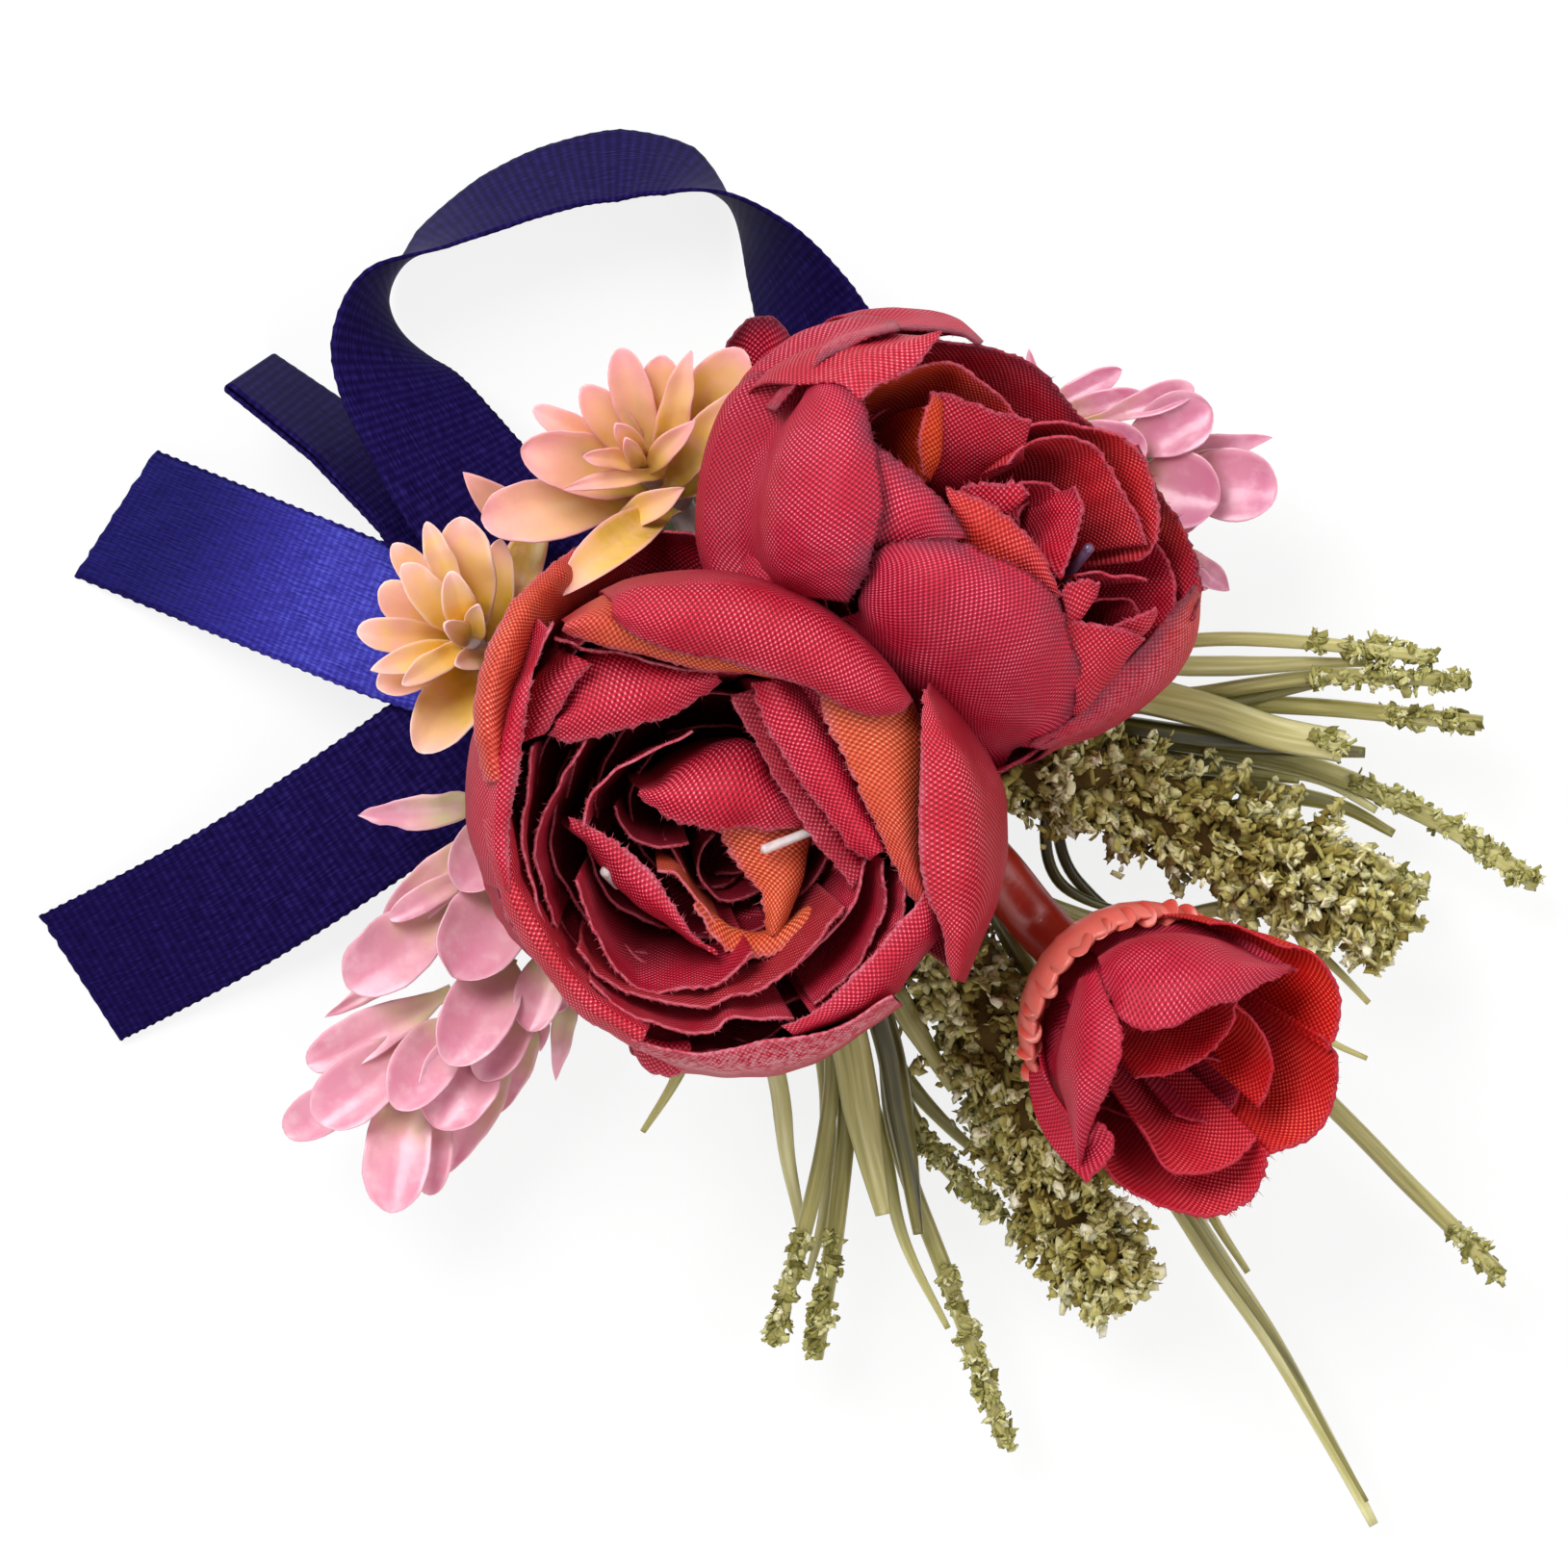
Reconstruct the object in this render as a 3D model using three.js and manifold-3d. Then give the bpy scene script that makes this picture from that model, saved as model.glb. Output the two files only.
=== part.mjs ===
// Pin-on corsage: two fabric roses, a bud, succulents, sedum sprigs, grasses and ribbon
// on a glued stem hub, with a felt backing and a brooch pin behind it.
// Millimetres. It lies on its back: Z = 0 is the surface under the pin, +Z is the front,
// +X is right and +Y is up as the front is seen.
import * as THREE from 'three';
import { mergeVertices } from 'three/addons/utils/BufferGeometryUtils.js';
import Module from 'manifold-3d';

const wasm = await Module();
wasm.setup();

// Driving dimensions shared by the whole corsage
const SPREAD = 60; // plan places are shares of this reach from the middle
const CLEAR = 0.3; // gap between pieces that touch
const OVERRUN = 1; // how far a cutter runs past what it cuts
const PEG_RADIUS = 1.2; // plastic pegs that the flower layers are threaded on

// Brooch pin on the back
const BAR_LENGTH = 38;
const BAR_WIDTH = 5;
const BAR_WALL = 0.8;
const GLUE_HOLE_RADIUS = 0.9;
const GLUE_HOLE_REACH = 8;
const LAPEL_GAP = 4.4; // cloth space between the pin arm and the bar
const ARM_RADIUS = 0.5;
const ARM_POINT = 4;
const EYE_RADIUS = 1.5;
const EYE_WALL = 1.6;
const RIVET_RADIUS = 0.6;
const RIVET_HEAD_RADIUS = 1.1;
const RIVET_HEAD_WALL = 0.5;
const CHEEK_WALL = 0.7;
const CHEEK_RADIUS = 1.6;
const HINGE_INSET = 2.2;
const SLEEVE_WALL = 0.45;
const POST_WALL = 0.9;
const ROTOR_WALL = 0.55;
const ROTOR_LENGTH = 2.4;
const ROTOR_TAB = 1.3;
const ROTOR_TAB_WALL = 0.8;
const CATCH_INSET = 1.6;
const PIN_RAISE = 3; // how far above the middle of the felt the pin is fixed

// Felt backing and the glued hub that holds every stem
const FELT_HALF_LENGTH = 22;
const FELT_HALF_WIDTH = 17.5;
const FELT_WALL = 1.8;
const FELT_POCKET = 0.7; // how deep the bar beds into the felt
const HUB_RIM = 7;
const HUB_HALF_WIDTH = 13;
const HUB_RISE = 7.5;
const ROOT_DEPTH = 4.5; // how far a stem runs into the hub

// Petals
const PETAL_WALL = 0.45;
const LAYER_STEP = 1.85; // height from one threaded layer to the next
const LAYER_TURN = 37; // degrees from one layer to the next
const LAYER_RING_WALL = 0.8;
const LAYER_RING_EXTRA = 0.4;
const CALYX_SINK = 2.2;
const CALYX_TOP = 1;
const CALYX_FOOT_RADIUS = 3.2;
const CALYX_RADIUS = 5.2;

// Ribbon
const RIBBON_WIDTH = 12.4; // half-inch satin
const RIBBON_WALL = 0.35;
const RIBBON_STEP = 1; // from one ribbon end to the next, where they are stacked in the hub

// Stems and grass
const BUD_STEM_RADIUS = 2.4;
const SPRIG_STEM_RADIUS = 1;
const PICK_STEM_RADIUS = 1.2;
const GRASS_RADIUS = 0.45;
const GRASS_CUT_RADIUS = 1;
const GRASS_BLADE_WIDTH = 3.4;
const GRASS_BLADE_WALL = 0.6;
const CRUMB_RADIUS = 1.5;

// Levels that follow from the sizes above
const SLEEVE_INNER = ARM_RADIUS + CLEAR;
const SLEEVE_OUTER = SLEEVE_INNER + SLEEVE_WALL;
const ROTOR_INNER = SLEEVE_OUTER + CLEAR;
const ROTOR_RADIUS = ROTOR_INNER + ROTOR_WALL;
const ARM_Z = ROTOR_RADIUS;
const BAR_Z = ARM_Z + ARM_RADIUS + LAPEL_GAP;
const FELT_Z = BAR_Z + BAR_WALL + CLEAR - FELT_POCKET;
const HUB_Z = FELT_Z + FELT_WALL + CLEAR;
const HUB_TOP = HUB_Z + HUB_RISE;
const PEG_HOLE = PEG_RADIUS + CLEAR;

// The flowers. Seats are shares of SPREAD, headings and tilts are degrees, and the
// layers list their petals from the outermost to the innermost.
const ROSE_A = {
  name: 'rose_a', seatShares: [-0.123, 0.048], seatLift: -0.8, heading: -45, tilt: 13,
  radius: 20.7, depth: 24, sweep: 96, innerSweep: 80, spiral: 0.6, innerGap: 4.6, dome: -0.4,
  petals: [6, 6, 5, 5, 4, 3], rows: [3, 3, 2, 2, 2, 2], columns: [3, 3, 3, 2, 3, 3], turn: 0,
  color: '#a81e36', innerColor: '#c8502f',
};
const ROSE_B = {
  name: 'rose_b', seatShares: [0.095, 0.318], seatLift: 0.4, heading: 8, tilt: 34,
  radius: 18.8, depth: 23, sweep: 108, innerSweep: 84, spiral: 0.6, innerGap: 4.6, dome: 0.7,
  petals: [6, 5, 5, 4, 3], rows: [3, 3, 2, 2, 2], columns: [3, 3, 3, 3, 3], turn: 20,
  color: '#b03a50', innerColor: '#a02a3c',
};
const BUD = {
  name: 'bud', seatShares: [0.42, -0.205], seatLift: 0.5, heading: -45, tilt: 45,
  radius: 11, depth: 20, sweep: 88, innerSweep: 86, spiral: 0.4, innerGap: 5, dome: 0.4,
  petals: [4, 4], rows: [3, 2], columns: [4, 3], turn: 0,
  calyxWall: 0.7, calyxLobes: 5, calyxNotch: 2,
  color: '#b8304a', innerColor: '#a00010',
};
// The photograph looks straight down. A place on it is in pixels from its top left corner.
const PHOTO_REACH = 762; // pixels that SPREAD takes up at the level of the flowers' seats
const PHOTO_MIDDLE = 814.5;
const MIDDLE_SHARES = [0.0047, 0.0518]; // what the photograph's middle shows, of SPREAD
const SEAT_LEVEL_SHARE = 1 / 3;
const EYE_SHARE = 12; // height of the eye, in SPREADs

// Leaves by tier or whorl. A leaf's row: the pixel of its tip, its tip's height as a share
// of the hub's top, and its width as a share of the plant's widest leaf, whose own width is
// a share of SPREAD.
const SUCCULENTS = [
  {
    name: 'succulent_large', seatShares: [-0.159, 0.458], seatLift: 1.6, heading: 138, tilt: 21,
    width: 6.1, wall: 1.6, step: 2.6, color: '#f2b08a',
    rise: 17, seatLevelShare: 1.094, seatPixel: [690, 505], pixel: 0.0787,
    leafShares: [
      [
        [500, 540, 1.41, 0.85], [541, 466, 1.64, 0.85], [554, 424, 1.58, 0.41], [770, 363, 1.76, 1],
        [796, 462, 1.58, 0.67], [578, 621, 1.32, 0.67], [522, 644, 1.11, 0.56], [481, 492, 1.2, 0.54],
      ],
      [
        [605, 402, 1.67, 0.56], [643, 362, 1.73, 0.56], [688, 369, 1.67, 0.64], [717, 365, 1.82, 0.44],
        [762, 406, 1.79, 0.51], [712, 507, 1.7, 0.41],
      ],
      [[722, 436, 1.82, 0.33], [606, 474, 1.76, 0.31], [640, 440, 1.82, 0.33], [650, 455, 1.86, 0.26]],
    ],
  },
  {
    name: 'succulent_small', seatShares: [-0.421, 0.244], seatLift: 2.6, heading: 90, tilt: 5,
    width: 5.2, wall: 1.4, step: 2.4, color: '#f2c28a',
    rise: 17, seatLevelShare: 1.153, seatPixel: [490, 668], pixel: 0.0787,
    leafShares: [
      [
        [478, 537, 1.7, 0.94], [408, 565, 1.58, 0.52], [394, 612, 1.53, 0.73], [371, 656, 1.64, 0.58],
        [392, 714, 1.58, 0.64], [435, 781, 1.47, 1], [520, 560, 1.3, 0.6],
      ],
      [
        [443, 542, 1.76, 0.45], [418, 586, 1.73, 0.58], [386, 697, 1.7, 0.45], [418, 711, 1.73, 0.42],
      ],
      [[468, 594, 1.8, 0.55], [462, 648, 1.76, 0.4], [497, 628, 1.76, 0.4]],
    ],
  },
];
const SPRIGS = [
  {
    name: 'pink_sprig_left', color: '#d98aa8', widthShare: 0.118, wall: 1.5,
    midShares: [-0.36, -0.04], tipShares: [-0.5, -0.389],
    rootRise: 3.5, tipRise: 0.5, firstShare: 0.42, lastShare: 0.9,
    leafShares: [
      [[372, 846, 0.76, 0.44], [478, 925, 1, 0.73], [402, 966, 0.7, 0.55], [548, 1072, 0.88, 0.58]],
      [
        [470, 1015, 1.06, 1], [361, 1026, 0.88, 0.84], [337, 1057, 0.53, 0.22],
        [590, 1045, 0.7, 0.38], [577, 1123, 0.53, 0.3],
      ],
      [[466, 1106, 1.03, 0.84], [319, 1106, 0.76, 0.58], [498, 1122, 0.82, 0.62], [520, 1156, 0.53, 0.44]],
      [
        [411, 1152, 0.97, 0.76], [328, 1165, 0.85, 0.78], [296, 1178, 0.59, 0.55],
        [452, 1172, 0.88, 0.93], [466, 1219, 0.53, 0.6],
      ],
      [[405, 1260, 0.82, 0.8], [446, 1242, 0.68, 0.44]],
    ],
  },
  {
    name: 'pink_sprig_right', color: '#c77a96', widthShare: 0.11, wall: 1.3,
    midShares: [0.42, 0.56], tipShares: [0.589, 0.4645],
    rootRise: 2, tipRise: 0, firstShare: 0.5, lastShare: 0.86,
    leafShares: [
      [[1166, 385, 0.7, 0.36], [1188, 410, 0.82, 0.33], [1069, 362, 0.59, 0.2]],
      [[1192, 468, 0.97, 0.62], [1259, 424, 0.94, 0.79], [1240, 402, 0.94, 0.38]],
      [[1266, 524, 0.94, 1], [1245, 545, 0.76, 0.55]],
      [
        [1327, 507, 0.85, 0.93], [1300, 480, 0.73, 0.4], [1322, 455, 0.65, 0.33],
        [1278, 613, 0.47, 0.4], [1256, 611, 0.53, 0.31],
      ],
    ],
  },
];

// Grass picks. A blade's row: kind, then the places it passes, each a pixel and a height
// as a share of the hub's foot.
const PICKS = [
  {
    name: 'grass_right', collarShares: [0.38, 0.15], collarRise: 2.5,
    bladeShares: [
      ['crumb', [1240, 665, 1.26], [1360, 668, 1.3], [1480, 680, 1.36]],
      ['stem', [1240, 692, 1.15], [1330, 686, 1.15], [1420, 684, 1.16]],
      ['crumb', [1240, 722, 1.3], [1370, 706, 1.36], [1525, 708, 1.42]],
      ['crumb', [1250, 722, 1.2], [1400, 738, 1.2], [1540, 756, 1.2]],
      ['blade', [1180, 730, 1.36], [1290, 752, 1.42], [1390, 772, 1.36]],
      ['cut', [1200, 762, 1.2], [1320, 776, 1.18], [1418, 782, 1.14]],
      ['stem', [1200, 778, 1.1], [1350, 802, 1.05]],
      ['crumb', [1240, 770, 0.9], [1340, 792, 0.84], [1480, 850, 0.74], [1598, 918, 0.64]],
      ['stem', [1240, 800, 0.74], [1320, 822, 0.68], [1448, 862, 0.6]],
      ['crumb', [1260, 830, 0.63], [1360, 868, 0.55], [1482, 926, 0.48]],
      ['stem', [1150, 942, 0.6], [1190, 952, 0.6], [1240, 948, 0.66]],
    ],
  },
  {
    name: 'grass_lower', collarShares: [0.06, -0.16], collarRise: 1.5,
    bladeShares: [
      ['stem', [735, 1040, 1], [712, 1100, 0.84], [668, 1176, 0.67]],
      ['stem', [806, 1115, 0.93], [820, 1210, 0.78], [836, 1302, 0.63]],
      ['crumb', [864, 1095, 1.09], [842, 1250, 0.99], [805, 1392, 0.95]],
      ['crumb', [880, 1130, 0.99], [868, 1270, 0.88], [848, 1410, 0.8]],
      ['blade', [882, 1080, 1.26], [898, 1180, 1.2], [916, 1262, 1.14]],
      ['cut', [920, 1080, 1.16], [940, 1190, 1.09], [955, 1282, 1.05]],
      ['crumb', [932, 1180, 0.84], [985, 1350, 0.74], [1046, 1502, 0.67]],
      ['crumb', [938, 1140, 1.01], [990, 1220, 0.95], [1040, 1262, 0.9]],
      ['stem', [930, 1100, 0.7], [965, 1165, 0.55], [1000, 1210, 0.42]],
      ['blade', [935, 1050, 1.24], [966, 1118, 1.26]],
    ],
  },
  {
    name: 'grass_corner', collarShares: [0.26, -0.07], collarRise: 1.2,
    bladeShares: [
      ['crumb', [1200, 1010, 0.95], [1380, 1155, 1.1], [1460, 1230, 1.05], [1556, 1322, 1]],
      ['blade', [1130, 1110, 0.6], [1235, 1265, 0.58], [1330, 1400, 0.48], [1422, 1572, 0.42]],
      ['stem', [1140, 1110, 0.75], [1268, 1280, 0.72], [1296, 1322, 0.7]],
      ['stem', [1200, 985, 0.5], [1370, 1000, 0.5], [1422, 1042, 0.52]],
      ['stem', [1180, 960, 0.7], [1380, 1080, 0.84], [1420, 1100, 0.8]],
    ],
  },
];
const CRUMB_SHARE = 0.3; // part of a crumb stem that the crumbs cover
const GRASS_COLOR = '#8c8248';

// Plumes of green crumbs: places as shares of SPREAD, rises above the hub's foot and girth
const PLUMES = [
  {
    name: 'plume_right', color: '#8f8f4a', girth: 5.4,
    placeShares: [[0.27, 0.06], [0.45, 0.03], [0.65, -0.06], [0.84, -0.17]],
    rises: [1.5, 3.5, 3.5, 2.5],
  },
  {
    name: 'plume_lower', color: '#85884a', girth: 4.9,
    placeShares: [[0.18, -0.14], [0.265, -0.3], [0.385, -0.49], [0.49, -0.64]],
    rises: [1.5, 0.5, -1, -2],
  },
];
const PLUME_LUMPS = 7;
const PLUME_LUMP_SHARE = 0.16; // how much the lumps swell its girth

// Ribbons. A row: x and y as shares of SPREAD, height as a share of the level at which
// the ribbon enters the hub, and roll in degrees (0 lies flat, 90 stands on its edge).
const RIBBONS = [
  {
    name: 'ribbon_tail_lower', level: 0, color: '#1e1458', steps: 14,
    rowShares: [
      [-1.01, -0.235, 0.03, 0], [-0.77, -0.11, 0.26, 0], [-0.55, 0.03, 0.7, 0],
      [-0.39, 0.14, 0.98, 0], [-0.27, 0.195, 1, 0], [-0.15, 0.235, 1, 0],
    ],
  },
  {
    name: 'ribbon_tail_upper', level: 1, color: '#241a66', steps: 14,
    rowShares: [
      [-0.93, 0.43, 0.03, 0], [-0.82, 0.385, 0.22, 0], [-0.66, 0.32, 0.6, 0],
      [-0.51, 0.262, 0.86, 0], [-0.35, 0.218, 0.98, 0], [-0.15, 0.2, 1, 0],
    ],
  },
  {
    name: 'ribbon_loop', level: 4, color: '#2a1f70', steps: 34,
    rowShares: [
      [0.11, 0.37, 0.9, 176], [0.12, 0.47, 0.86, 168], [0.095, 0.58, 0.76, 145],
      [0.04, 0.69, 0.64, 136], [-0.01, 0.78, 0.54, 116], [-0.07, 0.86, 0.47, 90],
      [-0.14, 0.905, 0.44, 66], [-0.225, 0.915, 0.42, 58], [-0.31, 0.9, 0.42, 60],
      [-0.395, 0.865, 0.43, 64], [-0.485, 0.81, 0.45, 74], [-0.55, 0.74, 0.52, 96],
      [-0.55, 0.65, 0.66, 126], [-0.49, 0.545, 0.86, 144], [-0.41, 0.435, 1, 160],
      [-0.28, 0.31, 1, 176], [-0.15, 0.23, 1, 180],
    ],
  },
];
// The folded loop runs out and back along one line of such rows
const FOLD = {
  name: 'ribbon_fold', color: '#151040', level: 2, steps: 30,
  rowShares: [
    [-0.15, 0.215, 1, 0], [-0.36, 0.335, 1, 10], [-0.49, 0.445, 0.66, 48],
    [-0.61, 0.53, 0.53, 66], [-0.735, 0.622, 0.49, 70],
  ],
};
const WELD_TOLERANCE = 1e-5; // seam points closer than this are one point
const THINNED = 0.04; // how far a corner left by a cut may stand out and still be taken out

const UP = new THREE.Vector3(0, 0, 1);
const HALF_TURN = 180;
const rad = THREE.MathUtils.degToRad;
const lerp = THREE.MathUtils.lerp;
const smooth = THREE.MathUtils.smoothstep;

const corsage = new THREE.Group();

// One closed body from a geometry whose seams are doubled
function welded(geometry) {
  const bare = geometry.index ? geometry.toNonIndexed() : geometry.clone();
  for (const attribute of ['normal', 'uv']) {
    bare.deleteAttribute(attribute);
  }
  const merged = mergeVertices(bare, WELD_TOLERANCE);
  const corners = merged.index.array;
  const kept = [];
  for (let i = 0; i < corners.length; i += 3) {
    const [a, b, c] = [corners[i], corners[i + 1], corners[i + 2]];
    if (a !== b && b !== c && c !== a) {
      kept.push(a, b, c);
    }
  }
  merged.setIndex(kept);
  return merged;
}

// Volume inside a closed geometry, negative when its faces point inwards
function volumeOf(geometry) {
  const corner = [new THREE.Vector3(), new THREE.Vector3(), new THREE.Vector3()];
  const { index, attributes } = geometry;
  let volume = 0;
  for (let i = 0; i < index.count; i += 3) {
    corner.forEach((point, j) => point.fromBufferAttribute(attributes.position, index.getX(i + j)));
    volume += corner[0].dot(corner[1].cross(corner[2])) / 6;
  }
  return volume;
}

// A welded geometry with its faces pointing outwards
function closed(geometry) {
  const body = welded(geometry);
  if (volumeOf(body) < 0) {
    const corners = Array.from(body.index.array);
    for (let i = 0; i < corners.length; i += 3) {
      [corners[i + 1], corners[i + 2]] = [corners[i + 2], corners[i + 1]];
    }
    body.setIndex(corners);
  }
  return body;
}

function solidOf(geometry) {
  const body = closed(geometry);
  return new wasm.Manifold(new wasm.Mesh({
    numProp: 3,
    vertProperties: body.attributes.position.array,
    triVerts: Uint32Array.from(body.index.array),
  }));
}

function geometryOf(solid) {
  const mesh = solid.getMesh();
  const geometry = new THREE.BufferGeometry();
  geometry.setAttribute('position', new THREE.BufferAttribute(mesh.vertProperties, 3));
  geometry.setIndex(new THREE.BufferAttribute(mesh.triVerts, 1));
  return geometry;
}

// The same body with the nearly flat corners that cuts leave taken out
function thinned(geometry) {
  return geometryOf(solidOf(geometry).asOriginal().simplify(THINNED));
}

function joined(geometries) {
  return geometryOf(geometries.map(solidOf).reduce((sum, next) => sum.add(next)));
}

function cutBy(geometry, cutters) {
  return geometryOf(cutters.map(solidOf).reduce((rest, next) => rest.subtract(next), solidOf(geometry)));
}

// Adds one named piece to the corsage
function place(name, geometry, color, roughness = 0.75, metalness = 0) {
  const material = new THREE.MeshStandardMaterial({
    color, roughness, metalness, side: THREE.FrontSide,
  });
  const mesh = new THREE.Mesh(closed(geometry), material);
  mesh.geometry.computeVertexNormals();
  mesh.name = name;
  corsage.add(mesh);
}

function planPoint([x, y], z) {
  return new THREE.Vector3(SPREAD * x, SPREAD * y, z);
}

// The place at a height that a pixel of the photograph shows
function seenAt([px, py], z) {
  const scale = (EYE_SHARE * SPREAD - z) / ((EYE_SHARE - SEAT_LEVEL_SHARE) * PHOTO_REACH);
  const middle = planPoint(MIDDLE_SHARES, z);
  return middle.add(new THREE.Vector3((px - PHOTO_MIDDLE) * scale, (PHOTO_MIDDLE - py) * scale, 0));
}

// Where a flower stands: its origin on its seat, its own +Z tilted towards its heading
function standOf({ seatShares, seatLift, heading, tilt }) {
  const lean = rad(tilt);
  const turn = rad(heading);
  const axis = new THREE.Vector3(
    Math.sin(lean) * Math.cos(turn),
    Math.sin(lean) * Math.sin(turn),
    Math.cos(lean),
  );
  return stand(planPoint(seatShares, HUB_TOP + seatLift), axis);
}

function stand(origin, axis) {
  const turn = new THREE.Quaternion().setFromUnitVectors(UP, axis);
  return new THREE.Matrix4().compose(origin, turn, new THREE.Vector3(1, 1, 1));
}

// A turned solid about +Z from [radius, height] points
function turned(profile, segments) {
  const points = profile.map(([radius, height]) => new THREE.Vector2(radius, height));
  return closed(new THREE.LatheGeometry(points, segments).rotateX(rad(90)));
}

function ring(inner, outer, bottom, top, segments) {
  return turned([[inner, bottom], [outer, bottom], [outer, top], [inner, top], [inner, bottom]], segments);
}

// A closed sheet round the middle surface that surface(u, v) gives, u from -1 to 1 and
// v from 0 to 1, with the thickness that thicknessAt(u, v) gives
function sheet(surface, thicknessAt, across, along) {
  const STEP = 1e-3;
  const positions = [];
  const triangles = [];
  const layer = (across + 1) * (along + 1);
  for (const side of [1, -1]) {
    for (let j = 0; j <= along; j += 1) {
      for (let i = 0; i <= across; i += 1) {
        const u = -1 + 2 * i / across;
        const v = j / along;
        const du = surface(Math.min(u + STEP, 1), v).sub(surface(Math.max(u - STEP, -1), v));
        const dv = surface(u, Math.min(v + STEP, 1)).sub(surface(u, Math.max(v - STEP, 0)));
        const normal = du.cross(dv).normalize();
        const point = surface(u, v).addScaledVector(normal, side * thicknessAt(u, v) / 2);
        positions.push(point.x, point.y, point.z);
      }
    }
  }
  const quad = (a, b, c, d) => triangles.push(a, b, c, a, c, d);
  const at = (i, j) => j * (across + 1) + i;
  for (let j = 0; j < along; j += 1) {
    for (let i = 0; i < across; i += 1) {
      quad(at(i, j), at(i + 1, j), at(i + 1, j + 1), at(i, j + 1));
      quad(layer + at(i, j), layer + at(i, j + 1), layer + at(i + 1, j + 1), layer + at(i + 1, j));
    }
  }
  const rim = [];
  for (let i = 0; i < across; i += 1) rim.push(at(i, 0));
  for (let j = 0; j < along; j += 1) rim.push(at(across, j));
  for (let i = across; i > 0; i -= 1) rim.push(at(i, along));
  for (let j = along; j > 0; j -= 1) rim.push(at(0, j));
  rim.forEach((a, k) => {
    const b = rim[(k + 1) % rim.length];
    quad(b, a, layer + a, layer + b);
  });
  return bodyOf(positions, triangles);
}

function bodyOf(positions, triangles) {
  const geometry = new THREE.BufferGeometry();
  geometry.setAttribute('position', new THREE.Float32BufferAttribute(positions, 3));
  geometry.setIndex(triangles);
  return closed(geometry);
}

// A closed rod along a curve whose radius is radiusAt(share of its length, side)
function rod(curve, radiusAt, sides, steps) {
  const { normals, binormals } = curve.computeFrenetFrames(steps, false);
  const positions = [];
  const triangles = [];
  for (let j = 0; j <= steps; j += 1) {
    const centre = curve.getPointAt(j / steps);
    for (let k = 0; k < sides; k += 1) {
      const angle = rad(360 * k / sides);
      const radius = radiusAt(j / steps, k);
      const point = centre.clone()
        .addScaledVector(normals[j], radius * Math.cos(angle))
        .addScaledVector(binormals[j], radius * Math.sin(angle));
      positions.push(point.x, point.y, point.z);
    }
  }
  for (let j = 0; j < steps; j += 1) {
    for (let k = 0; k < sides; k += 1) {
      const next = (k + 1) % sides;
      const [a, b] = [j * sides + k, j * sides + next];
      triangles.push(a, b, b + sides, a, b + sides, a + sides);
    }
  }
  for (const [j, share] of [[0, 0], [steps, 1]]) {
    const centre = positions.length / 3;
    positions.push(...curve.getPointAt(share));
    for (let k = 0; k < sides; k += 1) {
      const [a, b] = [j * sides + k, j * sides + (k + 1) % sides];
      triangles.push(...(share ? [a, b, centre] : [b, a, centre]));
    }
  }
  return bodyOf(positions, triangles);
}

function straight(from, to) {
  return new THREE.LineCurve3(from, to);
}

// Petal layers: the middle surface of a bowl, as [radius, height] at a share t of an arc
// that starts flat at the peg and, past 90 degrees, closes in again
function bowl(layer, t) {
  const angle = rad(layer.sweep * t);
  const radius = layer.hole + (layer.radius - layer.hole) * Math.sin(angle);
  return [radius, layer.lift + layer.depth * (1 - Math.cos(angle)) / (1 - Math.cos(rad(layer.sweep)))];
}

// The share t at which a bowl reaches a height
function bowlShare(layer, height) {
  const rise = (height - layer.lift) / layer.depth * (1 - Math.cos(rad(layer.sweep)));
  return Math.acos(1 - rise) / rad(layer.sweep);
}

function petal(layer, index) {
  const START_SHARE = 0.03;
  const CORNER_SHARE = 0.2;
  const OVERLAP = 1.26;
  const BASE_SHARE = 0.5;
  const middle = layer.turn + 360 * index / layer.petals;
  const halfWidth = OVERLAP * HALF_TURN / layer.petals;
  const surface = (u, v) => {
    const t = lerp(START_SHARE, 1, v * (1 - CORNER_SHARE * Math.abs(u) ** 3));
    const width = halfWidth * lerp(BASE_SHARE, 1, smooth(t, 0.2, 0.8));
    const [radius, height] = bowl(layer, t);
    const angle = rad(middle + u * width);
    const reach = radius + layer.spiral * u * t;
    return new THREE.Vector3(reach * Math.cos(angle), reach * Math.sin(angle), height + layer.wall / 2);
  };
  return sheet(surface, () => layer.wall, layer.columns, layer.rows);
}

// One threaded layer: petals joined at a ring with a hole for the peg
function petalLayer(layer) {
  const RING_SHARE = 0.08;
  const outer = layer.hole + RING_SHARE * layer.radius + LAYER_RING_EXTRA;
  const parts = [ring(layer.hole, outer, layer.lift, layer.lift + LAYER_RING_WALL, 7)];
  for (let index = 0; index < layer.petals; index += 1) {
    parts.push(petal(layer, index));
  }
  return joined(parts);
}

// The layers of a rose or bud, from the outermost to the innermost
function layersOf(flower, firstLift) {
  const count = flower.petals.length;
  const inner = PEG_HOLE + flower.innerGap - PEG_RADIUS;
  return flower.petals.map((petals, k) => {
    const share = count > 1 ? k / (count - 1) : 0;
    const lift = firstLift + k * LAYER_STEP;
    return {
      petals,
      lift,
      radius: lerp(flower.radius, inner, share),
      depth: flower.depth + k * flower.dome - lift,
      sweep: lerp(flower.sweep, flower.innerSweep, share),
      spiral: lerp(flower.spiral, flower.spiral / 2, share),
      hole: PEG_HOLE,
      wall: PETAL_WALL,
      rows: flower.rows[k],
      columns: flower.columns[k],
      turn: flower.turn + k * LAYER_TURN,
    };
  });
}

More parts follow.
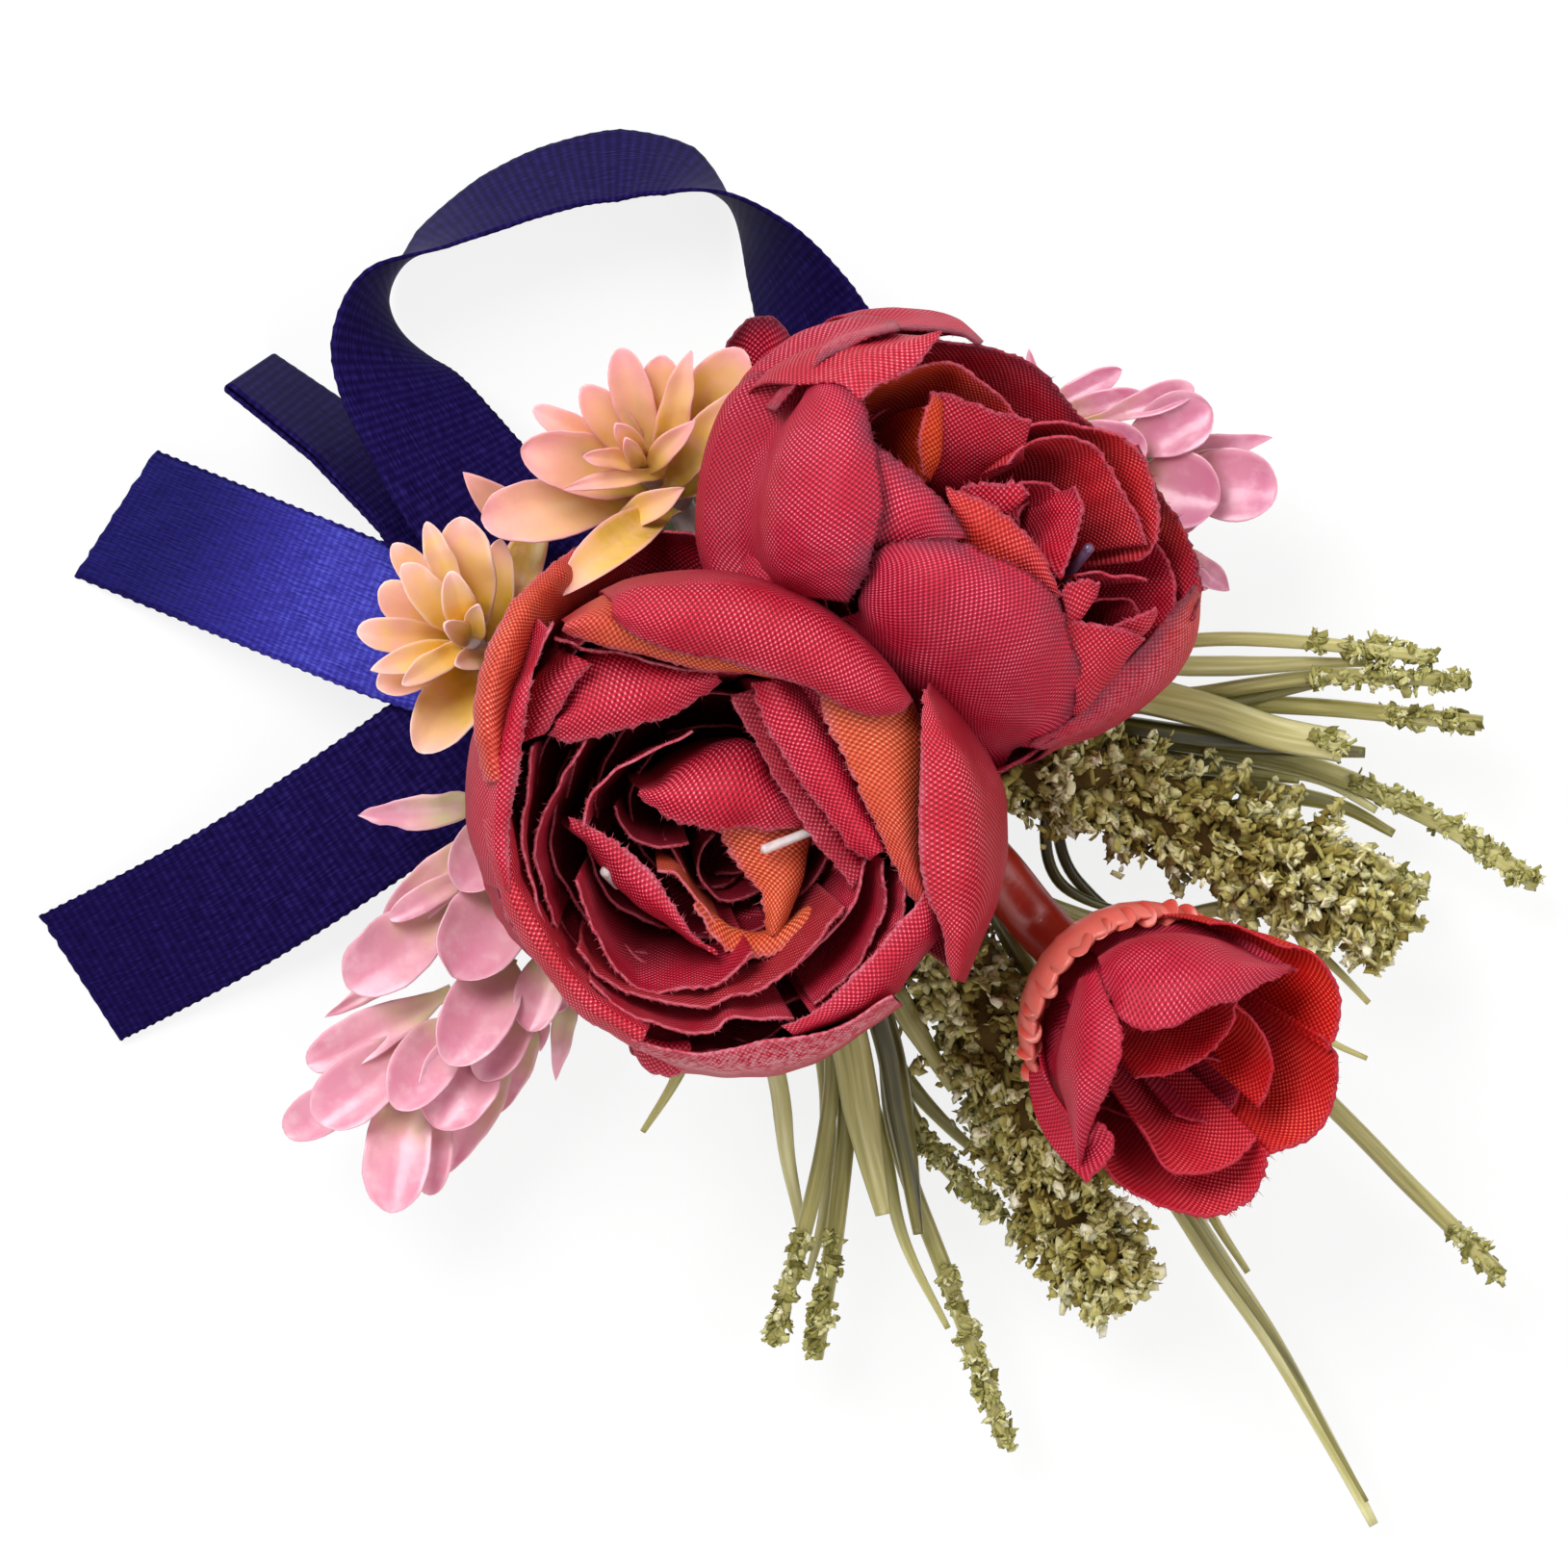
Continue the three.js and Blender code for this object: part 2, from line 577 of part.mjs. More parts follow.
// The rolled heart fills the innermost layer and keeps clear of it
function heartOf(layer, base) {
  const GAP = layer.spiral + PETAL_WALL + CLEAR;
  const profile = [[0, base]];
  for (const share of [0, 0.25, 0.5, 0.75, 1]) {
    const height = lerp(base, layer.lift + layer.depth, share);
    profile.push([bowl(layer, bowlShare(layer, height))[0] - GAP, height]);
  }
  const [topRadius, top] = profile[profile.length - 1];
  profile.push([topRadius * 0.7, top + topRadius * 0.3], [0, top + topRadius * 0.2]);
  return turned(profile, 10);
}

// Outer shape of a whole flower with clearance, which neighbours are cut back to
function envelopeOf(layer, top) {
  const grow = layer.spiral + PETAL_WALL / 2 + CLEAR;
  const profile = [[0, layer.lift - grow]];
  for (const share of [0, 0.1, 0.25, 0.45, 0.65, 0.85, 1]) {
    const [radius, height] = bowl(layer, share);
    profile.push([radius + grow, height - grow + layer.wall]);
  }
  const widest = layer.radius + grow;
  profile.push([widest, top + grow], [0, top + grow]);
  return turned(profile, 24);
}

function calyxProfile(grow) {
  return [
    [CALYX_FOOT_RADIUS + grow, -CALYX_SINK - grow],
    [CALYX_RADIUS + grow, 0],
    [CALYX_RADIUS + grow, CALYX_TOP + grow],
  ];
}

// A rose: hollow calyx, peg, petal layers and heart. Returns what the hub and the
// neighbours must be cut back to.
function rose(flower, neighbours) {
  const matrix = standOf(flower);
  const put = (suffix, geometry, color, roughness) => {
    const placed = geometry.clone().applyMatrix4(matrix);
    const cut = neighbours.length ? cutBy(placed, neighbours) : placed;
    place(`${flower.name}_${suffix}`, neighbours.length ? thinned(cut) : cut, color, roughness);
  };
  const layers = layersOf(flower, CALYX_TOP + CLEAR);
  const last = layers[layers.length - 1];
  const heartBase = last.lift + 2 * LAYER_STEP;
  const cup = calyxProfile(0);
  const calyx = turned([
    [PEG_HOLE, -CALYX_SINK], ...cup, [PEG_HOLE, CALYX_TOP], [PEG_HOLE, -CALYX_SINK],
  ], 14);
  put('calyx', calyx, '#6f7a3a', 0.6);
  const peg = turned([
    [0, -CALYX_SINK], [PEG_RADIUS, -CALYX_SINK], [PEG_RADIUS, heartBase - CLEAR], [0, heartBase - CLEAR],
  ], 10);
  put('peg', peg, '#efe9e2', 0.4);
  layers.forEach((layer, k) => {
    const color = k > layers.length / 2 ? flower.innerColor : flower.color;
    put(`petals_${k + 1}`, petalLayer(layer), color);
  });
  put('heart', heartOf(last, heartBase), flower.innerColor);
  const top = last.lift + last.depth + last.radius;
  const socket = turned([[0, -CALYX_SINK - CLEAR], ...calyxProfile(CLEAR), [0, CALYX_TOP + CLEAR]], 10);
  return {
    socket: socket.applyMatrix4(matrix),
    envelope: envelopeOf(layers[0], top).applyMatrix4(matrix),
  };
}

// Where the hub is, from the two roses that it carries
const SEAT_A = planPoint(ROSE_A.seatShares, HUB_Z);
const SEAT_B = planPoint(ROSE_B.seatShares, HUB_Z);
const HUB_CENTRE = SEAT_A.clone().add(SEAT_B).multiplyScalar(0.5);
const HUB_HALF_LENGTH = SEAT_A.distanceTo(SEAT_B) / 2 + HUB_RIM;
const HUB_HEADING = Math.atan2(SEAT_B.y - SEAT_A.y, SEAT_B.x - SEAT_A.x);
const PIN_Y = HUB_CENTRE.y + PIN_RAISE;

// A start moved back from the next point, so that what is cut for a stem clears its end too
function behind(start, next, reach) {
  return start.clone().add(start.clone().sub(next).setLength(reach));
}

// The point where a stem towards a place ends, inside the hub
function rootTowards(target, z) {
  const heading = Math.atan2(target.y - HUB_CENTRE.y, target.x - HUB_CENTRE.x);
  const turn = heading - HUB_HEADING;
  const edge = 1 / Math.hypot(Math.cos(turn) / HUB_HALF_LENGTH, Math.sin(turn) / HUB_HALF_WIDTH);
  const reach = edge - ROOT_DEPTH;
  return new THREE.Vector3(
    HUB_CENTRE.x + reach * Math.cos(heading),
    HUB_CENTRE.y + reach * Math.sin(heading),
    z,
  );
}

// Brooch pin. Side plates are drawn upright and extruded along Y or X.
function alongY(shape, wall) {
  const basis = new THREE.Matrix4().makeBasis(
    new THREE.Vector3(1, 0, 0),
    new THREE.Vector3(0, 0, 1),
    new THREE.Vector3(0, -1, 0),
  );
  const plate = new THREE.ExtrudeGeometry(shape, { depth: wall, bevelEnabled: false, curveSegments: 6 });
  return closed(plate.applyMatrix4(basis));
}

function alongX(shape, wall) {
  const basis = new THREE.Matrix4().makeBasis(
    new THREE.Vector3(0, 1, 0),
    new THREE.Vector3(0, 0, 1),
    new THREE.Vector3(1, 0, 0),
  );
  const plate = new THREE.ExtrudeGeometry(shape, { depth: wall, bevelEnabled: false, curveSegments: 6 });
  return closed(plate.applyMatrix4(basis));
}

function box(width, depth, height, x, y, z) {
  return closed(new THREE.BoxGeometry(width, depth, height).translate(x, y, z));
}

function disc(radius, wall, segments) {
  return closed(new THREE.CylinderGeometry(radius, radius, wall, segments));
}

// A C-shaped section round the pin's axis, open towards -Z with parallel slot sides
function slottedRing(inner, outer, slotHalf) {
  const outerGap = Math.asin(slotHalf / outer);
  const innerGap = Math.asin(Math.min(slotHalf / inner, 1));
  const down = rad(-90);
  const shape = new THREE.Shape();
  shape.absarc(0, 0, outer, down + outerGap, down + rad(360) - outerGap, false);
  shape.absarc(0, 0, inner, down + rad(360) - innerGap, down + innerGap, true);
  shape.closePath();
  return shape;
}

const HINGE_X = HUB_CENTRE.x - BAR_LENGTH / 2 + HINGE_INSET;
const CATCH_END_X = HUB_CENTRE.x + BAR_LENGTH / 2 - CATCH_INSET;
const CATCH_LENGTH = ROTOR_LENGTH + 2 * CLEAR + 2 * POST_WALL;
const CATCH_X = CATCH_END_X - CATCH_LENGTH;

function pinBar() {
  const half = BAR_LENGTH / 2 - BAR_WIDTH / 2;
  const outline = new THREE.Shape();
  outline.absarc(half, 0, BAR_WIDTH / 2, rad(-90), rad(90), false);
  outline.absarc(-half, 0, BAR_WIDTH / 2, rad(90), rad(270), false);
  for (const side of [-1, 1]) {
    const hole = new THREE.Path();
    hole.absarc(side * GLUE_HOLE_REACH, 0, GLUE_HOLE_RADIUS, 0, rad(360), true);
    outline.holes.push(hole);
  }
  const strip = new THREE.ExtrudeGeometry(outline, { depth: BAR_WALL, bevelEnabled: false, curveSegments: 8 })
    .translate(HUB_CENTRE.x, PIN_Y, BAR_Z);
  const parts = [strip];
  const drop = BAR_Z + BAR_WALL / 2 - ARM_Z;
  const cheek = new THREE.Shape();
  cheek.moveTo(-CHEEK_RADIUS, 0);
  cheek.absarc(0, 0, CHEEK_RADIUS, rad(180), rad(360), false);
  cheek.lineTo(CHEEK_RADIUS, drop);
  cheek.lineTo(-CHEEK_RADIUS, drop);
  const bore = new THREE.Path();
  bore.absarc(0, 0, RIVET_RADIUS + CLEAR, 0, rad(360), true);
  cheek.holes.push(bore);
  const cheekInner = EYE_WALL / 2 + CLEAR;
  for (const front of [-cheekInner, cheekInner + CHEEK_WALL]) {
    parts.push(alongY(cheek, CHEEK_WALL).translate(HINGE_X, PIN_Y + front, ARM_Z));
  }
  parts.push(alongX(slottedRing(SLEEVE_INNER, SLEEVE_OUTER, SLEEVE_INNER), CATCH_LENGTH)
    .translate(CATCH_X, PIN_Y, ARM_Z));
  const post = new THREE.Shape();
  post.moveTo(SLEEVE_OUTER, 0);
  post.lineTo(SLEEVE_OUTER, drop);
  post.lineTo(-SLEEVE_OUTER, drop);
  post.lineTo(-SLEEVE_OUTER, 0);
  post.lineTo(-SLEEVE_INNER, 0);
  post.absarc(0, 0, SLEEVE_INNER, rad(180), 0, true);
  for (const start of [0, CATCH_LENGTH - POST_WALL]) {
    parts.push(alongX(post, POST_WALL).translate(CATCH_X + start, PIN_Y, ARM_Z));
  }
  return joined(parts);
}

function pinArm() {
  const eye = disc(EYE_RADIUS, EYE_WALL, 16).translate(HINGE_X, PIN_Y, ARM_Z);
  const bore = disc(RIVET_RADIUS + CLEAR, EYE_WALL + OVERRUN, 12).translate(HINGE_X, PIN_Y, ARM_Z);
  const start = new THREE.Vector3(HINGE_X + (EYE_RADIUS + RIVET_RADIUS + CLEAR) / 2, PIN_Y, ARM_Z);
  const tip = new THREE.Vector3(CATCH_END_X, PIN_Y, ARM_Z);
  const length = tip.x - start.x;
  const shank = turned([
    [0, 0], [ARM_RADIUS, 0], [ARM_RADIUS, length - ARM_POINT], [ARM_RADIUS * 0.15, length], [0, length],
  ], 10).rotateY(rad(90)).translate(start.x, start.y, start.z);
  return cutBy(joined([eye, shank]), [bore]);
}

function rivet() {
  const shankHalf = EYE_WALL / 2 + CLEAR + CHEEK_WALL + CLEAR;
  const parts = [disc(RIVET_RADIUS, 2 * shankHalf + RIVET_HEAD_WALL, 12)];
  for (const side of [-1, 1]) {
    parts.push(disc(RIVET_HEAD_RADIUS, RIVET_HEAD_WALL, 14)
      .translate(0, side * (shankHalf + RIVET_HEAD_WALL / 2), 0));
  }
  return joined(parts).translate(HINGE_X, PIN_Y, ARM_Z);
}

function catchRotor() {
  const start = CATCH_X + POST_WALL + CLEAR;
  const body = alongX(slottedRing(ROTOR_INNER, ROTOR_RADIUS, SLEEVE_INNER), ROTOR_LENGTH);
  const tab = box(
    ROTOR_LENGTH, ROTOR_TAB + ROTOR_WALL, ROTOR_TAB_WALL,
    ROTOR_LENGTH / 2, ROTOR_RADIUS + (ROTOR_TAB - ROTOR_WALL) / 2, 0,
  );
  return joined([body, tab]).translate(start, PIN_Y, ARM_Z);
}

function felt() {
  const outline = new THREE.Shape();
  outline.absellipse(0, 0, FELT_HALF_LENGTH, FELT_HALF_WIDTH, 0, rad(360), false, 0);
  const disk = new THREE.ExtrudeGeometry(outline, { depth: FELT_WALL, bevelEnabled: false, curveSegments: 20 })
    .translate(HUB_CENTRE.x, HUB_CENTRE.y, FELT_Z);
  const pocket = box(
    BAR_LENGTH + 2 * CLEAR, BAR_WIDTH + 2 * CLEAR, FELT_POCKET + OVERRUN,
    HUB_CENTRE.x, PIN_Y, FELT_Z + (FELT_POCKET - OVERRUN) / 2,
  );
  return cutBy(disk, [pocket]);
}

// The hub is a low dome of glue and tape round the stems, cut by everything set in it
function hub(sockets) {
  const profile = [[0, 0]];
  const ROUND = 4;
  for (const share of [1, 0.95, 0.8, 0.5]) {
    profile.push([share, (1 - share ** ROUND) ** (1 / ROUND)]);
  }
  profile.push([0, 1]);
  const dome = turned(profile, 20)
    .scale(HUB_HALF_LENGTH, HUB_HALF_WIDTH, HUB_RISE)
    .rotateZ(HUB_HEADING)
    .translate(HUB_CENTRE.x, HUB_CENTRE.y, HUB_Z);
  return cutBy(dome, sockets);
}

// A fleshy leaf of a tier or whorl, from its ring to the place where its tip is seen
function leaf(tier, [px, py, levelShare, widthShare], grow) {
  const SHOULDER = 0.6;
  const ROOT_SHARE = 0.34;
  const TIP_SHARE = 0.4;
  const CUP_SHARE = 0.25;
  const BOW_SHARE = 0.08;
  const POINT = 2.6;
  const tip = tier.tipAt([px, py], levelShare);
  const way = tip.clone().sub(tier.centre);
  const out = way.clone().addScaledVector(tier.axis, -way.dot(tier.axis)).normalize();
  const root = tier.centre.clone().addScaledVector(out, tier.hole + tier.wall / 2);
  const run = tip.clone().sub(root);
  const length = run.length();
  const side = new THREE.Vector3().crossVectors(UP, run).normalize();
  const top = new THREE.Vector3().crossVectors(run, side).normalize();
  const halfWidth = (v) => grow + tier.width * widthShare / 2 * (v < SHOULDER
    ? lerp(ROOT_SHARE, 1, v / SHOULDER)
    : Math.max(TIP_SHARE, 1 - ((v - SHOULDER) / (1 - SHOULDER)) ** POINT));
  const surface = (u, v) => {
    const lifted = CUP_SHARE * u * u * halfWidth(v) + BOW_SHARE * length * 4 * v * (1 - v);
    return root.clone().addScaledVector(run, v * (1 + grow / length))
      .addScaledVector(side, u * halfWidth(v))
      .addScaledVector(top, lifted);
  };
  const thickness = (u, v) => tier.wall * (1 - u * u) * (1 - 0.7 * v ** 3) + 2 * grow;
  return sheet(surface, thickness, 2, 3);
}

// A tier or whorl: leaves joined at a ring round the peg or stem
function leafTier(tier, grow) {
  const band = ring(tier.hole, tier.hole + tier.wall + grow, -grow, tier.wall + grow, 7)
    .applyMatrix4(stand(tier.centre.clone().addScaledVector(tier.axis, -tier.wall / 2), tier.axis));
  return joined([band, ...tier.rows.map((row) => leaf(tier, row, grow))]);
}

// Places the tiers from the last, each cut back where the later ones and the roses are
function placeTiers(plant, tiers, suffix, neighbours) {
  const taken = [...neighbours];
  for (let k = tiers.length - 1; k >= 0; k -= 1) {
    const cut = cutBy(leafTier(tiers[k], 0), taken);
    place(`${plant.name}_${suffix}_${k + 1}`, thinned(cut), plant.color, 0.5);
    taken.push(leafTier(tiers[k], CLEAR));
  }
}

// A succulent rosette: tiers of leaves threaded on a bent peg
function succulent(plant, neighbours) {
  const matrix = standOf(plant);
  const foot = new THREE.Vector3().applyMatrix4(matrix);
  const root = rootTowards(foot, HUB_TOP - PEG_RADIUS);
  const pegTop = (plant.leafShares.length - 1) * plant.step + plant.wall;
  const pegFoot = -PEG_RADIUS - CLEAR - plant.wall / 2;
  const shank = turned([
    [0, pegFoot], [PEG_RADIUS, pegFoot], [PEG_RADIUS, pegTop], [0, pegTop],
  ], 10).applyMatrix4(matrix);
  const knee = new THREE.Vector3(0, 0, pegFoot).applyMatrix4(matrix);
  const bend = root.clone().lerp(knee, 0.6).setZ(root.z);
  const stemPath = (grow) => new THREE.QuadraticBezierCurve3(behind(root, bend, grow), bend, knee);
  const stem = (grow) => rod(stemPath(grow), () => PEG_RADIUS + grow, 6, 4);
  place(`${plant.name}_peg`, joined([shank, stem(0)]), '#d8d2b8', 0.4);
  const axis = new THREE.Vector3(0, 0, 1).transformDirection(matrix);
  const tipAt = ([px, py], levelShare) => foot.clone().add(new THREE.Vector3(
    (px - plant.seatPixel[0]) * plant.pixel,
    (plant.seatPixel[1] - py) * plant.pixel,
    plant.rise * (levelShare - plant.seatLevelShare),
  ));
  const tiers = plant.leafShares.map((rows, k) => ({
    rows,
    axis,
    tipAt,
    centre: new THREE.Vector3(0, 0, k * plant.step).applyMatrix4(matrix),
    width: plant.width,
    wall: plant.wall,
    hole: PEG_HOLE,
  }));
  placeTiers(plant, tiers, 'tier', neighbours);
  return [stem(CLEAR)];
}

// A sprig: leaf whorls threaded along a bent stem
function sprig(plant, neighbours) {
  const tip = planPoint(plant.tipShares, HUB_Z + plant.tipRise);
  const middle = planPoint(plant.midShares, HUB_Z + plant.rootRise);
  const root = rootTowards(middle, middle.z);
  const pathFrom = (grow) => new THREE.QuadraticBezierCurve3(behind(root, middle, grow), middle, tip);
  const path = pathFrom(0);
  const stem = (grow) => rod(pathFrom(grow), () => SPRIG_STEM_RADIUS + grow, 6, 6);
  place(`${plant.name}_stem`, stem(0), '#8f9a58', 0.6);
  const tiers = plant.leafShares.map((rows, k) => {
    const share = lerp(plant.firstShare, plant.lastShare, k / (plant.leafShares.length - 1));
    return {
      rows,
      axis: path.getTangentAt(share),
      tipAt: ([px, py], levelShare) => seenAt([px, py], HUB_TOP * levelShare),
      centre: path.getPointAt(share),
      width: SPREAD * plant.widthShare,
      wall: plant.wall,
      hole: SPRIG_STEM_RADIUS + 1.4 * CLEAR,
    };
  });
  placeTiers(plant, tiers, 'whorl', neighbours);
  return [stem(CLEAR)];
}

// One blade of a grass pick, from the collar out
function blade([kind, ...places], collar) {
  const path = new THREE.CatmullRomCurve3([
    collar,
    ...places.map(([px, py, levelShare]) => seenAt([px, py], HUB_Z * levelShare)),
  ]);
  if (kind === 'blade') {
    const surface = (u, v) => {
      const tangent = path.getTangent(v);
      const across = new THREE.Vector3().crossVectors(UP, tangent).normalize();
      const width = GRASS_BLADE_WIDTH / 2 * lerp(1, 0.2, v ** 3) * lerp(0.4, 1, smooth(v, 0, 0.3));
      return path.getPoint(v).addScaledVector(across, u * width);
    };
    return sheet(surface, () => GRASS_BLADE_WALL, 1, 5);
  }
  if (kind === 'cut') {
    return rod(path, () => GRASS_CUT_RADIUS, 5, 3);
  }
  if (kind === 'stem') {
    return rod(path, (s) => GRASS_RADIUS * lerp(1.3, 0.8, s), 3, 4);
  }
  const crumbs = (s, k) => {
    const inside = smooth(s, 1 - CRUMB_SHARE, 1 - 0.85 * CRUMB_SHARE) * lerp(1, 0.5, smooth(s, 0.95, 1));
    const lump = 1 + 0.25 * Math.sin(40 * s + 2.4 * k);
    return lerp(GRASS_RADIUS, CRUMB_RADIUS * lump, inside);
  };
  return rod(path, crumbs, 4, 7);
}

function pick(plant) {
  const collar = planPoint(plant.collarShares, HUB_Z + plant.collarRise);
  const root = rootTowards(collar, collar.z);
  const stem = (grow) => rod(straight(behind(root, collar, grow), collar), () => PICK_STEM_RADIUS + grow, 6, 1);
  const blades = plant.bladeShares.map((row) => blade(row, collar));
  place(plant.name, thinned(joined([stem(0), ...blades])), GRASS_COLOR, 0.7);
  return [stem(CLEAR)];
}

function plume(plant) {
  const points = plant.placeShares.map((shares, k) => planPoint(shares, HUB_Z + plant.rises[k]));
  const root = rootTowards(points[0], points[0].z);
  const pathFrom = (grow) => new THREE.CatmullRomCurve3([behind(root, points[0], grow), ...points]);
  const girth = (s, k, grow) => {
    const swell = smooth(s, 0.26, 0.6) * lerp(1, 0.35, smooth(s, 0.7, 1));
    const lump = 1 + PLUME_LUMP_SHARE * Math.sin(rad(360) * PLUME_LUMPS * s + 2.1 * k);
    return lerp(PICK_STEM_RADIUS, plant.girth * lump / (1 + PLUME_LUMP_SHARE), swell) + grow;
  };
  const body = (grow) => rod(pathFrom(grow), (s, k) => girth(s, k, grow), 8, 14);
  place(plant.name, body(0), plant.color, 0.95);
  return [body(CLEAR)];
}

// Ribbons: a strip along a row of points, grown all round by a clearance
function ribbonStrip(points, rolls, steps, grow) {
  const last = points.length - 1;
  const path = new THREE.CatmullRomCurve3([
    behind(points[0], points[1], grow),
    ...points.slice(1, last),
    behind(points[last], points[last - 1], grow),
  ]);
  const rollAt = (v) => {
    const reach = v * (rolls.length - 1);
    const before = Math.min(Math.floor(reach), rolls.length - 2);
    return rad(lerp(rolls[before], rolls[before + 1], reach - before));
  };
  const surface = (u, v) => {
    const tangent = path.getTangent(v);
    const side = new THREE.Vector3().crossVectors(UP, tangent).normalize();
    const across = side.multiplyScalar(Math.cos(rollAt(v))).addScaledVector(UP, Math.sin(rollAt(v)));
    return path.getPoint(v).addScaledVector(across, u * (RIBBON_WIDTH / 2 + grow));
  };
  return sheet(surface, () => RIBBON_WALL + 2 * grow, 1, steps);
}

function ribbon(strip) {
  const level = HUB_Z + (strip.level + 0.5) * RIBBON_STEP;
  const points = strip.rowShares.map(([x, y, z]) => planPoint([x, y], level * z));
  const rolls = strip.rowShares.map((row) => row[3]);
  place(strip.name, ribbonStrip(points, rolls, strip.steps, 0), strip.color, 0.35);
  return [ribbonStrip(points, rolls, strip.steps, CLEAR)];
}

function foldedRibbon() {
  const level = HUB_Z + (FOLD.level + 1) * RIBBON_STEP;
  const line = FOLD.rowShares.map(([x, y, z]) => planPoint([x, y], level * z));
  const rolls = FOLD.rowShares.map((row) => row[3]);
  const last = line.length - 1;
  const headingAt = (k) => line[Math.min(k + 1, last)].clone().sub(line[Math.max(k - 1, 0)]).normalize();
  const strand = (side) => line.map((point, k) => {
    const across = new THREE.Vector3().crossVectors(UP, headingAt(k)).normalize();
    return point.clone()
      .addScaledVector(across, -side * Math.sin(rad(rolls[k])) * RIBBON_STEP / 2)
      .addScaledVector(UP, side * Math.cos(rad(rolls[k])) * RIBBON_STEP / 2);
  });
  const bend = line[last].clone().addScaledVector(headingAt(last), RIBBON_STEP / 2);
  const points = [...strand(-1), bend, ...strand(1).reverse()];
  const turns = [...rolls, HALF_TURN / 2, ...rolls.map((roll) => HALF_TURN - roll).reverse()];
  place(FOLD.name, ribbonStrip(points, turns, FOLD.steps, 0), FOLD.color, 0.4);
  return [ribbonStrip(points, turns, FOLD.steps, CLEAR)];
}

// A cup that follows the bud's outer petals, with scallops cut from its rim
function budCalyx(layer) {
  const gap = layer.spiral + PETAL_WALL + CLEAR;
  const inner = [0.08, 0.2, 0.34, 0.46].map((t) => bowl(layer, t));
  const outside = inner.map(([radius, height]) => [radius + gap + BUD.calyxWall, height - BUD.calyxWall]);
  const inside = inner.map(([radius, height]) => [radius + gap, height]).reverse();
  const floor = CLEAR;
  const cup = turned([
    [PEG_HOLE, floor], [outside[0][0], floor], ...outside.slice(1), ...inside,
    [inner[0][0] + gap / 2, floor + LAYER_RING_WALL], [PEG_HOLE, floor + LAYER_RING_WALL],
    [PEG_HOLE, floor],
  ], 15);
  const [rimRadius, rimHeight] = inner[inner.length - 1];
  const notches = [];
  for (let k = 0; k < BUD.calyxLobes; k += 1) {
    notches.push(disc(BUD.calyxNotch, 2 * BUD.radius, 6)
      .rotateZ(rad(90))
      .translate(rimRadius + BUD.radius, 0, rimHeight + BUD.calyxNotch / 2)
      .rotateZ(rad(360 * k / BUD.calyxLobes)));
  }
  return cutBy(cup, notches);
}

// The bud: tube stem, scalloped calyx, two petal layers and a heart
function rosebud(neighbours) {
  const matrix = standOf(BUD);
  const foot = new THREE.Vector3().applyMatrix4(matrix);
  const axis = new THREE.Vector3(0, 0, 1).transformDirection(matrix);
  const root = rootTowards(foot, HUB_TOP + CLEAR - BUD_STEM_RADIUS);
  const knee = foot.clone().addScaledVector(axis, -1.5 * BUD_STEM_RADIUS);
  const pathFrom = (grow) => new THREE.QuadraticBezierCurve3(behind(root, knee, grow), knee, foot);
  const stem = (grow) => rod(pathFrom(grow), () => BUD_STEM_RADIUS + grow, 9, 4);
  const layers = layersOf(BUD, LAYER_RING_WALL + 3 * CLEAR);
  const last = layers[layers.length - 1];
  const heartBase = last.lift + 2 * LAYER_STEP;
  const peg = turned([
    [0, -BUD_STEM_RADIUS / 2], [PEG_RADIUS, -BUD_STEM_RADIUS / 2],
    [PEG_RADIUS, heartBase - CLEAR], [0, heartBase - CLEAR],
  ], 10).applyMatrix4(matrix);
  place('bud_stem', joined([stem(0), peg]), '#c5301f', 0.4);
  const put = (suffix, geometry, color) => {
    place(`bud_${suffix}`, cutBy(geometry.applyMatrix4(matrix), neighbours), color);
  };
  put('calyx', budCalyx(layers[0]), '#d9503f');
  layers.forEach((layer, k) => put(`petals_${k + 1}`, petalLayer(layer), k ? BUD.innerColor : BUD.color));
  put('heart', heartOf(last, heartBase), BUD.innerColor);
  return [stem(CLEAR)];
}

place('pin_bar', pinBar(), '#c9ccd0', 0.3, 1);
place('pin_rivet', rivet(), '#d8dade', 0.3, 1);
place('pin_arm', pinArm(), '#dfe1e4', 0.25, 1);
place('catch_rotor', catchRotor(), '#cfd2d6', 0.3, 1);
place('felt_backing', felt(), '#3f4a2c', 0.95);

const roseA = rose(ROSE_A, []);
const roseB = rose(ROSE_B, [roseA.envelope]);
const roses = [roseA.envelope, roseB.envelope];
const sockets = [roseA.socket, roseB.socket];
sockets.push(...rosebud(roses));
SUCCULENTS.forEach((plant) => sockets.push(...succulent(plant, roses)));
SPRIGS.forEach((plant) => sockets.push(...sprig(plant, roses)));
PICKS.forEach((plant) => sockets.push(...pick(plant)));
PLUMES.forEach((plant) => sockets.push(...plume(plant)));
RIBBONS.forEach((strip) => sockets.push(...ribbon(strip)));
sockets.push(...foldedRibbon());
place('stem_hub', thinned(hub(sockets)), '#56632f', 0.8);

// Sets the corsage down with the middle of its box over the origin and its lowest point at 0
function settle(group) {
  const bounds = new THREE.Box3().setFromObject(group, true);
  const middle = bounds.getCenter(new THREE.Vector3());
  group.children.forEach((mesh) => mesh.geometry.translate(-middle.x, -middle.y, -bounds.min.z));
}

settle(corsage);

export default corsage;
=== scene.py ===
"""Pin-on corsage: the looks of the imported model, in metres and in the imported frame.

Shapes are worked out in millimetres as whole numpy grids and written in metres. Points read off the
photograph are (px, py) of its 1629 x 1629 frame, with a height in millimetres.
"""

import math

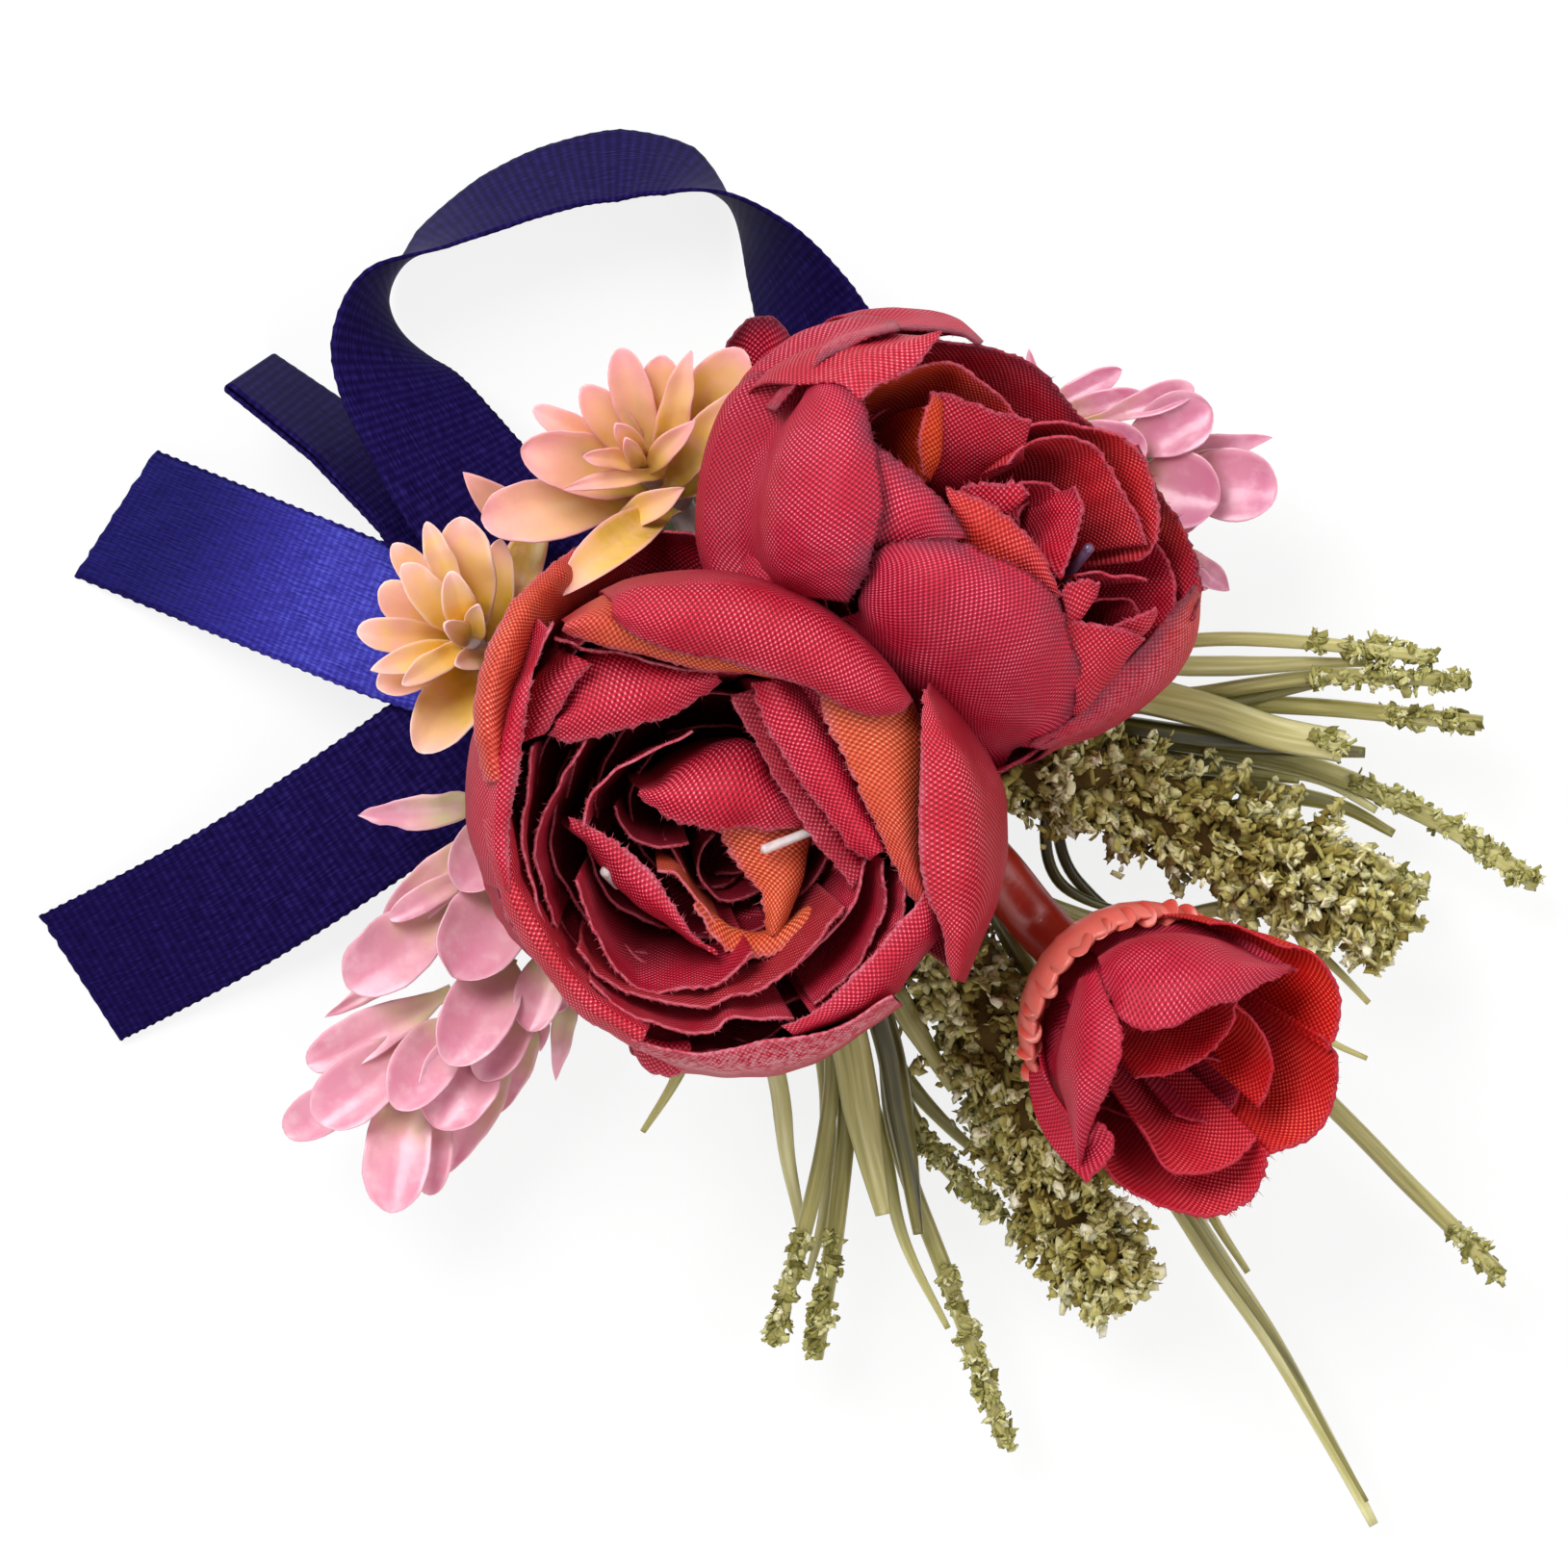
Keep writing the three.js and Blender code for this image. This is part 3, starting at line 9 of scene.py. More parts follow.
import bpy
import numpy as np
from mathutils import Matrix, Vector


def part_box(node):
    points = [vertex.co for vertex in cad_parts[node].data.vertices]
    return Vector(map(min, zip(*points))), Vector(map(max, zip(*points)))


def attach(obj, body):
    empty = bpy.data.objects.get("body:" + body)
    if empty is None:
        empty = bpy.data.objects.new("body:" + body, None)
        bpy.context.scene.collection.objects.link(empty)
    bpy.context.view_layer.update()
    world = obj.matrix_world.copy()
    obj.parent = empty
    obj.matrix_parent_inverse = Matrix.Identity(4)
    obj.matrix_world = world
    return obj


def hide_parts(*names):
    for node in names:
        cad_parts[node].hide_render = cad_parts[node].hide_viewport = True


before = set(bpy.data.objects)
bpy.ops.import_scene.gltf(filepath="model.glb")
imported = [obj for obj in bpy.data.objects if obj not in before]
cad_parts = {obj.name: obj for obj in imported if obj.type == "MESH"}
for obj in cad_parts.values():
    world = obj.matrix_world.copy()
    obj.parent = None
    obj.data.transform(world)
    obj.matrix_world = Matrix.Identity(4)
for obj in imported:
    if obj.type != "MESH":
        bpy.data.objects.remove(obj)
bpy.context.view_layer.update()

MM = 0.001
UP = np.array([0.0, 0.0, 1.0])
FULL_TURN = 2 * math.pi

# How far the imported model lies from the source's own zero: the felt's middle is known in both
FELT_MIDDLE = np.array([-0.84, 10.98, 8.3])
felt_low, felt_high = (np.array(corner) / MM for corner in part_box("felt_backing"))
SETTLE = (felt_low + felt_high) / 2 - FELT_MIDDLE

# The photograph: straight down, 12.7 px to the millimetre at a height of 20 mm
PHOTO_SIDE = 1629
PX_PER_MM = 12.7
LOOK_X, LOOK_Y = SETTLE[:2] + (0.28, 3.11)
SHARP_LEVEL = 20.0
CAMERA_RISE = 700.0
SENSOR = 36.0


def put(name, data):
    """A new object of the data, linked to the scene."""
    obj = bpy.data.objects.new(name, data)
    bpy.context.scene.collection.objects.link(obj)
    return obj


camera = put("camera", bpy.data.cameras.new("camera"))
camera.data.sensor_width = SENSOR
camera.data.lens = SENSOR * CAMERA_RISE / (PHOTO_SIDE / PX_PER_MM)
camera.data.clip_start = 0.05
camera.data.clip_end = 20.0
camera.location = (LOOK_X * MM, LOOK_Y * MM, (CAMERA_RISE + SHARP_LEVEL) * MM)
bpy.context.scene.camera = camera


def spot(points):
    """Millimetres of (px, py, height) rows: offset from the photo's middle over the scale, times the share
    of the camera's distance that is left above the height."""
    p = np.asarray(points, float)
    left = (CAMERA_RISE - (p[..., 2] - SHARP_LEVEL)) / CAMERA_RISE
    x = (p[..., 0] - PHOTO_SIDE / 2) / PX_PER_MM * left + LOOK_X
    y = (PHOTO_SIDE / 2 - p[..., 1]) / PX_PER_MM * left + LOOK_Y
    return np.stack([x, y, p[..., 2]], -1)


def unit(v):
    """Each vector over its own length."""
    return v / np.maximum(np.linalg.norm(v, axis=-1, keepdims=True), 1e-9)


def together(*parts):
    """Arrays whose shapes fit each other, side by side along a new last direction."""
    return np.stack(np.broadcast_arrays(*parts), -1)


def travel(p):
    """Distance from the start at each place of a line, or at each row of a grid: the running sum of the
    steps, which on a grid are means over its columns."""
    step = np.linalg.norm(np.diff(p, axis=0), axis=-1)
    return np.concatenate([[0], np.cumsum(step if step.ndim == 1 else step.mean(-1))])


def length_of(p):
    """Length of a line of places: the sum of its steps."""
    return np.linalg.norm(np.diff(p, axis=0), axis=1).sum()


def circle(count):
    """Cosine and sine at even steps round a full turn."""
    turn = np.linspace(0, FULL_TURN, count, endpoint=False)
    return np.cos(turn), np.sin(turn)


def bearings(p):
    """Along a line of places: the way it runs, level and square to that, and square to both."""
    way = unit(np.gradient(p, axis=0))
    side = unit(np.cross(UP, way))
    return way, side, np.cross(way, side)


def glide(p, t, s):
    """Cubic Hermite pieces through the values p at t, with the slopes of the neighbouring differences,
    read at s."""
    m = np.gradient(p, t, axis=0)
    i = np.clip(np.searchsorted(t, s, side="right") - 1, 0, len(t) - 2)
    span = (t[i + 1] - t[i]).reshape((-1,) + (1,) * (p.ndim - 1))
    f = ((s - t[i]) / (t[i + 1] - t[i])).reshape(span.shape)
    start = (2 * f**3 - 3 * f**2 + 1) * p[i] + (f**3 - 2 * f**2 + f) * span * m[i]
    end = (3 * f**2 - 2 * f**3) * p[i + 1] + (f**3 - f**2) * span * m[i + 1]
    return start + end


def line(points, count):
    """Smooth line through the points: Hermite pieces over the chord lengths, read at even steps of its
    own length."""
    p = np.asarray(points, float)
    t = travel(p)
    fine = glide(p, t, np.linspace(0, t[-1], 12 * len(p) + count))
    run = travel(fine)
    even = np.linspace(0, run[-1], count)
    return np.stack([np.interp(even, run, fine[:, k]) for k in range(fine.shape[1])], -1)


LEAST_GAP = 0.05


def loft(rows, count, crowd):
    """Grid through rows of points: Hermite pieces across the rows over their mean distances, read at
    shares that are raised to crowd, so that more rows lie near the first one."""
    r = np.stack(rows)
    gaps = np.maximum(np.linalg.norm(np.diff(r, axis=0), axis=-1).mean(-1), LEAST_GAP)
    t = np.concatenate([[0], np.cumsum(gaps)])
    return glide(r, t, t[-1] * np.linspace(0, 1, count) ** crowd)


def ripple(p, size, seed, waves=8):
    """Smooth random relief of about -1 to 1: a sum of sines along random directions, whose lengths lie
    near size."""
    rng = np.random.default_rng(seed)
    way = unit(rng.normal(size=(waves, p.shape[-1])))
    pace = FULL_TURN / size * rng.uniform(0.55, 1.5, (waves, 1))
    phase = rng.uniform(0, FULL_TURN, waves)
    return np.sin(p @ (way * pace).T + phase).sum(-1) * 1.6 / waves


def grid_normal(p):
    """Unit normal of each grid point: the cross product of the steps down and along the grid."""
    return unit(np.cross(np.gradient(p, axis=0), np.gradient(p, axis=1)))


# What each point carries for its material, named for its use on a petal: the distance from the free
# edge, light through a single layer, depth of painted shade, and a share of the piece's own (on a petal,
# its pale painted sheen)
MARKS = ("rim", "glow", "deep", "own")


class Piece:
    """Points, faces and per-point marks of one object, gathered part by part."""

    def __init__(self):
        self.points = []
        self.quads = [np.zeros((0, 4), int)]
        self.tris = [np.zeros((0, 3), int)]
        self.flat = []
        self.marks = []
        self.count = 0

    def add(self, points, quads=None, tris=None, flat=None, marks=(0, 0, 0, 0)):
        """Takes one part: its points in mm, its faces, its cloth coordinates in mm and its four marks."""
        n = len(points)
        self.points.append(points)
        if quads is not None:
            self.quads.append(quads + self.count)
        if tris is not None:
            self.tris.append(tris + self.count)
        self.flat.append(np.zeros((n, 2)) if flat is None else flat)
        self.marks.append(np.broadcast_to(np.asarray(marks, float), (n, 4)))
        self.count += n

    def shell(self, p, thick, flat, marks):
        """Closed sheet: the grid and its copy at thick behind its normals, joined round the border."""
        rows, columns = p.shape[:2]
        back = p - grid_normal(p) * thick
        n = rows * columns
        i = np.arange(n).reshape(rows, columns)
        top = np.stack([i[:-1, :-1], i[1:, :-1], i[1:, 1:], i[:-1, 1:]], -1).reshape(-1, 4)
        border = np.concatenate([i[0, :-1], i[:-1, -1], i[-1, :0:-1], i[:0:-1, 0]])
        after = np.roll(border, -1)
        sides = np.stack([border, after, after + n, border + n], -1)
        quads = np.concatenate([top, top[:, ::-1] + n, sides])
        points = np.concatenate([p.reshape(-1, 3), back.reshape(-1, 3)])
        flat, marks = (np.tile(both.reshape(n, -1), (2, 1)) for both in (flat, marks))
        self.add(points, quads, flat=flat, marks=marks)

    def tube(self, rings, marks=0, flat=0):
        """Closed tube: rings of points joined in order, with each end drawn to its ring's middle."""
        rows, columns = rings.shape[:2]
        wrapped = np.concatenate([np.arange(columns), [0]])
        i = (np.arange(rows)[:, None] * columns) + wrapped[None, :]
        cells = [i[:-1, :-1], i[:-1, 1:], i[1:, 1:], i[1:, :-1]]
        quads = np.stack(cells, -1).reshape(-1, 4)
        n = rows * columns
        first = np.stack([np.full(columns, n), i[0, 1:], i[0, :-1]], -1)
        last = np.stack([np.full(columns, n + 1), i[-1, :-1], i[-1, 1:]], -1)
        ends = np.stack([rings[0].mean(0), rings[-1].mean(0)])
        points = np.concatenate([rings.reshape(-1, 3), ends])
        flat = np.broadcast_to(flat, (rows, columns, 2)).reshape(n, 2)
        marks = np.broadcast_to(marks, (rows, columns, 4)).reshape(n, 4)
        flat, marks = (np.concatenate([part, part[:1], part[-1:]]) for part in (flat, marks))
        self.add(points, quads, np.concatenate([first, last]), flat, marks)

    def make(self, name, material, slot, *nodes):
        """Writes the mesh in metres, gives it its cloth coordinates, marks and material, and rides it on
        the corsage in place of its CAD nodes."""
        quads, tris = np.concatenate(self.quads), np.concatenate(self.tris)
        mesh = bpy.data.meshes.new(name)
        corner = np.concatenate([quads.ravel(), tris.ravel()]).astype(np.int32)
        begin = np.concatenate([np.arange(len(quads)) * 4, len(quads) * 4 + np.arange(len(tris)) * 3])
        mesh.vertices.add(self.count)
        mesh.vertices.foreach_set("co", (np.concatenate(self.points) * MM).astype(np.float32).ravel())
        mesh.loops.add(len(corner))
        mesh.loops.foreach_set("vertex_index", corner)
        mesh.polygons.add(len(begin))
        mesh.polygons.foreach_set("loop_start", begin.astype(np.int32))
        mesh.polygons.foreach_set("use_smooth", np.ones(len(begin), bool))
        uv = mesh.uv_layers.new(name="flat_mm")
        uv.data.foreach_set("uv", np.concatenate(self.flat)[corner].astype(np.float32).ravel())
        values = np.concatenate(self.marks)
        for k, mark in enumerate(MARKS):
            layer = mesh.attributes.new(mark, "FLOAT", "POINT")
            layer.data.foreach_set("value", np.ascontiguousarray(values[:, k], np.float32))
        mesh.update(calc_edges=True)
        mesh.validate()
        mesh.materials.append(material)
        obj = put(name, mesh)
        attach(obj, "corsage")
        if nodes:
            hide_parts(*nodes)
        return obj


def dye(code):
    """Linear colour of a six-figure sRGB hex value."""
    value = np.array([int(code[i : i + 2], 16) for i in (0, 2, 4)]) / 255
    linear = np.where(value <= 0.04045, value / 12.92, ((value + 0.055) / 1.055) ** 2.4)
    return (*(float(v) for v in linear), 1.0)


def node(tree, kind, sockets=None, out=0, stops=(), **settings):
    """Adds a shader node with its settings. A socket gets a value, or a link where an output is given; the
    stops of a colour ramp are (place, hex) pairs. Gives back the output of that name or number."""
    made = tree.nodes.new("ShaderNode" + kind)
    for key, value in settings.items():
        setattr(made, key, value)
    for key, value in (sockets or {}).items():
        if isinstance(value, bpy.types.NodeSocket):
            tree.links.new(value, made.inputs[key])
        else:
            made.inputs[key].default_value = value
    for k, (place, code) in enumerate(stops):
        ramp = made.color_ramp.elements
        stop = ramp[k] if k < 2 else ramp.new(place)
        stop.position = place
        stop.color = dye(code)
    return made.outputs[out] if made.outputs else None


def fresh(name):
    """An empty material and its node tree."""
    material = bpy.data.materials.new(name)
    material.use_nodes = True
    material.node_tree.nodes.clear()
    return material, material.node_tree


# Petal cloth: its thread pitch and wall in mm, how many blotches and specks lie on a mm, the tone of the
# painted shade in the depth of a flower, and the pale tone of a painted sheen
PETAL_WEAVE = 0.47
CLOTH_WALL = 0.22
BLOTCHES_PER_MM = 0.25
SPECKS_PER_MM = 2
PAINTED_SHADE_TONE = "380003"
PAINTED_SHEEN_TONE = "DDA6AE"


def plain_weave(tree, flat, pitch_mm):
    """Plain weave on the cloth's own millimetres: the product of two sines, one along each thread
    direction, whose tops are the threads that lie uppermost. A slow noise bends the threads."""
    drift = node(tree, "TexNoise", {"Vector": flat, "Scale": 0.2, "Detail": 1.0}, "Fac")
    x = node(tree, "SeparateXYZ", {0: flat}, "X")
    waves = []
    for part, way in ((x, 1.0), (x.node.outputs["Y"], -1.0)):
        turned = node(tree, "Math", {0: part, 1: FULL_TURN / pitch_mm}, operation="MULTIPLY")
        bent = node(tree, "Math", {0: drift, 1: way, 2: turned}, operation="MULTIPLY_ADD")
        waves.append(node(tree, "Math", {0: bent}, operation="SINE"))
    both = node(tree, "Math", {0: waves[0], 1: waves[1]}, operation="MULTIPLY")
    return node(tree, "Math", {0: both, 1: 0.5, 2: 0.5}, operation="MULTIPLY_ADD")


def petal_cloth(name, cloth, lit, fray, worn, worn_mm, hold):
    """Polyester taffeta, dyed, die-cut and heat-curled: a plain weave painted as rows of pale dots over
    darker gaps (painted highlights on its floats, painted shade between them), a fused frayed edge, a
    worn band of a given width and strength inside it, a warmer tone where light comes through a single
    layer, painted shade in the depth of the flower, under which edge and band fade, and a pale painted
    sheen where the sheen mark lies."""
    material, tree = fresh(name)
    spots = node(tree, "TexCoord", out="Object")
    flat = node(tree, "UVMap", uv_map="flat_mm")
    broad = node(tree, "TexNoise", {"Vector": spots, "Scale": BLOTCHES_PER_MM / MM, "Detail": 3.0}, "Fac")
    fine = node(tree, "TexNoise", {"Vector": spots, "Scale": SPECKS_PER_MM / MM, "Detail": 2.0}, "Fac")
    rim, glow, deep, sheen_mark = (node(tree, "Attribute", out="Fac", attribute_name=m) for m in MARKS)
    weave = plain_weave(tree, flat, PETAL_WEAVE)
    floats = {"Value": broad, "From Min": 0.32, "From Max": 0.62, "To Min": 0.84, "To Max": 1.0}
    lean = node(tree, "MapRange", floats)
    height = node(tree, "Math", {0: weave, 1: lean}, operation="MULTIPLY")
    # painted light: the thread height picks the tone, from painted shade in the gaps to painted highlights
    # on the floats
    tone = node(tree, "ValToRGB", {"Fac": height}, stops=cloth)
    warm = node(tree, "ValToRGB", {"Fac": height}, stops=lit)
    shade = node(tree, "Mix", {0: glow, 6: tone, 7: warm}, 2, data_type="RGBA")
    depth = node(tree, "Math", {0: deep, 1: 0.92}, operation="MULTIPLY")
    outer = node(tree, "Math", {0: 1.0, 1: deep}, operation="SUBTRACT")
    band = {"Value": rim, "From Min": 0.1, "From Max": worn_mm, "To Min": hold, "To Max": 0.0}
    band = node(tree, "MapRange", band, interpolation_type="SMOOTHSTEP")
    spread = node(tree, "MapRange", {"Value": broad, "From Min": 0.35, "From Max": 0.6})
    reach = node(tree, "Math", {0: fine, 1: 0.5, 2: 0.08}, operation="MULTIPLY_ADD")
    edge = {"Value": rim, "From Min": 0.0, "From Max": reach, "To Min": 0.7, "To Max": 0.0}
    edge = node(tree, "MapRange", edge, interpolation_type="SMOOTHSTEP")
    broken = node(tree, "MapRange", {"Value": fine, "From Min": 0.36, "From Max": 0.6, "To Min": 0.3})
    # the worn band and the frayed edge fade where painted shade lies
    for factor in (spread, outer):
        band = node(tree, "Math", {0: band, 1: factor}, operation="MULTIPLY")
    for factor in (broken, outer):
        edge = node(tree, "Math", {0: edge, 1: factor}, operation="MULTIPLY")
    # pale painted sheen, speckled, where the petal's sheen mark lies
    sheen_spots = node(tree, "MapRange", {"Value": fine, "From Min": 0.4, "From Max": 0.62})
    sheen_spots = node(tree, "Math", {0: sheen_spots, 1: sheen_mark}, operation="MULTIPLY")
    # mixed in order: painted shade in the depth, worn band, frayed edge, pale painted sheen
    for share, over in ((depth, PAINTED_SHADE_TONE), (band, worn), (edge, fray), (sheen_spots, PAINTED_SHEEN_TONE)):
        shade = node(tree, "Mix", {0: share, 6: shade, 7: dye(over)}, 2, data_type="RGBA")
    rough = node(tree, "MapRange", {"Value": broad, "To Min": 0.36, "To Max": 0.66})
    bump = node(tree, "Bump", {"Height": weave, "Distance": 0.07 * MM, "Strength": 0.9})
    node(tree, "OutputMaterial", {"Surface": node(tree, "BsdfPrincipled", {
        "Base Color": shade, "Roughness": rough, "Normal": bump, "Specular IOR Level": 0.22})})
    return material


# Each flower: the root that its petals meet at, the way it faces, the height that its petals' heights
# are counted from (a height, and its slope along x and y), and how much painted shade darkens its depth
ROSE_A = dict(root=(-7.3, 2.8, 16.9), heading=-45, tilt=13, level=(39.5, -0.163, 0.163), gloom=1.0)
ROSE_B = dict(root=(5.7, 19.1, 17.4), heading=8, tilt=34, level=(0, 0, 0), gloom=0.5)
BUD = dict(root=(25.2, -12.3, 16.4), heading=-45, tilt=45, level=(0, 0, 0), gloom=0.6)
for flower in (ROSE_A, ROSE_B, BUD):
    lean = math.radians(flower["tilt"])
    turn = math.radians(flower["heading"])
    flat_way = math.sin(lean)
    flower["axis"] = np.array([flat_way * math.cos(turn), flat_way * math.sin(turn), math.cos(lean)])
    flower["x"] = unit(np.cross(flower["axis"], [0.0, 1.0, 0.2]))
    flower["y"] = np.cross(flower["axis"], flower["x"])
    flower["root"] = np.array(flower["root"]) + SETTLE


def laid(flower, row, count):
    """Smooth line in mm through a row of pixels, whose heights over the flower's level are spread evenly
    along it. A tilted level is met by three rounds of going from pixel to place to height."""
    pixels, heights = row
    pixels = np.asarray(pixels, float)
    heights = np.atleast_1d(heights)
    rise = np.interp(np.linspace(0, 1, len(pixels)), np.linspace(0, 1, len(heights)), heights)
    base, slope_x, slope_y = flower["level"]
    z = base + rise
    for _ in range(3):
        m = spot(np.column_stack([pixels, z]))
        z = base + slope_x * m[:, 0] + slope_y * m[:, 1] + rise
    return line(spot(np.column_stack([pixels, z])), count)


def bowl(flower, row, sweep, stop):
    """Rows that go on from the last one to the flower's root: out from the axis by the sine and up it by
    one less the cosine of a growing share of the sweep."""
    away = row - flower["root"]
    up = away @ flower["axis"]
    out = away - up[:, None] * flower["axis"]
    full = math.radians(sweep)
    made = []
    for share in np.linspace(1, stop, 5)[1:]:
        wide = math.sin(share * full) / math.sin(full)
        high = (1 - math.cos(share * full)) / (1 - math.cos(full))
        made.append(flower["root"] + out * wide + flower["axis"] * (up * high)[:, None])
    return made


# Loose threads: half their width and how deep they are rooted in mm, and how many stand on a mm of edge
THREAD_HALF = 0.045
THREAD_ROOT = 0.15
THREADS_PER_MM = 4.0


def needles(piece, p, way, reach, seed, marks):
    """Loose thread ends along a line: thin three-sided spikes at random places, along the way out of the
    cloth with a random lean."""
    rng = np.random.default_rng(seed)
    n = max(4, int(length_of(p) * THREADS_PER_MM))
    at = rng.uniform(0, len(p) - 1.001, n)
    i = at.astype(int)
    f = (at - i)[:, None]
    root = p[i] * (1 - f) + p[i + 1] * f
    out = unit(way[i] + rng.normal(size=(n, 3)) * 0.55)
    root = root - out * THREAD_ROOT
    side = unit(np.cross(out, rng.normal(size=(n, 3)))) * THREAD_HALF
    other = np.cross(out, side)
    tip = root + out * (rng.uniform(0.25, 1.0, (n, 1)) ** 1.6 * reach + THREAD_ROOT)
    corners = np.stack([root + side, root - side * 0.5 + other, root - side * 0.5 - other, tip], 1)
    k = np.arange(n)[:, None] * 4
    tris = np.concatenate([k + [[0, 1, 3]], k + [[1, 2, 3]], k + [[2, 0, 3]], k + [[0, 2, 1]]])
    piece.add(corners.reshape(-1, 3), tris=tris, marks=marks)


def unrolled(p):
    """A petal's grid laid flat, in mm: the run along each row from its start, the way across from its
    middle column, and the depth below the first row."""
    run = np.zeros(p.shape[:2])
    run[:, 1:] = np.cumsum(np.linalg.norm(np.diff(p, axis=1), axis=-1), axis=1)
    middle = p.shape[1] // 2
    across = run - run[:, middle : middle + 1]
    return run, across, travel(p)[:, None] + np.zeros_like(across)


# Petals, in mm: the width of a grid column, the lengths of ruffles, creases and notches and how fast each
# fades below the edge, and where painted shade, glow and a pale painted sheen lie
COLUMN_WIDTH = 0.32
RUFFLE, RUFFLE_FADE = 9.0, 4.0
CREASE, CREASE_FADE = 2.6, 9
NOTCH, NOTCH_FADE = 1.1, 0.35
SHADE_START = 3
GLOW_START = GLOW_FADE = 6
SHEEN_DEPTH = SHEEN_REACH = 2.5


def petal(piece, flower, rows, gloom, seed, sweep=95, glow=0.0, deep=0.0, ruffle=0.35, crease=0.12,
          fray=0.45, painted_sheen=0.0):
    """Cloth petal: the loft of its rows from the frayed edge inwards, then its bowl to the root. Ruffles
    that fade away from the edge, creases that run down the petal, and a ragged edge move the grid, and
    loose threads stand on the edge. Painted shade deepens to the gloom's share, over its distance in mm,
    below the edge, over the petal's own share of it; a pale painted sheen lies in a band a little below
    the edge."""
    rng = np.random.default_rng(seed)
    longest = max(length_of(laid(flower, row, 20)) for row in rows)
    columns = int(np.clip(longest / COLUMN_WIDTH, 24, 150))
    lines = [laid(flower, row, columns) for row in rows]
    lines += bowl(flower, lines[-1], sweep, 0.3)
    p = loft(lines, 26, 1.35)
    run, across, depth = unrolled(p)
    soft = ripple(together(across, depth * 0.6), RUFFLE, seed) * ruffle * np.exp(-depth / RUFFLE_FADE)
    folds = ripple(together(across, depth * 0.2), CREASE, seed + 1) * crease * np.exp(-depth / CREASE_FADE)
    p = p + grid_normal(p) * (soft + folds)[..., None]
    out = unit(p[0] - p[2])
    ragged = rng.uniform(-0.5, 0.5, columns) + ripple(across[0, :, None], NOTCH, seed + 2) * 0.5
    bite = np.exp(-depth / NOTCH_FADE) * ragged * fray * 0.55
    p = p + out[None] * bite[..., None]
    edge = np.minimum(depth, np.minimum(run, run[:, -1:] - run) + 0.25)
    # painted shade: the petal's own share, deepening below the edge
    dark = deep + gloom[0] * (1 - np.exp(-np.maximum(depth - SHADE_START, 0) / gloom[1]))
    warm = np.interp(np.linspace(0, 1, columns), np.linspace(0, 1, np.size(glow)), np.atleast_1d(glow))
    warm = warm[None] * np.exp(-np.maximum(depth - GLOW_START, 0) / GLOW_FADE)
    # pale painted sheen in a band a little below the edge
    sheen_mark = painted_sheen * np.exp(-(((depth - SHEEN_DEPTH) / SHEEN_REACH) ** 2))
    marks = together(edge, np.clip(warm, 0, 1), np.clip(dark, 0, 1), sheen_mark)
    piece.shell(p, CLOTH_WALL, together(across, depth), marks)
    needles(piece, p[0], out, fray * 1.5, seed + 3, (0, float(np.mean(glow)), deep, 0))


# Plain petals of a ring, in mm: how far their corners drop, how uneven their heights are, the length and
# height of their swell, the height of their creases, and where shade starts; and how far each overlaps
RING_DROP, RING_UNEVEN = 2.0, 0.4
SWELL, SWELL_HEIGHT = 8.0, 0.3
RING_CREASE_HEIGHT = 0.1
RING_SHADE_START = RING_SHADE_FADE = 9
OVERLAP_SHARE = 1.25


def ring(piece, flower, count, radius, rise, sweep, turn, seed, deep):
    """Whole ring of petals in the flower's own frame: each edge is an arc of its share of the circle and
    more, highest at its middle, which the bowl then takes to the root."""
    for k in range(count):
        rng = np.random.default_rng(seed + k)
        share = np.linspace(-1, 1, 9)
        a = share * math.pi / count * OVERLAP_SHARE + turn + FULL_TURN * k / count
        r = radius * (1 + 0.03 * rng.normal()) * (1 - 0.06 * share**2)
        h = rise - RING_DROP * share**4 + RING_UNEVEN * rng.normal()
        edge = flower["root"] + flower["axis"] * h[:, None] + flower["x"] * (r * np.cos(a))[:, None]
        lines = [line(edge + flower["y"] * (r * np.sin(a))[:, None], 60)]
        lines += bowl(flower, lines[0], sweep, 0.2)
        p = loft(lines, 20, 1.3)
        _, across, depth = unrolled(p)
        relief_mm = ripple(together(across, depth), SWELL, seed + k) * SWELL_HEIGHT
        creases = ripple(together(across, depth * 0.2), CREASE, seed + k + 50)
        relief_mm += creases * RING_CREASE_HEIGHT
        p = p + grid_normal(p) * relief_mm[..., None]
        # painted shade: darker further down each petal, over the ring's own share
        shaded = 1 - np.exp(-np.maximum(depth - RING_SHADE_START, 0) / RING_SHADE_FADE)
        dark = np.clip(deep + 0.4 * shaded, 0, 1)
        piece.shell(p, CLOTH_WALL, together(across, depth), together(depth, 0, dark, 0))
        needles(piece, p[0], unit(p[0] - p[2]), 0.6, seed + k + 90, (0, 0, deep, 0))


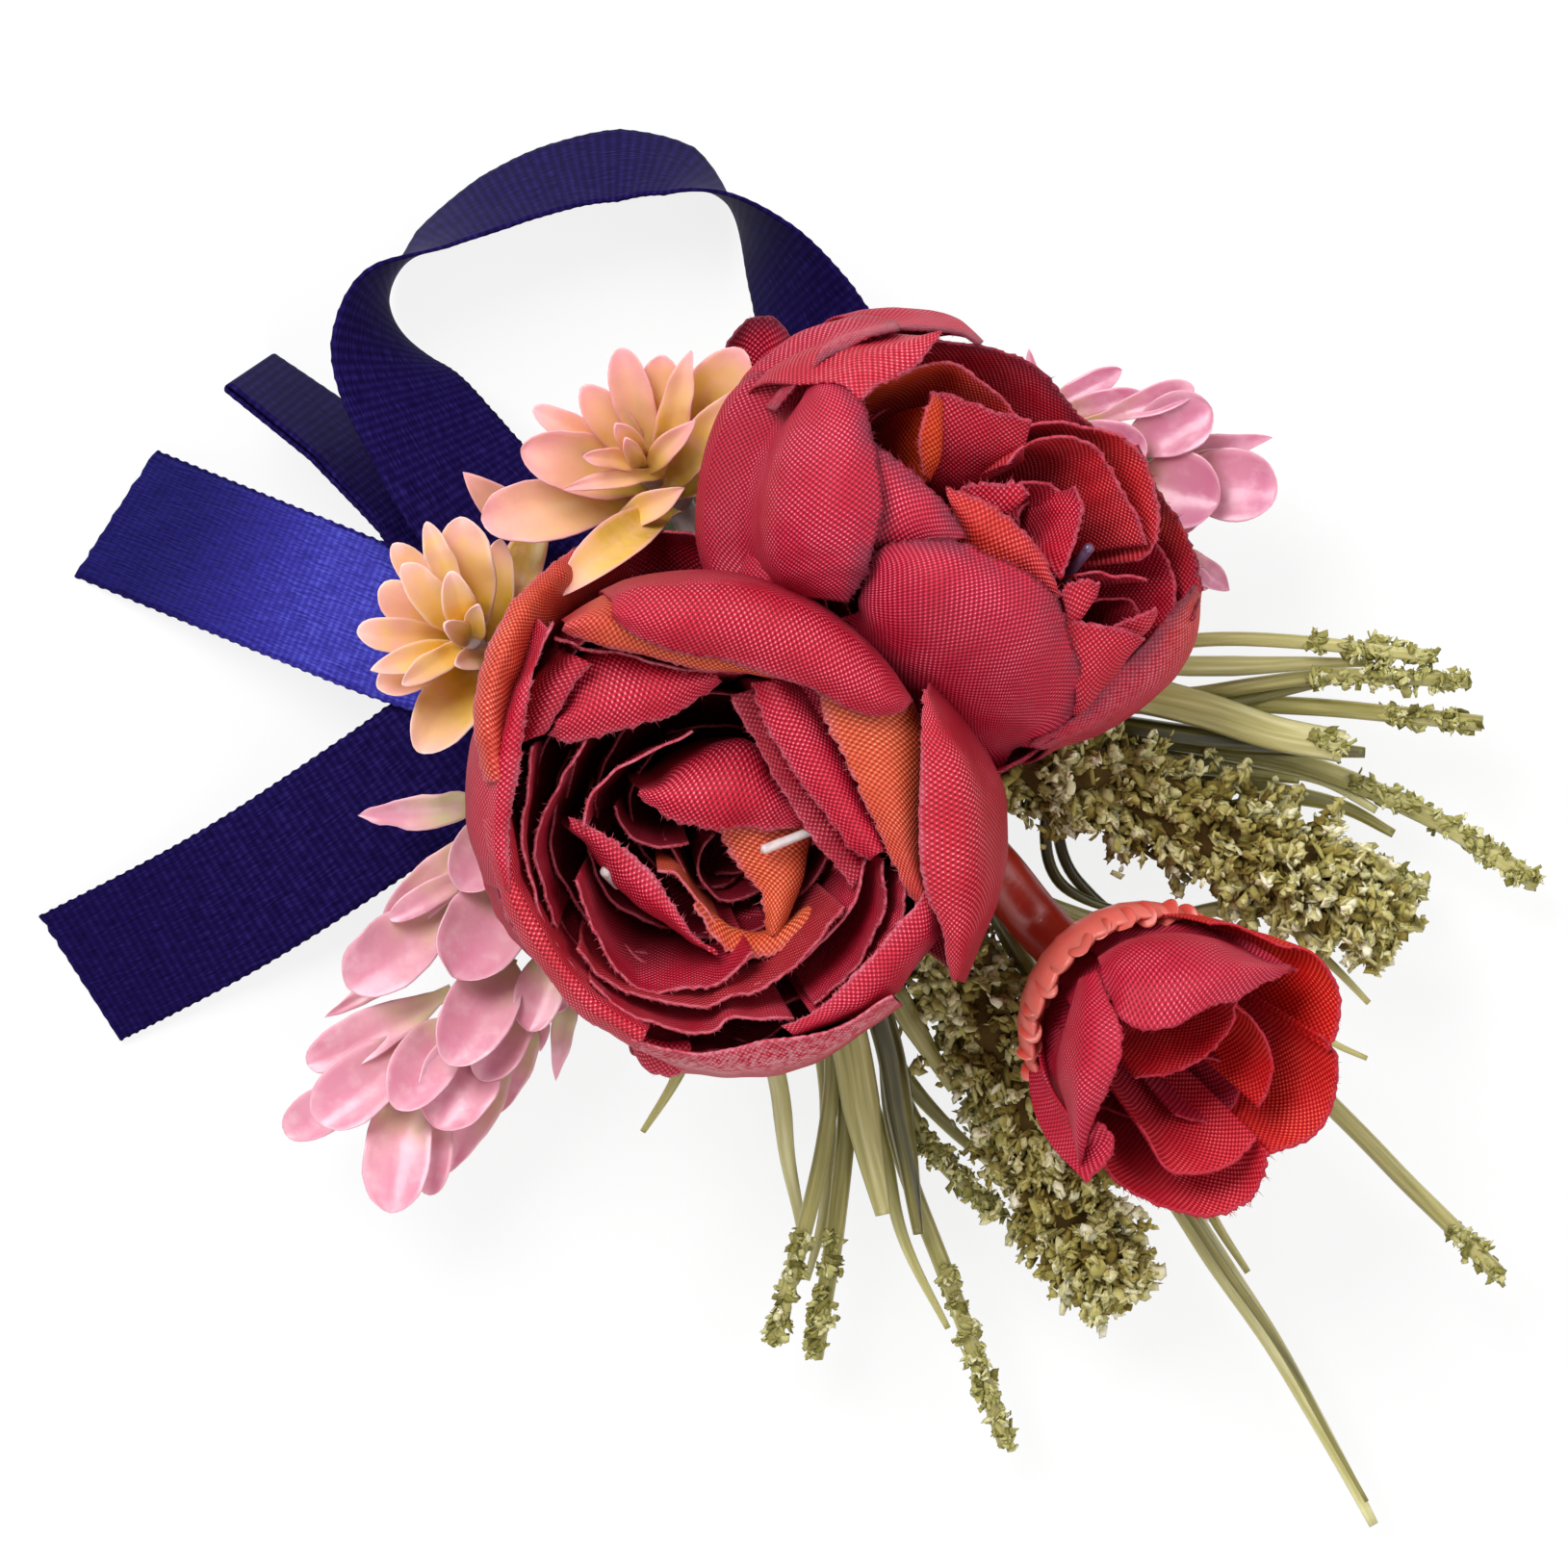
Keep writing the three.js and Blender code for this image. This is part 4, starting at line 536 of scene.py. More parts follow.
# Rose A. Each petal: its layer, what sets it apart, and its rows from the free edge inwards as (pixels,
# heights over the flower's level)
ROSE_A_PETALS = [
    (1, dict(sweep=82, glow=(0.1, 0.5, 0.8, 0.7, 0.5), fray=0.25), [
        ([(640, 552), (598, 570), (562, 598), (529, 632), (508, 670), (497, 704), (493, 742), (499, 780),
          (507, 812)], (-19.5, -14.5, -8.5, -4, -2.2, -2, -2, -2, -2)),
        ([(643, 557), (604, 577), (569, 604), (538, 638), (518, 674), (507, 706), (503, 742), (508, 780),
          (515, 812)], (-19, -14, -7.5, -2.6, -0.4, -0.3, -0.3, -0.3, -0.3)),
        ([(652, 594), (624, 604), (594, 624), (564, 661), (546, 693), (535, 720), (531, 750), (532, 785),
          (536, 815)], (-20.5, -17, -12.5, -8, -5, -4.5, -4.5, -4.5, -4.5))]),
    (1, dict(sweep=84, fray=0.3, deep=0.5), [
        ([(628, 574), (665, 556), (705, 552), (745, 566), (784, 596)], (-20, -18, -16))]),
    (1, dict(sweep=84, glow=(0.05, 0.12, 0.05), fray=0.25), [
        ([(506, 850), (510, 879), (522, 932), (541, 970), (560, 1000), (581, 1027), (602, 1052),
          (632, 1071), (664, 1090)], (-2.4,)),
        ([(517, 848), (521, 877), (533, 927), (552, 963), (570, 992), (590, 1017), (610, 1041),
          (638, 1060), (669, 1078)], (-0.6,)),
        ([(530, 850), (536, 878), (548, 920), (566, 955), (584, 983), (603, 1006), (624, 1028),
          (648, 1045), (676, 1062)], (-4.5,))]),
    (1, dict(sweep=108, fray=0.2, crease=0.2, painted_sheen=0.5), [
        ([(655, 1082), (690, 1093), (727, 1096), (746, 1093), (776, 1086), (807, 1082), (841, 1078),
          (875, 1067), (906, 1049), (928, 1036)], (-0.8,)),
        ([(662, 1090), (695, 1102), (735, 1107), (765, 1106), (805, 1100), (843, 1092), (876, 1078),
          (906, 1058), (932, 1041)], (-2.0,)),
        ([(668, 1094), (700, 1108), (740, 1114), (765, 1116), (807, 1113), (845, 1103), (875, 1087),
          (906, 1064), (937, 1044)], (-5.5,))]),
    (1, dict(sweep=106, fray=0.35), [
        ([(812, 1066), (845, 1052), (879, 1020), (909, 990), (932, 960), (951, 940), (960, 925)],
         (-0.8,)),
        ([(820, 1072), (860, 1054), (893, 1031), (921, 1001), (946, 972), (962, 947), (966, 932)],
         (-0.7,)),
        ([(826, 1076), (862, 1064), (892, 1052), (928, 1032), (951, 1002), (974, 972), (980, 945)],
         (-3.8,))]),
    (1, dict(sweep=112, glow=0.06, fray=0.3, ruffle=0.2), [
        ([(959, 716), (957, 761), (956, 800), (955, 856), (957, 905), (963, 932), (978, 962),
          (985, 1000), (991, 1018)], (0.2, 0.4, 0.2, -0.5, -3.0)),
        ([(961, 716), (972, 765), (985, 800), (992, 856), (993, 905), (992, 940), (993, 968),
          (992, 1000), (992, 1018)], (0.2, 1.0, 1.0, 0.0, -3.0)),
        ([(962, 718), (990, 757), (1012, 793), (1029, 826), (1033, 864), (1032, 905), (1023, 943),
          (1008, 981), (993, 1018)], (-1.0, -4.0, -4.5, -4.0, -3.2))]),
    (1, dict(sweep=100, fray=0.5), [
        ([(659, 1088), (666, 1103), (681, 1114), (700, 1118), (718, 1106)], (-6.2,)),
        ([(663, 1080), (676, 1088), (690, 1092), (705, 1092), (718, 1090)], (-5.0,))]),
    (2, dict(sweep=94, fray=0.15, ruffle=0.15, crease=0.05), [
        ([(636, 640), (651, 654), (681, 670), (708, 678), (746, 684), (799, 700), (845, 714),
          (883, 736), (908, 742), (938, 737)], (0.4, 0.8, 0.8, 0.5, 0.0)),
        ([(636, 634), (668, 640), (705, 644), (750, 648), (800, 660), (850, 682), (893, 708),
          (925, 727), (942, 733)], (0.8, 2.4, 2.6, 2.2, 0.2)),
        ([(636, 626), (665, 618), (700, 618), (750, 618), (800, 628), (850, 650), (893, 680),
          (925, 710), (944, 731)], (0.2, 1.6, 2.0, 1.6, 0.0)),
        ([(632, 622), (655, 611), (693, 603), (746, 600), (799, 610), (845, 629), (886, 657),
          (918, 688), (946, 728)], (-1.5, -2.5, -2.5, -2.5, -1.0))]),
    (2, dict(sweep=90, glow=(0.3, 0.95, 1.0, 1.0, 0.9), fray=0.3, ruffle=0.15), [
        ([(584, 654), (594, 658), (624, 668), (651, 677), (689, 685), (723, 694), (776, 697),
          (805, 702)], (-1.2,)),
        ([(586, 651), (610, 648), (640, 650), (670, 660), (705, 672), (750, 686), (806, 700)],
         (-0.3,)),
        ([(588, 649), (613, 634), (645, 619), (680, 612), (720, 612), (770, 640), (808, 690)],
         (-2.5,))]),
    (2, dict(sweep=108, fray=0.35, ruffle=0.2), [
        ([(573, 645), (562, 674), (550, 715), (543, 761), (539, 799), (533, 837), (529, 879),
          (529, 925)], (-0.2, 0.3, 0.0, -0.6)),
        ([(570, 650), (553, 690), (539, 740), (529, 790), (522, 835), (519, 880), (526, 922)],
         (-0.6, 0.6, 0.4, -0.6)),
        ([(568, 652), (546, 698), (526, 743), (512, 785), (506, 830), (508, 875), (524, 925)],
         (-1.8, -2.0, -2.2, -2.0))]),
    (2, dict(sweep=86, fray=0.5, deep=0.15), [
        ([(577, 664), (590, 670), (609, 679), (643, 683), (680, 690), (708, 694), (745, 699),
          (790, 702)], (-2.6,))]),
    (2, dict(sweep=98, fray=0.35, deep=0.1), [
        ([(566, 762), (580, 737), (593, 713), (613, 688)], (-3.2,)),
        ([(556, 765), (568, 736), (582, 710), (604, 684)], (-2.9,)),
        ([(545, 770), (556, 738), (573, 706), (596, 682)], (-3.6,))]),
    (2, dict(sweep=78, fray=0.4, glow=0.05, deep=0.12), [
        ([(552, 775), (546, 830), (545, 880), (552, 930), (570, 975), (592, 1006), (612, 1030)],
         (-2.5,))]),
    (2, dict(sweep=82, fray=0.4, deep=0.1), [
        ([(943, 915), (938, 950), (925, 980), (903, 1010), (870, 1040), (845, 1056)], (-2.2,))]),
    (2, dict(sweep=80, fray=0.5, glow=0.05, deep=0.2), [
        ([(610, 1022), (632, 1040), (655, 1056), (681, 1069), (716, 1077), (746, 1071), (761, 1061),
          (784, 1065), (803, 1061), (825, 1060)], (-2.2,))]),
    (3, dict(sweep=104, fray=0.6, ruffle=0.3), [
        ([(570, 760), (590, 769), (624, 764), (655, 754), (693, 743), (722, 726), (748, 705)],
         (-4.2,)),
        ([(577, 752), (600, 742), (640, 728), (690, 716), (745, 702)], (-3.2,)),
        ([(576, 754), (588, 733), (606, 704), (630, 690), (680, 690), (744, 699)], (-4.6,))]),
    (3, dict(sweep=102, fray=0.6, ruffle=0.25), [
        ([(783, 708), (795, 750), (814, 784), (833, 814), (854, 841), (871, 864), (888, 886),
          (905, 890)], (-3.0,)),
        ([(800, 706), (822, 750), (848, 794), (872, 830), (893, 860), (913, 886)], (-2.0,)),
        ([(812, 702), (824, 712), (843, 740), (866, 778), (885, 812), (900, 841), (915, 868),
          (922, 886)], (-3.6,))]),
    (3, dict(sweep=98, fray=0.4, deep=0.35), [
        ([(758, 722), (768, 745), (780, 764), (803, 805), (830, 850), (845, 873), (868, 900),
          (886, 922)], (-5.4,)),
        ([(784, 714), (798, 757), (815, 792), (840, 830), (865, 864), (885, 893), (895, 908)],
         (-5.2,))]),
    (3, dict(sweep=106, fray=0.55, glow=(1.0, 1.0, 0.9, 0.7, 0.25), ruffle=0.2), [
        ([(848, 714), (860, 753), (879, 791), (894, 822), (909, 852), (922, 882), (940, 917),
          (956, 942)], (-2.0,)),
        ([(888, 718), (905, 755), (916, 790), (925, 825), (934, 862), (946, 900), (961, 938)],
         (-1.3,)),
        ([(936, 730), (949, 765), (951, 800), (951, 840), (953, 880), (958, 915), (966, 941)],
         (-2.2,))]),
    (3, dict(sweep=70, fray=0.5, deep=0.3), [
        ([(606, 762), (590, 795), (573, 833), (563, 856), (557, 879), (557, 905), (564, 935),
          (578, 965)], (-4.4,))]),
    (3, dict(sweep=76, fray=0.5, glow=0.12, deep=0.3), [
        ([(600, 985), (618, 1010), (640, 1027), (675, 1038), (708, 1043), (731, 1046), (761, 1035),
          (784, 1032), (811, 1016), (837, 993), (860, 970), (879, 943)], (-3.6,))]),
    (3, dict(sweep=80, fray=0.5, deep=0.25), [
        ([(918, 892), (920, 930), (913, 965), (896, 995), (870, 1022), (845, 1043)], (-3.2,))]),
    (4, dict(sweep=66, fray=0.55, deep=0.22, ruffle=0.2), [
        ([(598, 915), (608, 948), (617, 972), (632, 998), (647, 1015), (662, 1028), (681, 1031),
          (708, 1027), (731, 1027), (754, 1018), (769, 1004), (783, 990)], (-4.8,))]),
    (4, dict(sweep=66, fray=0.4, ruffle=0.2), [
        ([(720, 760), (700, 770), (670, 780), (640, 799), (621, 818), (607, 841), (605, 862)],
         (-5.6,))]),
    (4, dict(sweep=78, fray=0.3, deep=0.1), [
        ([(900, 892), (893, 925), (875, 957), (848, 985), (815, 1010), (775, 1028)], (-4.6,))]),
    (5, dict(sweep=104, fray=0.45, ruffle=0.2), [
        ([(590, 848), (609, 856), (643, 877), (666, 894), (685, 917), (704, 947), (723, 974),
          (748, 990)], (-6.4,)),
        ([(592, 856), (612, 866), (638, 888), (658, 910), (680, 932), (703, 955), (722, 976),
          (744, 990)], (-6.2,)),
        ([(594, 862), (611, 874), (628, 898), (647, 921), (670, 942), (697, 959), (720, 978),
          (742, 991)], (-7.4,))]),
    (5, dict(sweep=108, fray=0.6, ruffle=0.15), [
        ([(662, 826), (674, 834), (689, 846), (704, 853), (723, 857), (746, 862), (769, 859),
          (799, 862), (822, 859), (838, 852)], (-8.0, -7.2, -6.8, -7.2, -8.0)),
        ([(664, 823), (695, 826), (730, 826), (765, 828), (800, 834), (840, 850)],
         (-7.8, -6.0, -5.4, -6.0, -8.0)),
        ([(666, 821), (685, 818), (708, 803), (727, 793), (754, 784), (780, 784), (795, 803),
          (811, 822), (828, 841), (840, 849)], (-8.5, -7.4, -7.2, -7.4, -8.6))]),
    (5, dict(sweep=60, fray=0.3, deep=0.45), [
        ([(636, 838), (644, 858), (662, 872), (690, 880), (716, 876)], (-9.6,))]),
    (6, dict(sweep=96, fray=0.6, glow=(0.85, 1.0, 1.0), ruffle=0.15), [
        ([(742, 858), (754, 879), (769, 902), (788, 924), (795, 943), (799, 974)], (-9.2,)),
        ([(790, 856), (800, 880), (812, 905), (812, 930), (808, 950), (803, 972)], (-8.4,)),
        ([(836, 852), (834, 879), (831, 905), (825, 932), (815, 955), (806, 972)], (-9.2,))]),
    (6, dict(sweep=96, fray=0.6, glow=1.0, ruffle=0.15), [
        ([(720, 940), (738, 970), (754, 987), (773, 997), (795, 996), (814, 988), (832, 973),
          (848, 957), (866, 940)], (-7.6,)),
        ([(722, 937), (745, 962), (768, 977), (795, 979), (820, 968), (842, 950), (864, 937)],
         (-8.4,))]),
    (6, dict(sweep=70, fray=0.4, glow=0.8, deep=0.1), [
        ([(683, 905), (703, 909), (720, 930), (736, 955), (752, 972)], (-8.2,))]),
    (7, dict(sweep=60, fray=0.3, deep=0.5), [
        ([(690, 872), (706, 905), (724, 935), (748, 962), (775, 972), (800, 960)], (-11.5,))]),
    (7, dict(sweep=60, fray=0.3, deep=0.5), [
        ([(742, 866), (724, 890), (728, 920), (745, 938), (775, 935), (803, 918)], (-13.0,))]),
]

# Rose B and the bud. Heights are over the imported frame's floor
ROSE_B_PETALS = [
    (1, dict(sweep=116, fray=0.5, ruffle=0.2, crease=0.06), [
        ([(850, 392), (868, 394), (886, 406), (900, 426), (908, 456), (915, 492), (918, 524),
          (912, 555), (904, 582), (896, 604), (880, 626)], (41, 43.5, 44.6, 44.6, 43.6, 40)),
        ([(845, 394), (856, 410), (864, 440), (867, 480), (866, 520), (861, 560), (854, 592),
          (850, 622)], (41, 44.5, 46, 46, 44, 39.5)),
        ([(841, 398), (830, 425), (821, 455), (816, 490), (813, 530), (813, 570), (817, 600),
          (828, 622)], (40, 42.8, 43.8, 43.8, 42, 38)),
        ([(838, 400), (818, 415), (801, 436), (787, 463), (777, 490), (770, 524), (769, 558),
          (776, 586), (792, 612), (815, 624)], (38, 36, 35, 34.5, 34.5, 36))]),
    (1, dict(sweep=116, fray=0.5, ruffle=0.2, crease=0.06), [
        ([(908, 574), (925, 565), (945, 561), (968, 560), (1002, 563), (1022, 573), (1056, 589),
          (1087, 609), (1104, 633), (1112, 660), (1122, 687), (1124, 711), (1117, 738), (1100, 762),
          (1078, 778)], (42.5, 44.2, 44.4, 43, 40.5, 37.5, 34.5, 31, 29)),
        ([(904, 584), (925, 586), (950, 590), (978, 600), (1010, 616), (1042, 640), (1065, 668),
          (1078, 700), (1080, 730), (1073, 755), (1062, 776)], (42, 44.6, 45.2, 44, 41.5, 37.5, 33, 28.5)),
        ([(892, 620), (910, 636), (936, 656), (965, 678), (995, 700), (1020, 722), (1038, 745),
          (1048, 764), (1052, 780)], (40, 41.4, 41.4, 40, 38, 35, 31.5, 28)),
        ([(884, 640), (890, 665), (905, 692), (932, 718), (960, 737), (985, 757), (1008, 774),
          (1030, 783), (1049, 785)], (37, 34.5, 33, 31.5, 30, 28.5, 27.5))]),
    (1, dict(sweep=110, fray=0.35, glow=(0.0, 0.0, 0.1, 0.6), painted_sheen=0.1), [
        ([(1070, 776), (1096, 758), (1121, 742), (1141, 721), (1168, 691), (1195, 663), (1226, 626),
          (1242, 606)], (30, 31, 32, 32, 31)),
        ([(1080, 780), (1110, 762), (1140, 744), (1170, 718), (1198, 690), (1222, 658), (1244, 612)],
         (29, 30, 30.5, 30.5, 30.5)),
        ([(1090, 778), (1124, 762), (1158, 751), (1192, 729), (1219, 704), (1238, 677), (1245, 653),
          (1247, 617)], (26, 25.5, 25.5, 26, 28))]),
    (1, dict(sweep=108, fray=0.4, ruffle=0.2, painted_sheen=0.15), [
        ([(806, 428), (832, 396), (852, 378), (886, 361), (905, 352), (935, 344)], (40, 41.2, 41)),
        ([(800, 426), (822, 396), (845, 374), (878, 355), (905, 346), (933, 340)], (38.5, 39.8, 39.5)),
        ([(795, 425), (815, 392), (838, 373), (869, 353), (903, 342), (930, 336)], (35, 36, 36))]),
    (1, dict(sweep=110, fray=0.3), [
        ([(900, 349), (935, 346), (968, 348), (995, 351), (1016, 358)], (37.5,)),
        ([(903, 341), (940, 333), (968, 332), (998, 336), (1018, 356)], (33.5,))]),
    (1, dict(sweep=70, fray=0.45, glow=0.15, ruffle=0.2), [
        ([(965, 352), (1005, 358), (1039, 366), (1066, 376), (1087, 391), (1104, 412), (1127, 436),
          (1150, 452)], (38.5, 36.5, 35, 33.5))]),
    (1, dict(sweep=72, fray=0.6, glow=(0.1, 0.6, 0.2, 0.0)), [
        ([(1182, 462), (1196, 494), (1209, 521), (1226, 544), (1240, 575), (1246, 612), (1238, 645)],
         (31.5, 30, 29.6, 30))]),
    (1, dict(sweep=60, fray=0.3), [
        ([(750, 372), (755, 357), (768, 342), (787, 330), (804, 332), (821, 351), (829, 378)],
         (26.5,)),
        ([(756, 385), (766, 372), (780, 364), (792, 363), (804, 370), (814, 384), (820, 398)],
         (25,))]),
    (2, dict(sweep=106, fray=0.45, ruffle=0.2, painted_sheen=0.05), [
        ([(978, 343), (968, 361), (954, 378), (934, 391), (910, 402), (894, 418)], (42.6, 43.6, 43.8)),
        ([(965, 346), (948, 358), (925, 369), (900, 381), (876, 400)], (42.4, 43.6, 43.6)),
        ([(952, 348), (927, 354), (886, 362), (852, 379), (830, 399)], (41, 41.4, 41))]),
    (1, dict(sweep=102, fray=0.45, ruffle=0.15), [
        ([(907, 460), (920, 468), (940, 483), (968, 507), (988, 531), (1006, 558)], (44.2, 43.8, 42.8, 42)),
        ([(911, 505), (928, 518), (948, 532), (966, 548), (986, 564)], (43.8, 43.4, 42.6)),
        ([(910, 560), (925, 564), (942, 566), (960, 567), (975, 570)], (42.4,))]),
    (2, dict(sweep=100, fray=0.35, ruffle=0.2), [
        ([(1106, 642), (1130, 648), (1150, 651), (1168, 654), (1190, 664)], (36.5, 35.5, 34.2)),
        ([(1112, 690), (1125, 695), (1140, 697), (1155, 694), (1172, 684)], (35, 33.8, 32.4)),
        ([(1118, 730), (1124, 736), (1132, 733), (1142, 722), (1156, 708)], (32.6, 31.6, 31.2))]),
    (2, dict(sweep=64, fray=0.4, glow=(0.95, 0.9, 0.55, 0.3), ruffle=0.2), [
        ([(903, 412), (913, 400), (940, 388), (968, 380), (995, 381), (1015, 395), (1032, 408),
          (1046, 422), (1060, 440)], (42, 40.5, 39.4, 38.4, 37.6))]),
    (2, dict(sweep=66, fray=0.45, glow=(0.1, 0.3, 0.2), ruffle=0.2), [
        ([(1066, 444), (1090, 440), (1124, 442), (1158, 450), (1182, 470), (1196, 500), (1203, 538),
          (1199, 565), (1183, 582)], (37, 36, 35, 33.6, 32.6))]),
    (2, dict(sweep=62, fray=0.35, deep=0.1), [
        ([(1200, 560), (1216, 590), (1222, 625), (1212, 660), (1190, 690)], (29.5,))]),
    (3, dict(sweep=104, fray=0.4, glow=(0.35, 0.5, 0.35, 0.1), ruffle=0.15), [
        ([(983, 506), (1008, 513), (1039, 530), (1063, 551), (1083, 575), (1103, 618)],
         (41.2, 40.6, 39.6, 38.6)),
        ([(986, 520), (1004, 534), (1024, 551), (1050, 567), (1074, 586), (1100, 622)],
         (41.6, 41.2, 40.2, 38.6)),
        ([(988, 532), (1000, 552), (1014, 572), (1040, 588), (1066, 602), (1094, 628)],
         (40.8, 40.2, 39.2, 37.4))]),
    (3, dict(sweep=62, fray=0.4, ruffle=0.15, deep=0.1), [
        ([(966, 408), (985, 410), (1002, 416), (1032, 427), (1072, 437)], (40.6, 40, 39)),
        ([(962, 452), (985, 458), (1008, 464), (1035, 468), (1064, 468)], (38.6, 37.4, 36.6)),
        ([(960, 492), (985, 500), (1008, 500), (1036, 492), (1062, 480)], (36, 34, 33))]),
    (3, dict(sweep=90, fray=0.35, glow=(0.9, 1.0, 1.0, 0.8), ruffle=0.1), [
        ([(968, 408), (957, 438), (953, 462), (958, 494)], (41, 40.6, 38.6)),
        ([(976, 414), (974, 444), (971, 470), (964, 498)], (40.2, 39.6, 37.6))]),
    (3, dict(sweep=62, fray=0.45, glow=0.2, ruffle=0.15), [
        ([(1048, 484), (1064, 464), (1090, 455), (1117, 457), (1140, 468), (1155, 490), (1167, 515),
          (1182, 540), (1191, 566)], (37.6, 37, 36, 35, 33.8))]),
    (3, dict(sweep=60, fray=0.35, deep=0.2), [
        ([(1118, 600), (1140, 598), (1160, 603), (1178, 601), (1192, 605)], (36, 35.4, 34.6))]),
    (4, dict(sweep=90, fray=0.5, ruffle=0.1), [
        ([(998, 506), (1020, 502), (1040, 502), (1060, 502), (1067, 516)], (38.8,)),
        ([(1008, 520), (1028, 522), (1046, 525), (1058, 522), (1066, 518)], (38.2,))]),
    (4, dict(sweep=58, fray=0.3, deep=0.3), [
        ([(1060, 506), (1080, 503), (1100, 512), (1112, 535), (1113, 560), (1104, 588)], (36.4,))]),
    (4, dict(sweep=88, fray=0.4, ruffle=0.1), [
        ([(1116, 505), (1124, 521), (1119, 551), (1110, 580), (1101, 603)], (38.6, 38, 37)),
        ([(1110, 508), (1112, 530), (1105, 560), (1096, 578), (1084, 588)], (37.6, 37, 36.4))]),
    (4, dict(sweep=88, fray=0.5, ruffle=0.1), [
        ([(1102, 616), (1112, 606), (1126, 602), (1143, 605)], (38, 37.4)),
        ([(1108, 642), (1118, 640), (1128, 634), (1138, 622)], (36.6, 36))]),
    (4, dict(sweep=84, fray=0.45, ruffle=0.1), [
        ([(1158, 652), (1172, 645), (1188, 638), (1202, 633)], (34.6,)),
        ([(1164, 662), (1178, 660), (1192, 652), (1203, 640)], (33.4,))]),
    (5, dict(sweep=58, fray=0.3, deep=0.45), [
        ([(1060, 560), (1062, 530), (1085, 520), (1104, 540), (1108, 575)], (33.4,))]),
    (6, dict(sweep=56, fray=0.3, deep=0.5), [
        ([(1120, 640), (1150, 622), (1180, 628), (1192, 650)], (32.0,))]),
]

BUD_PETALS = [
    (1, dict(sweep=84, fray=0.35, ruffle=0.15, crease=0.06), [
        ([(1147, 1020), (1158, 1042), (1165, 1058), (1181, 1068), (1200, 1071), (1223, 1065),
          (1242, 1054), (1261, 1044), (1282, 1040), (1303, 1026), (1326, 1016), (1342, 1007)],
         (34, 36.5, 37.6, 37.4, 36.6, 34.6, 32.5)),
        ([(1145, 1008), (1165, 1018), (1190, 1026), (1220, 1026), (1250, 1018), (1280, 1012),
          (1310, 1009), (1341, 1006)], (33.4, 36.6, 37.6, 37.4, 36, 32.4)),
        ([(1142, 999), (1165, 990), (1200, 986), (1233, 985), (1262, 988), (1288, 996), (1315, 1003),
          (1340, 1005)], (31.5, 33.6, 34.4, 34.2, 33.6, 32)),
        ([(1141, 995), (1165, 981), (1200, 973), (1233, 972), (1261, 976), (1286, 986), (1312, 999),
          (1339, 1004)], (25, 25.4, 25.6, 26, 27.5, 30))]),
    (1, dict(sweep=84, fray=0.35, ruffle=0.15, crease=0.06), [
        ([(1139, 1006), (1153, 1040), (1163, 1061), (1166, 1089), (1160, 1112), (1151, 1133),
          (1142, 1154), (1132, 1182), (1124, 1212)], (33, 36.2, 37.2, 36.8, 35.6, 33.6, 31)),
        ([(1130, 1012), (1134, 1045), (1137, 1075), (1134, 1105), (1128, 1135), (1123, 1165),
          (1121, 1195), (1122, 1210)], (32.8, 36, 36.6, 36, 34, 31.6)),
        ([(1122, 1016), (1115, 1055), (1110, 1090), (1108, 1115), (1111, 1140), (1114, 1170),
          (1120, 1208)], (30.5, 32.6, 33, 33, 32.4, 30.6)),
        ([(1118, 1019), (1106, 1060), (1096, 1092), (1094, 1117), (1099, 1142), (1109, 1175),
          (1119, 1206)], (24, 24, 24, 24.6, 26, 29))]),
    (1, dict(sweep=96, fray=0.45, ruffle=0.1), [
        ([(1140, 1165), (1156, 1182), (1154, 1198), (1143, 1213), (1127, 1228)], (33.4, 32.4)),
        ([(1130, 1180), (1138, 1190), (1136, 1200), (1129, 1210), (1120, 1220)], (32.4, 31.4))]),
    (1, dict(sweep=62, fray=0.4, glow=0.9, ruffle=0.25), [
        ([(1255, 962), (1284, 964), (1307, 973), (1333, 984), (1352, 987), (1369, 998), (1383, 1016),
          (1390, 1033), (1391, 1054), (1388, 1072), (1380, 1092)], (29, 29.5, 30, 30, 30))]),
    (1, dict(sweep=66, fray=0.35, glow=0.8, ruffle=0.25), [
        ([(1372, 1078), (1385, 1098), (1388, 1114), (1386, 1133), (1380, 1156), (1368, 1174),
          (1345, 1190), (1319, 1198)], (30, 29, 28.6))]),
    (1, dict(sweep=70, fray=0.6, ruffle=0.2, glow=0.35), [
        ([(1136, 1196), (1158, 1224), (1181, 1243), (1205, 1254), (1230, 1261), (1258, 1264),
          (1282, 1257), (1300, 1245), (1312, 1222), (1317, 1196)], (30.4, 28.6, 27.6, 28, 29.4))]),
    (2, dict(sweep=60, fray=0.4, glow=0.6), [
        ([(1284, 1038), (1277, 1070), (1261, 1089), (1237, 1105), (1209, 1114), (1178, 1119)],
         (34.4, 33.4, 32.4))]),
    (2, dict(sweep=60, fray=0.35, glow=0.8), [
        ([(1280, 1042), (1300, 1056), (1314, 1079), (1320, 1103), (1318, 1124), (1306, 1150)],
         (31.4, 30.4))]),
    (2, dict(sweep=62, fray=0.35, glow=0.4), [
        ([(1180, 1172), (1200, 1196), (1223, 1215), (1258, 1218), (1281, 1210), (1307, 1182)],
         (29.6,))]),
    (3, dict(sweep=58, fray=0.3, deep=0.3), [
        ([(1250, 1100), (1275, 1108), (1284, 1130), (1276, 1155), (1250, 1168), (1220, 1160)], (26.5,))]),
]

